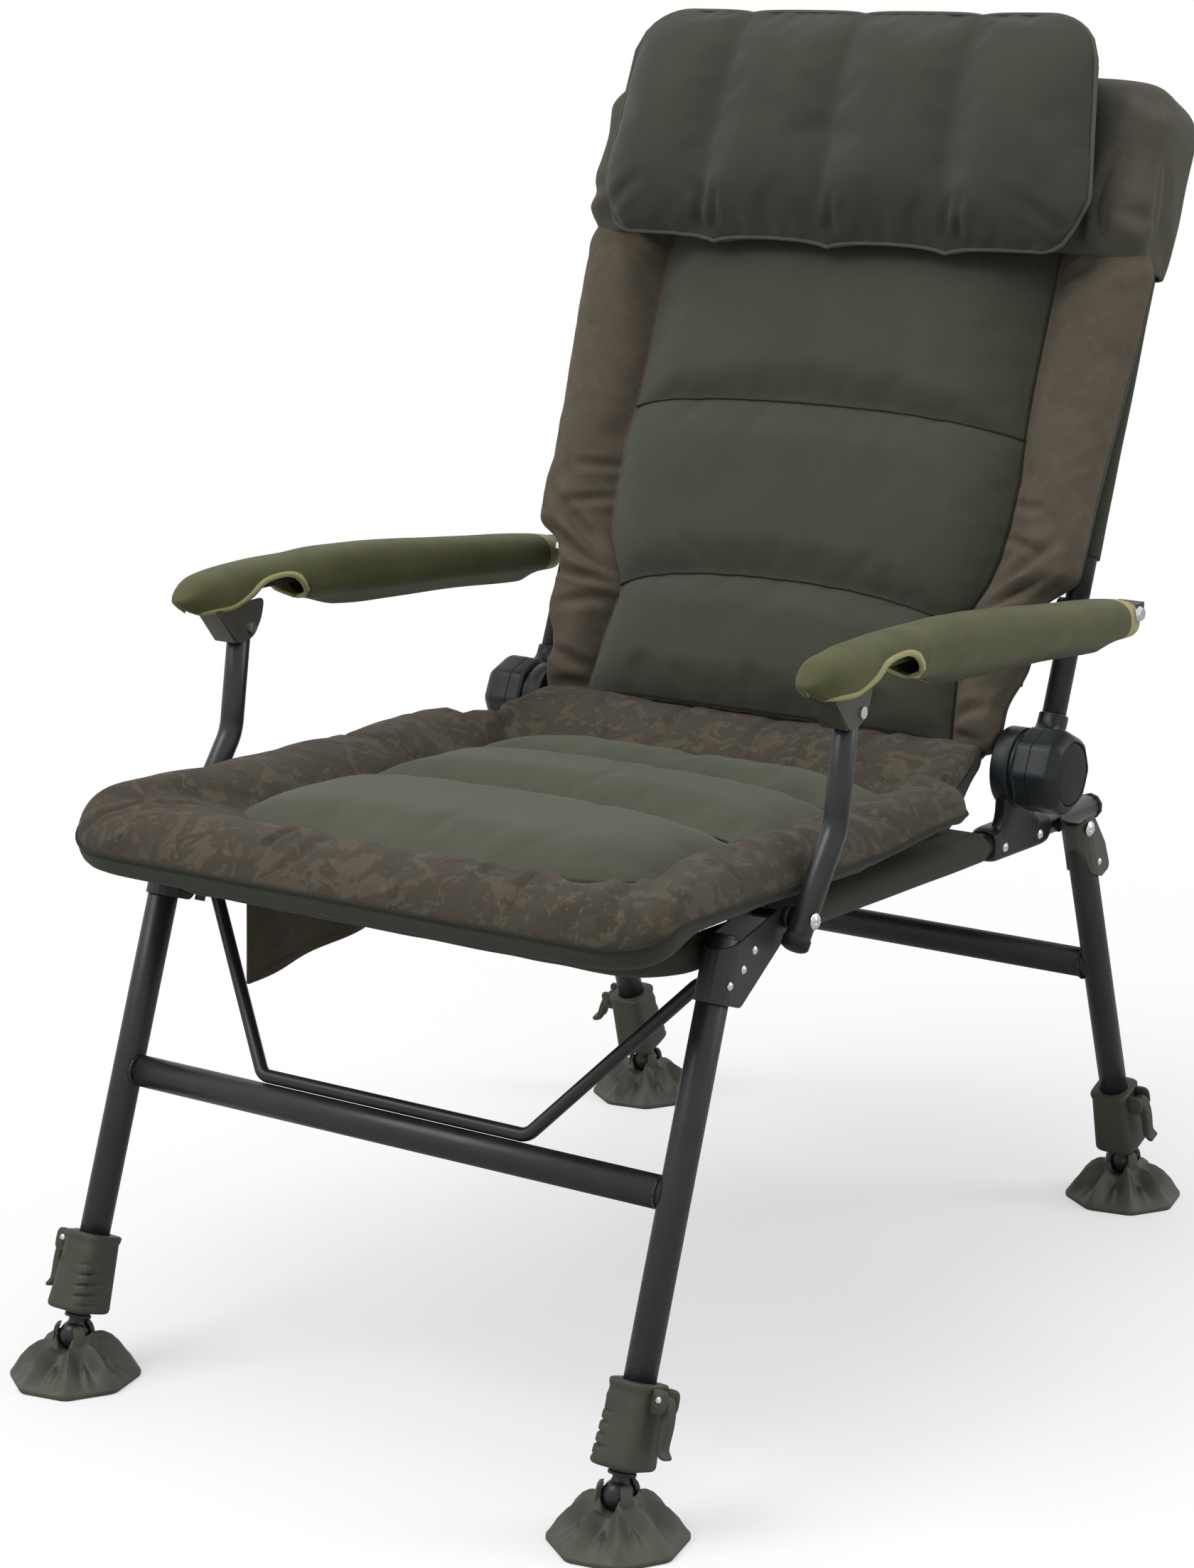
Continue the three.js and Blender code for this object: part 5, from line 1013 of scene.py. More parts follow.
def back_cushion():
    columns, steps = 50, (22, 28, 40)
    across = np.linspace(-1, 1, columns + 1)
    bow = 1 - np.abs(across) ** 2.2
    lines = [9 + 0 * bow, 112 + 19 * bow, 283 + 11 * bow, BACK["panel_top"] + 0 * bow]
    rows = between(lines, steps)[0]
    x = across * panel_half(rows)
    near = np.minimum(np.abs(rows - lines[1]), np.abs(rows - lines[2]))
    along = 1 - 0.3 * np.exp(-(near / 9.0)) - 0.5 * np.exp(-((rows - 9) / 11.0))
    crown = BACK["panel"] - 9 * smoothstep(rows, 420, 460)
    rise = (1 - np.abs(across) ** 6) * along
    inner = back_point(x, rows, BACK["seam"] + (crown - BACK["seam"]) * rise)
    ends = (rows[:, -1] - rows[0, -1]) / (rows[-1, -1] - rows[0, -1])
    side_z = BACK["bottom"] + 5 + (BACK["top"] - BACK["bottom"] - 5) * ends
    side = np.stack([back_half(side_z), side_z], -1)
    low = np.stack([across * (side[0, 0] - 3), np.full(columns + 1, float(BACK["bottom"]))], -1)
    high = np.stack([across * (side[-1, 0] - 3), np.full(columns + 1, BACK["top"] + 4.0)], -1)
    outline = np.concatenate([low[:-1], side[:-1], high[:0:-1], (side * (-1, 1))[:0:-1]])
    rim = inner.reshape(-1, 3)[loop_of(inner)]
    rim_height = np.full(len(rim), float(BACK["edge"]))
    crown_line = 44 - 12 * smoothstep(-outline[:, 1], -30, -4)
    border = border_rings(outline, rim[:, [0, 2]], rim_height, -rim[:, 1], crown_line)
    under = under_rings(outline, rim[:, [0, 2]], rim_height, BACK["base"], [0, 0.03, 0.1, 0.22, 0.5, 1.0])
    border, under = [back_point(*np.moveaxis(rings, -1, 0)) for rings in (border, under)]
    base = inner.copy()
    base[..., 1] = -BACK["base"]
    points, faces, zones, panel_start = cushion_mesh(border, inner, under, base)
    ids, seams = held_seams(inner, panel_start, steps)
    piece = sewn_cover("back_border", on_back(points), faces, zones, "back", back_border_cloth, "border_cloth",
                       len(outline), seams, panel_start + ids.size, **BORDER_AIR)
    return piece, seams[1:3]


BACK_CREASES = [
    ((184, 118), (262, 158), 5, 8), ((182, 112), (244, 118), 4, 6), ((188, 126), (268, 196), 5, 5),
    ((203, 196), (252, 180), 4, 4), ((186, 98), (236, 84), 5, 3.5), ((192, 30), (230, 44), 5, 4),
    ((194, 16), (226, 12), 4, 3.5), ((204, 226), (246, 218), 4, 3), ((206, 424), (250, 446), 6, 4),
    ((205, 440), (236, 452), 4, 3)]


def both_sides(lines):
    """The lines on the right (x < 0), then on the left."""
    return [((side * a[0], a[1]), (side * b[0], b[1]), *rest) for side in (-1, 1) for a, b, *rest in lines]


def back_sink(local):
    """Creases on both sides of the border, and soft waves that are weaker on the panels."""
    x, y, z = local.T
    sink = creased(local[:, [0, 2]], both_sides(BACK_CREASES)) * smoothstep(-y, 8, 26)
    outer = smoothstep(np.abs(x) - panel_half(z), -2, 8)
    soft = 1.2 * ripple(local, 20, 21) + 0.6 * ripple(local, 8.5, 22)
    return sink + (soft * outer + 0.4 * ripple(local, 28, 23) * (1 - outer)) * smoothstep(-y, 6, 20)


back_border, back_seams = back_cushion()
press(back_border, back_sink, hub_at, BACK_LEAN)
back_panels = finish_cushion("back", back_border, back_seams, back_fleece)
print("back cushion", len(back_border.data.vertices), "points")

# %% [markdown]
# The hood slips over the top of the frame and the cushion like a pillowcase: an outer wall, a hem, and an inner
# wall. Its flanks are fuller than its front, and its cloth is creased towards the hem, where it is pulled in.

# %% Hood
def hood_ring(height, half, front, rear, wing, sides=120, power=3.6):
    """A round-cornered box: front face at -front, deeper by the wing beyond x = 225, rear face at +rear. Its rear
    corners are squarer, so that the frame's hoop fits in them."""
    ring = circle(1.0, sides, 1.0, power)
    ring = np.where(ring[:, 1:] < 0, circle(1.0, sides, 1.0, 10.0), ring)
    x = ring[:, 0] * half
    forward = ring[:, 1] * (front + rear) / 2 + (front - rear) / 2
    swell = wing * smoothstep(np.abs(x), 200, 262) * smoothstep(ring[:, 1], -0.4, 0.8)
    return back_point(x, np.full(sides, float(height)), forward + swell)


HOOD_FLANK_CREASES = [
    ((330, 449), (352, 520), 7, 6), ((300, 450), (318, 540), 8, 6), ((345, 455), (322, 490), 6, 5),
    ((352, 560), (330, 596), 7, 5), ((362, 520), (340, 566), 7, 4), ((280, 452), (292, 486), 5, 5),
    ((250, 448), (262, 500), 8, 4), ((310, 600), (345, 560), 6, 4)]
HOOD_REAR_CREASES = [
    ((-200, 450), (-150, 530), 9, 4), ((-90, 448), (-70, 520), 8, 4), ((40, 450), (70, 540), 9, 4.5),
    ((160, 452), (130, 530), 8, 4), ((215, 470), (190, 550), 9, 2.5), ((-225, 480), (-190, 560), 9, 2.5)]


def hood():
    hem, top, wall, round_top = 446.0, 613.0, 3.0, 30.0
    outer = []
    for height in [hem, hem + 2, hem + 6, *np.linspace(hem + 12, top - round_top, 26)]:
        bulge = 1 - abs(2 * (height - hem) / (top - hem) - 1) ** 4
        half = np.interp(height, [446, 500, 567, 590], [286.5, 289, 289.5, 287])
        outer.append((height, half - 1.5 * (1 - bulge), 58 + 4 * bulge, 31 + 3.5 * bulge, 14 * bulge))
    for angle in np.radians([15, 30, 45, 60, 72, 82]):
        inset = round_top * (1 - math.cos(angle))
        height = top - round_top + round_top * math.sin(angle)
        outer.append((height, 287 - 1.6 * inset, 60 - inset, 33 - inset, 11 - inset / 3))
    inner = [(z, half - wall, front - wall, rear - wall, wing)
             for z, half, front, rear, wing in outer if z < top - 14]
    rings = [hood_ring(*row) for row in inner[::-1]] + [hood_ring(*row) for row in outer]
    piece = skin("hood", np.stack(rings), on_back, "back", hood_cloth, "border_cloth")
    refine(piece)
    points, normals = read_vertices(piece.data), read_vertices(piece.data, "normal")
    local = to_local(points, hub_at, BACK_LEAN)
    x, y, z = local.T
    around = np.stack([np.sign(x) * np.abs(x) - 0.9 * y * np.sign(x), z], -1)
    rear = smoothstep(y, 8, 20)
    sink = creased(around, both_sides(HOOD_FLANK_CREASES)) * (1 - rear)
    sink += creased(local[:, [0, 2]], HOOD_REAR_CREASES) * rear
    sink += 1.6 * ripple(local, 24, 31) + 0.8 * ripple(local, 9, 32)
    outside = np.where((normals * (points - points.mean(0))).sum(-1) > 0, 1.0, 0.4)
    set_vertices(piece.data, points - normals * (sink * outside * smoothstep(z, 445, 462) * MM)[:, None])
    return piece


hood_piece = hood()
print("hood", len(hood_piece.data.vertices), "points")

# %% [markdown]
# The headrest pillow has four upright channels. Both of its faces are sewn along a piping, its top corners are
# round, and its seams are held while its Cloth is blown up, so each channel fills out on its own.

# %% Pillow
PILLOW_SEAMS = np.array([-0.5, 0.0, 0.5])


def pillow_plan(across, up):
    """The x and height of a point at shares across (-1 to 1) and up (0 to 1), inside the round-cornered outline."""
    half = np.interp(up, [0, 0.17, 1], [238, 249, 236])
    x = across * half
    corner = np.clip((np.abs(x) - (half - 52)) / 52, 0, 1)
    seam = np.abs(across[..., None] - PILLOW_SEAMS).min(-1)
    top = 644 - 46 * (1 - np.sqrt(1 - corner ** 2 * 0.98)) - 2.5 * np.exp(-(seam / 0.05))
    low_corner = np.clip((np.abs(x) - (half - 26)) / 26, 0, 1)
    low = 438 + 26 * (1 - np.sqrt(1 - low_corner ** 2 * 0.98)) - 6 * np.exp(-(seam / 0.07))
    return x, low + (top - low) * up


def pillow_sink(local):
    """Creases at the lower corners and beside the seams, and a soft wave, on the front face only."""
    lines = [((s * 236, 452), (s * 190, 478), 5, 3) for s in (-1, 1)]
    lines += [((x, 440), (x + 9, 474), 4, 3.5) for x in (-133, -118, 4, 122, 134)]
    sink = creased(local[:, [0, 2]], lines) + 0.7 * ripple(local, 21, 41) + 0.3 * ripple(local, 8, 42)
    return sink * smoothstep(-local[:, 1], 84, 96)


def pillow():
    across = resample([(-1,), (-0.5,), (0,), (0.5,), (1,)], [16] * 4)[:, 0]
    up = 0.5 - 0.5 * np.cos(np.linspace(0.12, np.pi - 0.12, 31))
    up = (up - up[0]) / (up[-1] - up[0])
    a, u = np.meshgrid(across, up)
    x, z = pillow_plan(a, u)
    rim_level = 84 + 17 * u
    channel = np.mod(a * 2 + 2, 1)
    full = (1 - np.abs(2 * u - 1) ** 3.2) * (1 - np.abs(a) ** 14)
    rib = 1 - 0.3 * (1 - puff(channel, 4))
    forward = rim_level + (127 - rim_level) * full * rib
    inner = back_point(x, z, forward)
    rim = inner.reshape(-1, 3)[loop_of(inner)]
    outer_x, outer_z = rim[:, 0] * 1.006, 540 + (rim[:, 2] - 540) * 1.012
    outline = back_point(outer_x, outer_z, -rim[:, 1] - 2)
    border = np.stack([outline, rim])
    rear_face = 64 + 14 * smoothstep(np.abs(x), 212, 236)
    base = back_point(x * 0.985, 540 + (z - 540) * 0.985, np.where(full > 0.02, rear_face, rear_face + 3))
    base_rim = base.reshape(-1, 3)[loop_of(base)]
    under = np.stack([outline, outline * 0.55 + base_rim * 0.45, outline * 0.15 + base_rim * 0.85, base_rim])
    points, faces, _, panel_start = cushion_mesh(border, inner, under, base)
    ids = held_seams(inner, panel_start, (0, 0))[0]
    piece = sewn_cover("headrest_pillow_cover", on_back(points), faces, None, "back", pillow_fleece, "panel_cloth",
                       len(outline), ids.T[[16, 32, 48]], panel_start + ids.size, cap=6, pressure=4.5, slack=0.03)
    press(piece, pillow_sink, hub_at, BACK_LEAN)
    return piece, on_back(outline)


pillow_cover, pillow_line = pillow()
rope_loop("pillow_piping", pillow_line, 2.0, "back", pillow_tape, "panel_cloth")
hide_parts("headrest_pillow")
print("pillow", len(pillow_cover.data.vertices), "points")

# %% [markdown]
# The tubes come next: the seat's U, the back's hoop and the two leg frames. On the real chair they are round
# steel, powder coated, with small weld beads where a bar meets a leg. Each frame is one joined piece, as it is
# welded, so it has one finish.

# %% Frame tubes
def assembled(name, parts, node, angle=None):
    """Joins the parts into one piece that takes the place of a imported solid."""
    bpy.ops.object.select_all(action="DESELECT")
    for part in parts:
        part.select_set(True)
    bpy.context.view_layer.objects.active = parts[0]
    bpy.ops.object.join()
    whole = bpy.context.view_layer.objects.active
    whole.name = whole.data.name = name
    if angle:
        sharpen(whole, angle)
    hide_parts(node)
    return whole


def frame_round(way):
    """The way as a unit vector, and two unit vectors at right angles to it."""
    way = unit(way)
    side = unit(np.cross(way, (0, 0, 1) if abs(way[2]) < 0.9 else (1, 0, 0)))
    return way, side, np.cross(way, side)


def weld(centre, radius, put, body, thick=1.7):
    """A weld bead: a ring of the radius about X, its thickness waving as the torch moved."""
    way, side, up = frame_round((1, 0, 0))
    t, s = round_angles(72), round_angles(8)
    bead = thick * (1 + 0.22 * np.sin(t * 17))
    reach = radius + bead[:, None] * np.cos(s) * 0.8
    ring = reach[..., None] * (np.cos(t)[:, None, None] * side + np.sin(t)[:, None, None] * up)
    grid = np.asarray(centre, float) + ring + (bead[:, None] * np.sin(s))[..., None] * way
    return wrapped("bead", put(grid), body, *FRAME)


def two_sided(half):
    """Corners from the left side (x > 0), then their mirror images in the opposite order."""
    return half + [(-x, y, z) for x, y, z in half[::-1]]


RAIL = dict(x=240.0, front=-335.0, rear=383.0)
BACK_X, TUBE_Y, LOW_BAR = 265.6, 13.1, 178
rail_corners = two_sided([(RAIL["x"], RAIL["rear"], 0), (RAIL["x"], RAIL["front"], 0)])
seat_tube = tube("seat_tube", rail_corners, 11, on_seat, "seat", *FRAME, 44, across=(0, 0, 1), sides=36)
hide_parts("seat_frame")

hoop_corners = two_sided([(BACK_X, TUBE_Y, 39), (BACK_X, TUBE_Y, 588)])
hoop = tube("back_hoop", hoop_corners, 10.5, on_back, "back", *FRAME, 62, across=(0, 1, 0), sides=36)
bar_ends = two_sided([(6 - BACK_X, TUBE_Y, LOW_BAR)])
low_bar = tube("low_bar", bar_ends, 8, on_back, "back", *FRAME, across=(0, 1, 0))
beads = [weld((side * (BACK_X - 10), TUBE_Y, LOW_BAR), 7.6, on_back, "back") for _, side in SIDES]
back_tubes = assembled("back_tubes", [hoop, low_bar, *beads], "back_frame")

LEG_X = 268.5
LEG_PLUG = [(0.01, 3.6), (7, 3.6), (9.6, 2.6), (10.2, 0.4), (10.2, -2)]
BAR_WIDE = 10.0
BALL_HEIGHT = 36
FRONT = dict(at=front_at, put=on_front, offset=-59.2, top=-26, bar=219.6, tall=26, lean=FRONT_LEAN)
REAR = dict(at=rear_at, put=on_rear, offset=3.9, top=-13, bar=150.6, tall=30, lean=REAR_LEAN)
for end in (FRONT, REAR):
    # how far below the pivot, along the leg, the ball of the foot stands
    turn = math.radians(end["lean"])
    end["depth"] = (end["at"][2] / MM + end["offset"] * math.sin(turn) - BALL_HEIGHT) / math.cos(turn)


def leg_frame(name, end):
    """Two tubes with plugs, and a flattened crossbar between them with its weld beads."""
    body, put, y = f"{name}_legs", end["put"], end["offset"]
    low = -(end["depth"] - 84) - 44
    parts = [tube("crossbar", two_sided([(8 - LEG_X, y, -end["bar"])]), BAR_WIDE, put, body, *FRAME,
                  across=(0, 1, 0), sides=40, squash=end["tall"] / 2 / BAR_WIDE)]
    for _, side in SIDES:
        x = side * LEG_X
        parts += [tube("leg", [(x, y, low), (x, y, end["top"])], 12.5, put, body, *FRAME, sides=40),
                  turned("leg_plug", LEG_PLUG, "z", (x, y, end["top"]), put, body, *FRAME),
                  weld((side * (LEG_X - 12.2), y, -end["bar"]), end["tall"] / 2 - 1.2, put, body, 1.5)]
    assembled(f"{name}_leg_tubes", parts, f"{name}_leg_frame")


leg_frame("front", FRONT)
leg_frame("rear", REAR)
print("depth of the feet", round(FRONT["depth"], 1), round(REAR["depth"], 1))

# %% [markdown]
# The stay bar is a thin hoop: its foot lies on the front crossbar, and its ends bend out under the rails and are
# pressed flat where a rivet holds them to the leg brackets. The bent posts stand outside the front brackets.

# %% Stay bar and posts
STAY_RADIUS = 5.5
STAY_REST = -(FRONT["bar"] - FRONT["tall"] / 2 - STAY_RADIUS - 0.3)
STAY_CORNERS = [(253.0, -31, -60), (238, -31, -62), (130, FRONT["offset"], STAY_REST)]


def stay_hoop():
    parts = [tube("stay_rod", two_sided(STAY_CORNERS), STAY_RADIUS, on_front, "front_legs", *FRAME, 13,
                  across=(0, 1, 0), sides=24)]
    for _, side in SIDES:
        rows = []
        for share in np.linspace(0, 1, 12):
            half_y = 5.6 * math.sqrt(max(0.02, 1 - max(0.0, (share - 0.72) / 0.28) ** 2))
            rows.append([(side * (252.6 + dx), -31 + share + dy, -73.5 + 24 * share) for dx, dy in
                         [(-1, -half_y), (1, -half_y), (1, half_y), (-1, half_y)]])
        parts.append(skin("tab", rows, on_front, "front_legs", *FRAME, 40))
    return assembled("stay_hoop", parts, "stay_bar")


POST_X, POST_WAY = 298.8, 19 / 74
POST_FOOT, POST_KNEE = np.array([POST_X, -17 * POST_WAY, -17]), np.array([POST_X, 74 * POST_WAY, 74])
POST_TOP = np.array([POST_X, -3, 168.3])
POST_CAP = [(8.2, 0), (10.2, 1.2), (11, 2.4), (11, 9), (10.3, 9.8)]


def post_piece(name, side):
    """The bent post: its foot at the front pivot is straight for 74 mm, then it leans back to the armrest."""
    mirror = np.array([side, 1, 1])
    body = f"post_{name}"
    rod = tube("post_tube", np.array([POST_FOOT, POST_KNEE, POST_TOP]) * mirror, 10, on_post, body, post_paint,
               "frame_paint", 42, sides=40)
    axis = unit(POST_KNEE - POST_FOOT)
    spots = np.array([POST_FOOT + axis * (height - 7) for _, height in POST_CAP]) * mirror
    rings = sweep(spots, np.broadcast_to(axis * mirror, spots.shape), circle(1.0, 40), (1, 0, 0))
    radii = np.array([radius for radius, _ in POST_CAP])[:, None, None]
    end_cap = skin("post_cap", spots[:, None] + (rings - spots[:, None]) * radii, on_post, body, *CAP)
    return assembled(f"post_{name}_tube", [rod, end_cap], f"armrest_post_{name}")


stay_hoop()
posts = [post_piece(name, side) for name, side in SIDES]
print("posts", [len(p.data.vertices) for p in posts])

# %% [markdown]
# Rivets and screws: the real frame is held by domed rivets and by pan screws with a cross recess. One function
# makes a domed head, and presses a cross into it where it is a screw.

# %% Screws and rivets
DOME_SHARES = np.array([0.999, 0.99, 0.93, 0.84, 0.72, 0.58, 0.44, 0.3, 0.16, 0.02])
BRACKET_X, CLAMP_BOLTS_Y = 283.2, (196, 262)


def head(name, centre, way, radius, tall, put, body, cross=False):
    """A domed head: height = tall * (1 - (r / radius)^2.4), on a flat face that looks along the way."""
    way, side, up = frame_round(way)
    t = round_angles(48)
    plan = DOME_SHARES[:, None, None] * np.stack([np.cos(t), np.sin(t)], -1)
    height = tall * (1 - DOME_SHARES[:, None] ** 2.4) * np.ones(len(t))
    if cross:
        near = np.minimum(np.abs(plan[..., 0]), np.abs(plan[..., 1])) * radius
        reach = np.abs(plan).max(-1)
        slot = smoothstep(-near, -radius * 0.16, -radius * 0.07) * smoothstep(-reach, -0.62, -0.5)
        height = height - tall * 0.6 * slot
    flat = np.asarray(centre, float) + radius * (plan[..., :1] * side + plan[..., 1:] * up)
    rows = np.concatenate([flat[:1] - 0.8 * way, flat + height[..., None] * way])
    return skin(name, rows, put, body, zinc, "bolts", 60)


for name, side in SIDES:
    out = (side, 0, 0)
    for i, y in enumerate(CLAMP_BOLTS_Y):
        head(f"hub_screw_{name}_{i}", (side * 253.0, y, -3), out, 4.4, 2.0, on_seat, "seat", True)
    for i, (y, z) in enumerate(((-36, -30), (-47, -46), (-62, -60))):
        head(f"bracket_rivet_{name}_{i}", (side * BRACKET_X, y, z), out, 3.4, 1.5, on_front, "front_legs")
    head(f"stay_rivet_{name}", (side * 251.5, -30, -54), (-side, 0, 0), 3.4, 1.6, on_front, "front_legs")
    head(f"rear_rivet_{name}", (side * BRACKET_X, 9, -40), out, 3.2, 1.4, on_rear, "rear_legs")

# %% [markdown]
# Each leg ends in a clamp collar, a cam lever, a telescopic inner leg with a ball, and a mud foot. On the real
# chair the three plastic parts are moulded in an olive grey. The collar is a hollow rounded box that deepens
# towards the ground, with finger ribs on one corner. It is a section carried down the leg and back up its bore.

# %% Clamp collar
def at_end(end, side):
    """The place of a leg's end: z along the leg from the ball's centre, x outwards, mirrored for side -1."""
    def put(points):
        return end["put"](np.asarray(points, float) * (side, 1, 1) + (side * LEG_X, end["offset"], -end["depth"]))

    return put


COLLAR_HEIGHTS = np.array([19.8, 20.4, 21.8, 24, *np.linspace(26, 60, 36), 62, 66, 70, 74, 77, 78.6, 80, 82.6, 83.6,
                           84])
COLLAR_HALF = ([19.8, 20.4, 21.8, 24, 77, 80, 82.6, 83.6, 84], [16.9, 18.4, 19.5, 19.9, 17.5, 18.3, 18.5, 18, 17.2])
COLLAR_BORE = [(13.0, 84.0), (12.9, 82), (12.9, 40.3), (10.6, 40), (10.5, 24), (10.7, 20.6), (13.5, 19.7)]


def collar_grid(deeper, sides=72):
    """Rings (half * cos, half * sin) with a power of 5. They grow towards the ground, more so on one side."""
    halves = np.interp(COLLAR_HEIGHTS, *COLLAR_HALF)
    ring = circle(1.0, sides, 1.0, 5.0)
    grid = halves[:, None, None] * ring
    z = np.broadcast_to(COLLAR_HEIGHTS[:, None], grid.shape[:2]).copy()
    down = (84 - z) / 66
    grid[..., 1] *= 1 + 0.2 * down ** 1.2 * (ring[:, 1] * deeper > 0)
    along, outwards = ring[:, 0], ring[:, 1] * deeper
    grip = smoothstep(-along, 0.35, 0.6) * smoothstep(outwards, -0.2, 0.5)
    groove = np.maximum(0, np.cos(2 * np.pi * (z + 5 * along - 22) / 8.6)) ** 3
    groove = groove * smoothstep(z, 24, 29) * smoothstep(-z, -66, -58)
    arch = np.exp(-(((z - 71 + 16 * np.maximum(0, along + 0.1) ** 2) / 1.5) ** 2)) * smoothstep(outwards, 0.3, 0.8)
    grid *= (1 - (1.7 * groove * grip - 0.8 * arch) / 18)[..., None]
    return np.concatenate([np.concatenate([grid, z[..., None]], -1), lathe(COLLAR_BORE, sides)])


def ear_block(side_y):
    """One of the two ears that hold the lever's pin: a rounded plate on the collar's outer face."""
    plan = circle(1.0, 40, 1.0, 2 / 0.6) * (7.6, 9.4) + (23.6, 73.6)
    middle = plan.mean(0)
    rows = []
    for depth, share in ((6.8, 0.94), (7.2, 1), (9.6, 1), (10.2, 0.93)):
        flat = middle + (plan - middle) * share
        rows.append(np.stack([flat[:, 0], np.full(40, side_y * depth), flat[:, 1]], -1))
    return rows


def clamp_collar(name, end, side_name, side):
    deeper = -1 if name == "front" else 1
    body, put = f"{name}_legs", at_end(end, side)
    parts = [wrapped("collar", put(collar_grid(deeper)), body, *COLLAR)]
    parts += [skin("ear", ear_block(way), put, body, *COLLAR) for way in (1, -1)]
    head(f"{name}_hinge_screw_{side_name}", (24.4, deeper * 10.1, 75), (0, deeper, 0), 2.7, 1.2, put, body, True)
    return assembled(f"{name}_clamp_{side_name}", parts, f"{name}_collar_{side_name}", 50)


ENDS = [(name, end, *side) for name, end in (("front", FRONT), ("rear", REAR)) for side in SIDES]
clamps = [clamp_collar(*row) for row in ENDS]
print("clamp collars", len(clamps))

# %% [markdown]
# The cam lever is a bowed bar with a flared tip: its outline, a rounded rectangle with a hollow along its outer
# face, is carried down a curved path. The rear right one stands open in the photograph, so it is turned first.

# %% Cam lever
LEVER_OPEN = math.radians(29)
LEVER_PIN = (24.6, 71)
LEVER_PATH = [(25.8, 77.5), (27.6, 74.5), (29, 69), (29.8, 62), (30.2, 55.5), (30, 49), (29.6, 43), (30, 39),
              (32.4, 35.6), (35.8, 33.6)]
LEVER_WIDE = ([0, 0.06, 0.2, 0.6, 0.86, 0.96, 1], [4.2, 5.8, 6.3, 5.8, 6.6, 7, 5.4])
LEVER_THICK = ([0, 0.08, 0.3, 0.7, 0.9, 1], [2.2, 3.5, 4.1, 3.5, 2.4, 1.1])
CAM_PROFILE = [(0.01, -6.5), (5.6, -6.5), (6.3, -5.9), (6.3, 5.9), (5.6, 6.5), (0.01, 6.5)]
PIN_PROFILE = [(0.01, -10.8), (2.2, -10.8), (2.2, 10.8), (0.01, 10.8)]


def lever_grid():
    path = np.array(LEVER_PATH)
    share, fine = np.linspace(0, 1, len(path)), np.linspace(0, 1, 40)
    spots = np.stack([np.interp(fine, share, path[:, 0]), np.zeros(40), np.interp(fine, share, path[:, 1])], -1)
    for _ in range(3):
        spots[1:-1] = (spots[:-2] + 2 * spots[1:-1] + spots[2:]) / 4
    ring = circle(1.0, 40, 1.0, 4.0)
    sizes = np.stack([np.interp(fine, *LEVER_WIDE), np.interp(fine, *LEVER_THICK)], -1)
    outline = ring[None] * sizes[:, None]
    hollow = np.exp(-((ring[:, 0] / 0.42) ** 4)) * smoothstep(-ring[:, 1], 0.2, 0.8)
    outline[..., 1] += hollow * 1.3 * (smoothstep(fine, 0.14, 0.24) - smoothstep(fine, 0.78, 0.9))[:, None]
    return sweep(spots, unit(np.gradient(spots, axis=0)), outline, (0, 1, 0))


def swung(grid, angle):
    """Turns rows about the lever's pin, outwards from the leg by the angle."""
    c, s = math.cos(angle), math.sin(angle)
    x, z = grid[..., 0] - LEVER_PIN[0], grid[..., 2] - LEVER_PIN[1]
    return np.stack([LEVER_PIN[0] + x * c - z * s, grid[..., 1], LEVER_PIN[1] + x * s + z * c], -1)


def cam_lever(name, end, side_name, side):
    body, put = f"{name}_cam_{side_name}", at_end(end, side)
    angle = LEVER_OPEN if (name, side_name) == ("rear", "right") else 0.0
    pin_at = (LEVER_PIN[0], 0, LEVER_PIN[1])
    parts = [skin("handle", swung(lever_grid(), angle), put, body, *COLLAR),
             turned("cam", CAM_PROFILE, "y", pin_at, put, body, *COLLAR, angle=40),
             turned("pin", PIN_PROFILE, "y", pin_at, put, body, *COLLAR, 20, 40)]
    return assembled(f"{name}_cam_handle_{side_name}", parts, f"{name}_lever_{side_name}", 45)


levers = [cam_lever(*row) for row in ENDS]
print("levers", len(levers))

# %% [markdown]
# The inner leg is one turned profile: the ball, a thin neck, a ferrule and the rod that slides in the leg.

# %% Inner leg with its ball
BALL_RADIUS = 12
SHIN_PROFILE = [(7.3, 10.2), (6.7, 11.2), (6.7, 13.6), (8.6, 13.9), (10.6, 14.3), (10.9, 14.9), (10.9, 16.6),
                (10.3, 17.2), (9.8, 17.5), (9.8, 252), (9.2, 254.4), (8, 255), (0.01, 255)]


def inner_leg(name, end, side_name, side):
    ball = [(BALL_RADIUS * math.cos(a), BALL_RADIUS * math.sin(a)) for a in np.radians(np.linspace(-89, 52, 24))]
    rod = turned(f"{name}_shin_rod_{side_name}", ball + SHIN_PROFILE, "z", (0, 0, 0), at_end(end, side),
                 f"{name}_shin_{side_name}", *FRAME, 40, 50)
    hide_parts(f"{name}_inner_leg_{side_name}")
    return rod


shins = [inner_leg(*row) for row in ENDS]
print("inner legs", len(shins))

# %% [markdown]
# The mud foot is a thin moulded dish. Eight ridges rise from its rim to the socket with hollow facets between
# them, so its height is a blend of a full profile and a hollow one, by how near the angle is to a ridge. Three
# hooked clips stand round the ball, with a wide gap in front, where the ball can be seen.

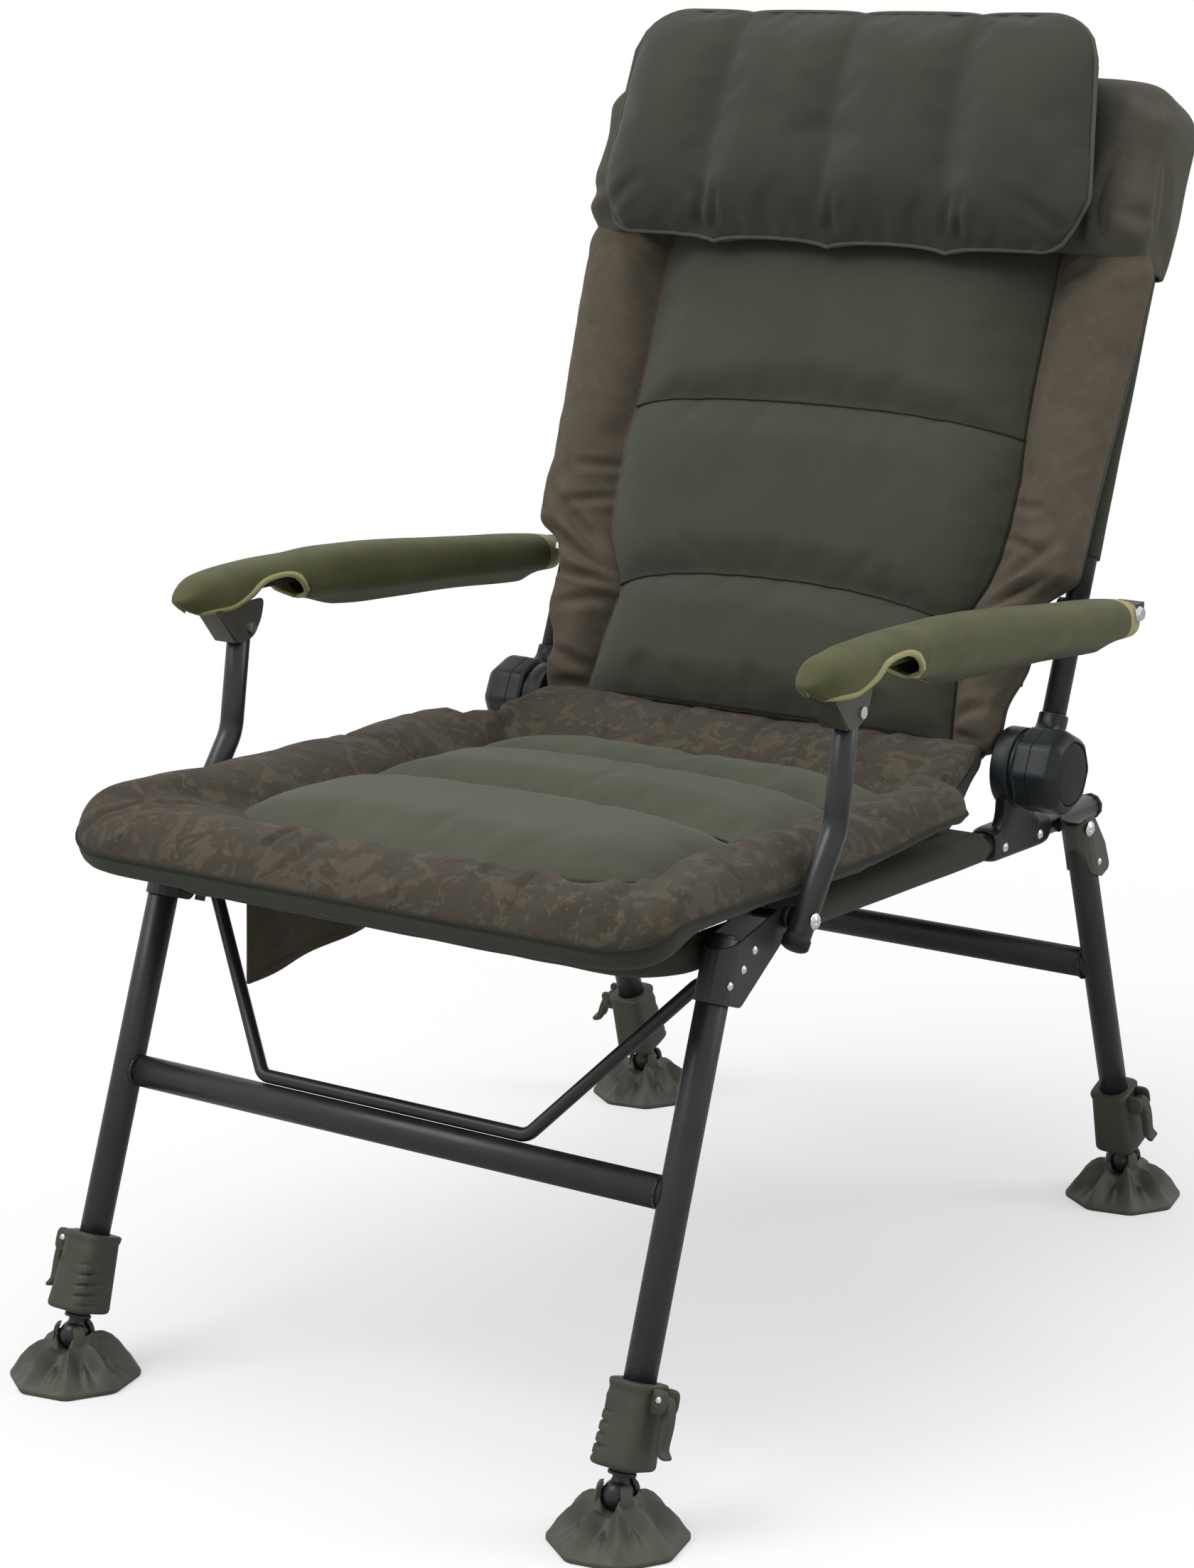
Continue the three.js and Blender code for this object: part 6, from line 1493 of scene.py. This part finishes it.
# %% Mud foot
FOOT_SIDES, FOOT_RIDGES, FOOT_RADIUS, RIDGE_REACH = 160, 8, 53.4, 54.5
FOOT_SHARES = np.array([1, 0.985, 0.95, 0.9, 0.84, 0.77, 0.7, 0.63, 0.56, 0.49, 0.42, 0.36, 0.3])
RIDGE_HEIGHT = ([0.3, 0.36, 0.46, 0.56, 0.7, 0.84, 0.95, 1], [1, -3.4, -3.6, -5.5, -10.5, -18.5, -28, -31.8])
HOLLOW_HEIGHT = ([0.3, 0.42, 0.56, 0.7, 0.84, 0.95, 1], [0, -14, -23, -26.5, -29, -31.2, -31.8])
GUSSET_RISE = ([0.3, 0.5, 0.62, 0.95, 1], [0, 2, 9, 1, 0])
FOOT_BOWL = [(14.8, 2.2), (13.6, 0.4), (12.9, -2.4), (11.4, -6.4), (8.4, -10.2), (4.4, -12.4), (0.6, -13)]
FOOT_EDGE = ((0.93, -33.6), (0.945, -35.9), (0.985, -36), (1, -35), (1.004, -33.2))
FOOT_TURN = math.radians(11)


def foot_grid():
    """Rings of the underside, edge, ridged top and ball's bowl, from the middle out and back in."""
    t = round_angles(FOOT_SIDES)
    wave = (FOOT_RIDGES * (t - FOOT_TURN) / (2 * np.pi)) % 1
    from_ridge = wave - np.round(wave)
    ridge = (1 - 2 * np.abs(wave - 0.5)) ** 1.5
    gusset = np.maximum(0, 1 - np.abs(from_ridge) / 0.17)
    rim = RIDGE_REACH * math.cos(math.pi / FOOT_RIDGES) / np.cos(from_ridge * 2 * np.pi / FOOT_RIDGES)
    rim = np.minimum(rim, FOOT_RADIUS)

    def ring(share, height):
        return np.stack([share * rim * np.cos(t), share * rim * np.sin(t), np.full(FOOT_SIDES, 1.0) * height], -1)

    full, hollow = np.interp(FOOT_SHARES, *RIDGE_HEIGHT), np.interp(FOOT_SHARES, *HOLLOW_HEIGHT)
    height = hollow[:, None] + (full - hollow)[:, None] * ridge
    height = height + np.interp(FOOT_SHARES, *GUSSET_RISE)[:, None] * gusset
    lowest = height.min(1)[::-1]
    low = [ring(share, min(np.interp(share, FOOT_SHARES[::-1], lowest) - 3.4, -15.5))
           for share in (0.05, 0.3, 0.5, 0.7, 0.86)]
    edge = [ring(*pair) for pair in FOOT_EDGE]
    top = [ring(share, row) for share, row in zip(FOOT_SHARES, height)]
    rows = np.concatenate([low, edge, top, lathe(FOOT_BOWL, FOOT_SIDES)])
    front = np.exp(-(((np.degrees(t) + 90 + 180) % 360 - 180) / 30) ** 4)
    opened = front[None] * smoothstep(-np.hypot(rows[..., 0], rows[..., 1]), -24, -17)
    opened[:len(low) + len(edge)] = 0
    rows[..., 2] -= np.maximum(0, rows[..., 2] + 11) * opened
    return rows


CLIP_WALL = np.array([(17.2, -12), (17.4, -6), (17.2, 0), (16.6, 4), (15.6, 7.5), (14.2, 9.6), (12.4, 10.4),
                      (10.6, 10.4), (11.0, 9.6), (12.2, 7.5), (13.0, 4), (13.2, 0), (13.2, -6), (12.9, -12)])


def clip_rows(middle, half):
    """A clip of the socket: a curved wall round the ball, hooked inwards at its top."""
    angles = np.radians(middle + np.linspace(-half, half, 16))
    return np.array([np.stack([CLIP_WALL[:, 0] * math.cos(a), CLIP_WALL[:, 0] * math.sin(a), CLIP_WALL[:, 1]], -1)
                     for a in angles])


def mud_foot(name, side_name, side):
    put = place(np.array([side * LEG_X * MM, *pivots[f"{name}_pad_{side_name}"][1:]]), 0)
    body = f"{name}_pad_{side_name}"
    parts = [skin("dish", foot_grid(), put, body, *FOOT)]
    parts += [skin("clip", clip_rows(middle, half), put, body, *FOOT, 40)
              for middle, half in ((-32, 17), (-148, 17), (90, 42))]
    return assembled(f"{name}_mud_foot_{side_name}", parts, f"{name}_foot_{side_name}", 55)


feet = [mud_foot(name, side_name, side) for name, _, side_name, side in ENDS]
print("feet", [len(f.data.vertices) for f in feet])

# %% [markdown]
# The recliner hub stands on a clamp round the seat's rail. Its disc carries the back's socket, and a knob with
# eight flats pulls the two together. The discs are turned profiles, the clamp and the necks are sections carried
# along a line, and the flats are where the radius is held down to 0.945 of the knob's.

# %% Hub on the seat
HUB_SIDES = 96


def sided(put, side):
    """The same place, mirrored for the right side of the chair."""
    return lambda points: put(np.asarray(points, float) * (side, 1, 1))


def curve_through(pairs, shares):
    """A uniform Catmull-Rom curve through the pairs, read at each share."""
    pairs = np.array(pairs, float)
    held = np.concatenate([pairs[:1], pairs, pairs[-1:]])
    t = np.linspace(0, 1, 40)[:, None]
    fine = [b + 0.5 * t * (c - a) + t ** 2 * (a - 2.5 * b + 2 * c - 0.5 * d) + 0.5 * t ** 3 * (3 * (b - c) + d - a)
            for a, b, c, d in zip(held[:-3], held[1:-2], held[2:-1], held[3:])]
    fine = np.concatenate(fine)
    return np.interp(shares, fine[:, 0], fine[:, 1])


def disc_rows(profile, centre, flat_share=None, turn=0.0):
    """Rows (x, centre + radius * reach(angle)) from pairs (radius, x). On a flat, reach = share / cos(angle)."""
    t = round_angles(HUB_SIDES)
    reach = np.ones(HUB_SIDES)
    if flat_share:
        from_flat = (t + math.radians(turn)) % (np.pi / 4) - np.pi / 8
        reach = np.minimum(1, flat_share / np.cos(from_flat))
    rows = []
    for radius, x in profile:
        r = radius * (1 + (reach - 1) * smoothstep(radius, 27.6, 31))
        ring = [np.full(HUB_SIDES, float(x)), centre[0] + r * np.cos(t), centre[1] + r * np.sin(t)]
        rows.append(np.stack(ring, -1))
    return np.array(rows)


def column(stations, sides=56, power=4.0):
    """A section carried upwards: each station is (z, x, y, half in x, half in y), joined by smooth curves."""
    ring = circle(1.0, sides, 1.0, power)
    table = np.array(stations, float)
    fine = np.unique(np.concatenate([table[:, 0], np.linspace(table[0, 0], table[-1, 0], 30)]))
    stations = np.stack([fine] + [curve_through(table[:, [0, i]], fine) for i in range(1, 5)], -1)
    return [np.stack([x + half_x * ring[:, 0], y + half_y * ring[:, 1], np.full(sides, float(z))], -1)
            for z, x, y, half_x, half_y in stations]


CLAMP_X, CLAMP_FRONT, CLAMP_REAR = 239.8, 178, 283
HUB_DISC = [(6.4, 237.6), (32.6, 237.6), (34.3, 238.2), (35, 239.6), (35, 253.6), (34.6, 254.3), (33.2, 254.5),
            (32.4, 254.9), (32.4, 257.4), (6.4, 257.5)]
HUB_NECK = [(4, 245.6, 2, 7.2, 45), (9, 245.6, 2, 7.9, 42), (14, 245.8, 2, 8.2, 36), (20, 246, 1, 8.3, 30),
            (27, 246, 0, 8.3, 26.5), (36, 246, 0, 8.2, 26), (46, 246, 0, 8.0, 25)]
CLAMP_BOSS = [(0.01, 252.9), (6.6, 252.9), (7, 252.5), (7.6, 250), (0.01, 248)]


def swell(from_end, reach):
    """A quarter circle's rise from 0 at an end to 1 at the reach."""
    return np.sqrt(np.clip(1 - (1 - np.clip(from_end / reach, 0, 1)) ** 2, 0, 1))


def hub_base(name, side):
    put = sided(on_seat, side)
    y = HUB_YZ[0]
    neck = [(z, x, y + shift, half_x, half_y) for z, x, shift, half_x, half_y in HUB_NECK]
    ys = CLAMP_FRONT + (CLAMP_REAR - CLAMP_FRONT) * np.linspace(0, 1, 30)
    end = np.minimum(ys - CLAMP_FRONT, CLAMP_REAR - ys)
    ring = circle(1.0, 64, 1.0, 3.2)
    shell = [np.stack([CLAMP_X + wide * ring[:, 0], np.full(64, v), tall * ring[:, 1]], -1)
             for v, wide, tall in zip(ys, 12.4 + 0.8 * swell(end, 3), 12.4 + 3.1 * swell(end, 15))]
    parts = [skin("hub_disc", disc_rows(HUB_DISC, HUB_YZ), put, "seat", *HUB, 40),
             skin("hub_neck", column(neck), put, "seat", *HUB), skin("hub_clamp", shell, put, "seat", *HUB)]
    parts += [turned("boss", CLAMP_BOSS, "x", (0, v, -3), put, "seat", *HUB) for v in CLAMP_BOLTS_Y]
    return assembled(f"hub_base_{name}", parts, f"recliner_base_{name}", 50)


bases = [hub_base(name, side) for name, side in SIDES]
print("hub bases", len(bases))

# %% [markdown]
# The socket rides on the back: a disc with the knob's flats, and a neck that leans back into a sleeve for the
# tube. The knob has a broad bevel round its inset cap.

# %% Hub on the back, knob and cap
HUB_FLAT = 0.945
SOCKET_DISC = [(6.4, 258.2), (33.4, 258.2), (35.2, 258.6), (36.4, 259.6), (36.8, 262), (36.9, 272.9), (36.5, 273.1),
               (6.4, 273.1)]
SOCKET_NECK = [(z, BACK_X, *rest) for z, *rest in
               [(22, 3, 7.3, 21), (28, 4.5, 8.0, 19.6), (32, 7, 9.6, 17), (36, 10, 11.6, 14.6),
                (41, 12.4, 12.2, 12.8), (47.6, 13.1, 12.3, 12.3), (50.6, 13.1, 12.2, 12.2),
                (51.4, 13.1, 11.6, 11.6), (51.5, 13.1, 10.6, 10.6)]]
KNOB_PROFILE = [(6.2, 273.5), (36.4, 273.5), (36.9, 273.7), (37, 275), (37, 290.6), (36.7, 292), (35.6, 294.4),
                (33.6, 297.4), (31.4, 299.8), (30.2, 300.5), (29, 300.6), (28.2, 300.2), (27.7, 299), (27.6, 296.8)]
SHAFT_PROFILE = [(5.9, 238.4), (6, 239), (6, 274)]
CAP_FACE = [(27.2, 297), (27.2, 299.2), (26.6, 299.9), (25.4, 300.3), (18, 300.9), (9, 301.2), (0.5, 301.3)]


def hub_socket(name, side):
    put = sided(on_back, side)
    disc = disc_rows(SOCKET_DISC, (0, 0), HUB_FLAT, BACK_LEAN - RAIL_DROP)
    parts = [skin("socket_disc", disc, put, "back", *HUB, 40),
             skin("socket_neck", column(SOCKET_NECK, 56, 2.5), put, "back", *HUB, 50)]
    head(f"tube_screw_{name}", (BACK_X, TUBE_Y + 10.1, 72), (0, 1, 0), 3.8, 2, put, "back", True)
    return assembled(f"hub_socket_{name}", parts, f"back_socket_{name}")


def hub_knob(name, side):
    put, body = sided(on_seat, side), f"knob_{name}"
    parts = [skin("grip", disc_rows(KNOB_PROFILE, HUB_YZ, HUB_FLAT), put, body, *HUB, 38),
             skin("shaft", disc_rows(SHAFT_PROFILE, HUB_YZ), put, body, *HUB)]
    assembled(f"hub_grip_{name}", parts, f"recliner_knob_{name}")
    cap = skin(f"hub_cap_{name}", disc_rows(CAP_FACE, HUB_YZ), put, body, *CAP, 40)
    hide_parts(f"knob_cap_{name}")


for name, side in SIDES:
    hub_socket(name, side)
    hub_knob(name, side)

# %% [markdown]
# The pivot bolts: a black spacer between plate and post, a dark shank, and a bright head with a cross. At the
# rear leg the head lies on the bracket.

# %% Pivot bolts
POST_PIVOT, REAR_PIVOT = (0, -223.1, 22.7), (0, 299, 0)
POST_SHANK = [(6.4, 246.1), (7, 246.5), (7, 250.6), (6.4, 251), (4, 251), (4, 283.3), (8, 283.3), (8.5, 283.9),
              (8.5, 287.8), (8, 288.4), (4, 288.4), (4, 309.2)]
REAR_SHANK = [(6.6, 223.8), (7, 224.2), (7, 228.3), (6.6, 228.7), (4, 228.7), (4, 251.3), (7, 251.4), (7, 253.6),
              (4, 253.7), (4, 283.4)]

for name, side in SIDES:
    put = sided(on_seat, side)
    spacer = turned(f"post_spacer_{name}", POST_SHANK, "x", POST_PIVOT, put, "seat", hub_plastic, "bolts", 32, 40)
    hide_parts(f"post_bolt_{name}")
    head(f"post_screw_{name}", (309.1, *POST_PIVOT[1:]), (1, 0, 0), 6.6, 3.1, put, "seat", True)
    shank = turned(f"rear_leg_shank_{name}", REAR_SHANK, "x", REAR_PIVOT, put, "seat", frame_paint, "bolts", 32, 40)
    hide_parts(f"rear_leg_bolt_{name}")
    head(f"rear_leg_screw_{name}", (283.4, *REAR_PIVOT[1:]), (1, 0, 0), 7, 3.2, put, "seat", True)

# %% [markdown]
# The armrest is a neoprene sleeve pulled over a flat bar. Its two lower edges are sewn together in a fin under the
# bar, and they part round the clip, where they are bound with a yellowish tape. So each section is an open ring:
# down the outside, round an edge, and back up the inside. Its colour zones follow its columns.

# %% Armrest sleeves
PAD_TOP = [(0, 0.43), (0.05, 0.6), (0.2, 0.625), (0.42, 0.55), (0.66, 0.35), (0.84, 0.2), (0.95, 0.06), (1, -0.1)]
PAD_LOW = [(0, 0.33), (0.035, 0.2), (0.08, 0.135), (0.13, 0.15), (0.28, 0.115), (0.42, 0), (0.66, -0.125),
           (0.84, -0.25), (0.95, -0.27), (1, -0.16)]
GAPE = [(0, 2), (0.025, 8), (0.045, 40), (0.09, 52), (0.125, 72), (0.15, 92), (0.18, 100), (0.215, 98), (0.24, 84),
        (0.258, 50), (0.275, 4), (0.32, 3), (1, 3)]
ARM_X, ARM_HALF, ARM_RISE, ARM_WALL, FIN_DEPTH, SLEEVE_END = 304.0, 22.0, 86.0, 3.0, 7.5, 0.915
ARM_FRONT, ARM_REAR = -(ARM_LENGTH + 76), 52.0
BAND = 0.071


def power_of(value, power):
    """The value's size raised to the power, with its sign kept."""
    return np.sign(value) * np.abs(value) ** power


def sleeve_rows(count=90, columns=66):
    """Open sections along the armrest, outside and inside, with the columns of the tape and the rows' shares."""
    share = np.concatenate([[0, 0.002, 0.006, 0.013, 0.022, 0.032], np.linspace(0.044, SLEEVE_END, count)])
    top, low = ARM_RISE * curve_through(PAD_TOP, share), ARM_RISE * curve_through(PAD_LOW, share)
    nose = np.sqrt(np.clip(1 - (1 - np.clip(share / 0.05, 0, 1)) ** 2, 0.0004, 1))
    half = ARM_HALF * (0.72 + 0.28 * smoothstep(share, 0, 0.1)) * (1 - 0.08 * smoothstep(share, 0.9, 1)) * nose
    middle, tall = ((top + low) / 2)[:, None], (top - low) / 2 * (0.25 + 0.75 * nose)
    gape = np.radians(curve_through(GAPE, share))[:, None]
    fin = (FIN_DEPTH * smoothstep(share, 0.27, 0.36) * (1 - smoothstep(share, 0.84, 0.9)))[:, None]
    u = np.concatenate([[0, 0.07, 0.073], np.linspace(0.095, 0.905, columns - 6), [0.927, 0.93, 1]])
    angle = -np.pi / 2 + gape + (2 * np.pi - 2 * gape) * u
    x = half[:, None] * power_of(np.cos(angle), 0.84)
    z = middle + tall[:, None] * power_of(np.sin(angle), 0.84)
    edge = np.clip(1 - np.minimum(u, 1 - u) / 0.05, 0, 1)
    z = z - fin * edge
    x = np.where((edge > 0) & (fin > 0.1), np.sign(x + 1e-9) * (1.0 + np.abs(x) * (1 - edge)), x)
    y = np.broadcast_to((ARM_FRONT + (ARM_REAR - ARM_FRONT) * share)[:, None], x.shape)

    def thinner(size):
        return np.clip(1 - ARM_WALL / np.maximum(size, ARM_WALL + 0.1), 0.05, 1)[:, None]

    band = (u < BAND) | (u > 1 - BAND)
    rise = 0.9 * band * (share < 0.3)[:, None]
    outer = np.stack([ARM_X + x * (1 + rise / ARM_HALF), y, z], -1)
    inner = np.stack([ARM_X + x * thinner(half), y, middle + (z - middle) * thinner(tall)], -1)
    return np.concatenate([outer, inner[:, ::-1]], 1), band, share


def tape_zones(band, share, grid_count, columns):
    """1 on the quads of the tape, the wall's edge, the lining at the opening and the rear ring, 0 elsewhere."""
    column, row = np.arange(grid_count) % columns, np.arange(grid_count) // columns
    width = len(band)
    beside = np.isin(column, np.flatnonzero(np.concatenate([band, band[::-1]])))
    taped = beside | np.isin(column, [0, 1, width - 2, width - 3])
    near_clip = (share[row] > 0.03) & (share[row] < 0.28)
    from_edge = np.minimum(np.abs(column - width + 1), np.minimum(column, columns - 1 - column))
    lined = (column >= width - 1) & (from_edge < 14) & (share[row] > 0.11) & near_clip
    edge_line = np.isin(column, [width - 1, columns - 1])
    return (taped & near_clip) | lined | edge_line | (share[row] > SLEEVE_END - 0.034)


def arm_sleeve(name, side):
    rows, band, share = sleeve_rows()
    near = np.exp(-(((share - 0.25) / 0.1) ** 2)) + 0.5 * np.exp(-(((share - 0.08) / 0.06) ** 2)) + 0.15
    wrinkle = 1.3 * ripple(rows.reshape(-1, 3) * (1, 0.8, 1.6), 7.5, 41 + side)
    wrinkle = (wrinkle + 1.0 * ripple(rows.reshape(-1, 3), 17, 44 + side)).reshape(rows.shape[:2])
    way = rows - rows.mean(1, keepdims=True)
    way = way / np.maximum(np.linalg.norm(way, axis=-1, keepdims=True), 1e-6)
    rows = rows + way * (wrinkle * (near * smoothstep(share, 0.02, 0.08))[:, None])[..., None]
    points, faces = closed_grid(rows)
    columns = rows.shape[1]
    zones = np.zeros(len(faces), np.int32)
    grid_count = (len(rows) - 1) * columns
    zones[:grid_count] = tape_zones(band, share, grid_count, columns)
    zones[grid_count + columns:] = 1
    piece = add_mesh(f"arm_sleeve_{name}", sided(on_arm, side)(points), faces.tolist(), f"arm_{name}", arm_neoprene,
                     zones=zones)
    outward(piece)
    piece.data.materials.append(binding_tape)
    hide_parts(f"armrest_pad_{name}")
    return piece


sleeves = [arm_sleeve(name, side) for name, side in SIDES]
print("armrest sleeves", [len(s.data.vertices) for s in sleeves])

# %% [markdown]
# Two slings carry the cushions: cloths stretched between the rails and between the back's tubes, with hollow hems
# that the tubes run in. A web is a thin grid that ripples a little, and each hem is a hollow ring carried along
# its tube, wrinkled where the cloth is pulled.

# %% Slings
def hem(corners, radius, put, body, bend=0.0, across=(0, 0, 1), seed=1, wall=1.6):
    """A hollow hem round a tube: an outer and an inner skin that meet at both ends, the outer one wrinkled."""
    corners = np.asarray(corners, float)
    straight = corners[0] + (corners[1] - corners[0]) * np.linspace(0, 1, 60)[:, None]
    spots = bent_path(corners, bend, 14)[0] if bend else straight
    run = np.concatenate([[0], np.cumsum(np.linalg.norm(np.diff(spots, axis=0), axis=1))])
    fine = np.linspace(0, run[-1], 150)
    spots = np.stack([np.interp(fine, run, spots[:, i]) for i in range(3)], -1)
    ways = unit(np.gradient(spots, axis=0))
    outer = sweep(spots, ways, circle(radius, 36), across)
    inner = sweep(spots, ways, circle(radius - wall, 36), across)
    wrinkle = 0.55 * ripple(outer.reshape(-1, 3) * (1, 0.5, 1.3), 9, seed).reshape(outer.shape[:2])
    outer = outer + (outer - inner) / wall * wrinkle[..., None]
    return wrapped("hem", put(np.concatenate([outer, inner[::-1]])), body, *SLING)


def web(name, half_of, low, high, level, put, body, thickness, upright):
    """A thin cloth between two edges: x = half width * share, its height waving by under a millimetre."""
    along = np.linspace(low, high, 90)
    x = half_of(along)[:, None] * np.linspace(-1, 1, 60)
    run = np.broadcast_to(along[:, None], x.shape)
    wave = 0.5 * ripple(np.stack([x, run, 0 * x], -1).reshape(-1, 3), 40, 51).reshape(x.shape)
    upper, lower = [np.stack([x, height + wave, run] if upright else [x, run, height + wave], -1)
                    for height in (level + thickness / 2, level - thickness / 2)]
    return skin(name, np.concatenate([upper, lower[:, ::-1]], 1), put, body, *SLING)


HEM_RADIUS, BACK_HEM_RADIUS, WEB_REAR = 13.1, 12.6, 165
BRACKET_GAP = (-270, -190)


def seat_web_half(y):
    """The rail's distance, drawn in beside the leg brackets."""
    return RAIL["x"] - 15 * (smoothstep(y, -274, -268) - smoothstep(y, -194, -188))


def back_web_half(z):
    """Narrower below the hems, the hoop's distance beside them, and round at the hoop's bends."""
    wide = BACK_X - 29.6 + 29.6 * smoothstep(z, 188, 196)
    return wide - 60 * (1 - np.sqrt(np.clip(1 - (np.clip(z - 528, 0, 60) / 61) ** 2, 0, 1)))


seat_parts = [web("seat_web", seat_web_half, RAIL["front"] - 1, WEB_REAR, 12.3, on_seat, "seat", 1.6, False),
              hem(two_sided([(RAIL["x"], BRACKET_GAP[0], 0), (RAIL["x"], RAIL["front"], 0)]), HEM_RADIUS,
                  on_seat, "seat", 44, seed=61)]
seat_parts += [hem([(side * RAIL["x"], BRACKET_GAP[1], 0), (side * RAIL["x"], WEB_REAR, 0)], HEM_RADIUS, on_seat,
                   "seat", seed=62 + side) for _, side in SIDES]
seat_sling = assembled("seat_sling_cloth", seat_parts, "seat_sling")
back_parts = [web("back_web", back_web_half, 70, 587, 1.6, on_back, "back", 1.5, True)]
back_parts += [hem([(side * BACK_X, TUBE_Y, 192), (side * BACK_X, TUBE_Y, 526)], BACK_HEM_RADIUS, on_back, "back",
                   across=(0, 1, 0), seed=71 + side) for _, side in SIDES]
back_sling = assembled("back_sling_cloth", back_parts, "back_sling")


# %% [markdown]
# The clip under the armrest is a plate folded round the post's top: two cheeks and a front web that leans back. The
# cheeks' outlines are given round the open rivet, as (back, up) in mm, with rounded corners.

# %% Armrest clips
CLIP_X = [corner[0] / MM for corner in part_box("armrest_clip_left")]
CHEEK = [(-46, 22), (-17, -12.4), (3, -8.4), (13.5, 6), (18, 24)]
CLIP_FRONT = [(-46, 22), (-20.6, -10.4), (-18.6, -10.8), (-17.6, -9.6), (-43.6, 22)]
CHEEK_THICK = 2.2


def rounded(corners, radius, steps=7):
    """A closed outline with each corner cut by a curve: p(t) = (1-t)^2 a + 2t(1-t) corner + t^2 b."""
    corners = np.asarray(corners, float)
    t = np.linspace(0, 1, steps)[:, None]
    spots = []
    for before, corner, after in zip(np.roll(corners, 1, 0), corners, np.roll(corners, -1, 0)):
        a = corner + (before - corner) * min(0.45, radius / np.linalg.norm(before - corner))
        b = corner + (after - corner) * min(0.45, radius / np.linalg.norm(after - corner))
        spots.append((1 - t) ** 2 * a + 2 * t * (1 - t) * corner + t ** 2 * b)
    return np.concatenate(spots)


def plate(name, outline, low, high, put, body, material, slot, edge=0.35):
    """A plate between x = low and x = high, whose outline is drawn in (y, z) and whose edges are broken."""
    middle = outline.mean(0)
    inner = outline + unit(middle - outline) * edge
    rows = [np.column_stack([np.full(len(outline), x), ring])
            for x, ring in ((low, inner), (low + edge, outline), (high - edge, outline), (high, inner))]
    return skin(name, rows, put, body, material, slot, 40)


def arm_clip(name, side):
    put, body = sided(place(rivet_at, 0), side), f"arm_{name}"
    low, high = CLIP_X
    cheek = rounded(CHEEK, 7)
    parts = [plate("cheek", cheek, x, x + CHEEK_THICK, put, body, *OLIVE) for x in (high - CHEEK_THICK, low)]
    parts.append(plate("web", rounded(CLIP_FRONT, 0.8, 4), low + 1, high - 1, put, body, *OLIVE, 0.3))
    for i, (x, way) in enumerate(((high, 1), (low, -1))):
        head(f"clip_rivet_{name}_{i}", (x, 0, 0), (way, 0, 0), 4.6, 2.0, put, body)
    return assembled(f"arm_clip_{name}", parts, f"armrest_clip_{name}")


clips = [arm_clip(name, side) for name, side in SIDES]
print("clips", len(clips), "between x =", [round(v, 1) for v in CLIP_X])

# %% [markdown]
# The pocket is a flap of the sling's cloth, sewn to the sling's sleeve at its top, with three soft folds that open
# towards a doubled hem. Its folds are a sine along its width that grows downwards.

# %% Side pocket
POCKET_X, POCKET_FRONT, POCKET_LONG, POCKET_DEEP, POCKET_TOP = -240, -228, 248, 104, -13.6


def pocket_flap():
    along, down = np.linspace(0, 1, 110), np.linspace(0, 1, 44)
    depth = (POCKET_DEEP * (1 - 0.28 * along))[:, None]
    wave = 3.0 * np.sin(2 * np.pi * 2.2 * along)[:, None] * down ** 1.3
    drop = POCKET_TOP - depth * down
    run = np.broadcast_to((POCKET_FRONT + POCKET_LONG * along)[:, None], drop.shape)
    plain = np.stack([0 * run, run, drop], -1)
    wave = wave + 0.9 * ripple(plain.reshape(-1, 3), 26, 81).reshape(run.shape) * down
    near_hem = np.minimum((1 - down) * depth, np.minimum(along, 1 - along)[:, None] * POCKET_LONG)
    half = 0.75 + 0.65 * (1 - smoothstep(near_hem, 7.4, 8.8)) - 0.35 * np.exp(-((near_hem - 9.6) / 0.9) ** 2)
    outer, inner = [np.stack([POCKET_X + wave + sign * half, run, drop], -1) for sign in (-1, 1)]
    rows = np.concatenate([outer, inner[:, ::-1]], 1)
    piece = skin("pocket_flap", rows, on_seat, "seat", pocket_cloth, "sling_cloth")
    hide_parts("side_pocket")
    return piece


pocket = pocket_flap()

# %% [markdown]
# The solids that stay as they were packed get their finish here: olive pressed brackets, black end caps, a dark
# bar in the armrest, and plated bolts.

# %% Finish of the kept solids
KEPT = {"rail_end_cap": cap_plastic, "rail_bracket": pressed_paint, "arm_bolt": zinc, "armrest_bar": pressed_paint,
        "armrest_rivet": zinc, "front_leg_bracket": pressed_paint, "rear_leg_bracket": olive_paint}
for stem, finish in KEPT.items():
    for name, _ in SIDES:
        kept = frame["nodes"][f"{stem}_{name}"]
        for place_of in kept.material_slots:
            place_of.material = finish
print("kept solids", 2 * len(KEPT))

# %% [markdown]
# On the real chair, when it folds, the back cushion presses on the seat cushion and flattens towards its sling,
# and the pocket crumples up under the sling when the front legs come up. Here these soft pieces are only given
# meshes of their own.

# %% Soft pieces at the folds
back_normal = on_back((0, -1000, 0)) - on_back((0, 0, 0))
for piece in (back_border, back_panels):
    tuple(on_back((0, 0, 120)))
    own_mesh(piece)
tuple(on_seat((POCKET_X, -100, POCKET_TOP)))
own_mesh(pocket)
print("pieces that flatten at a fold", [o.name for o in (back_border, back_panels, pocket)])
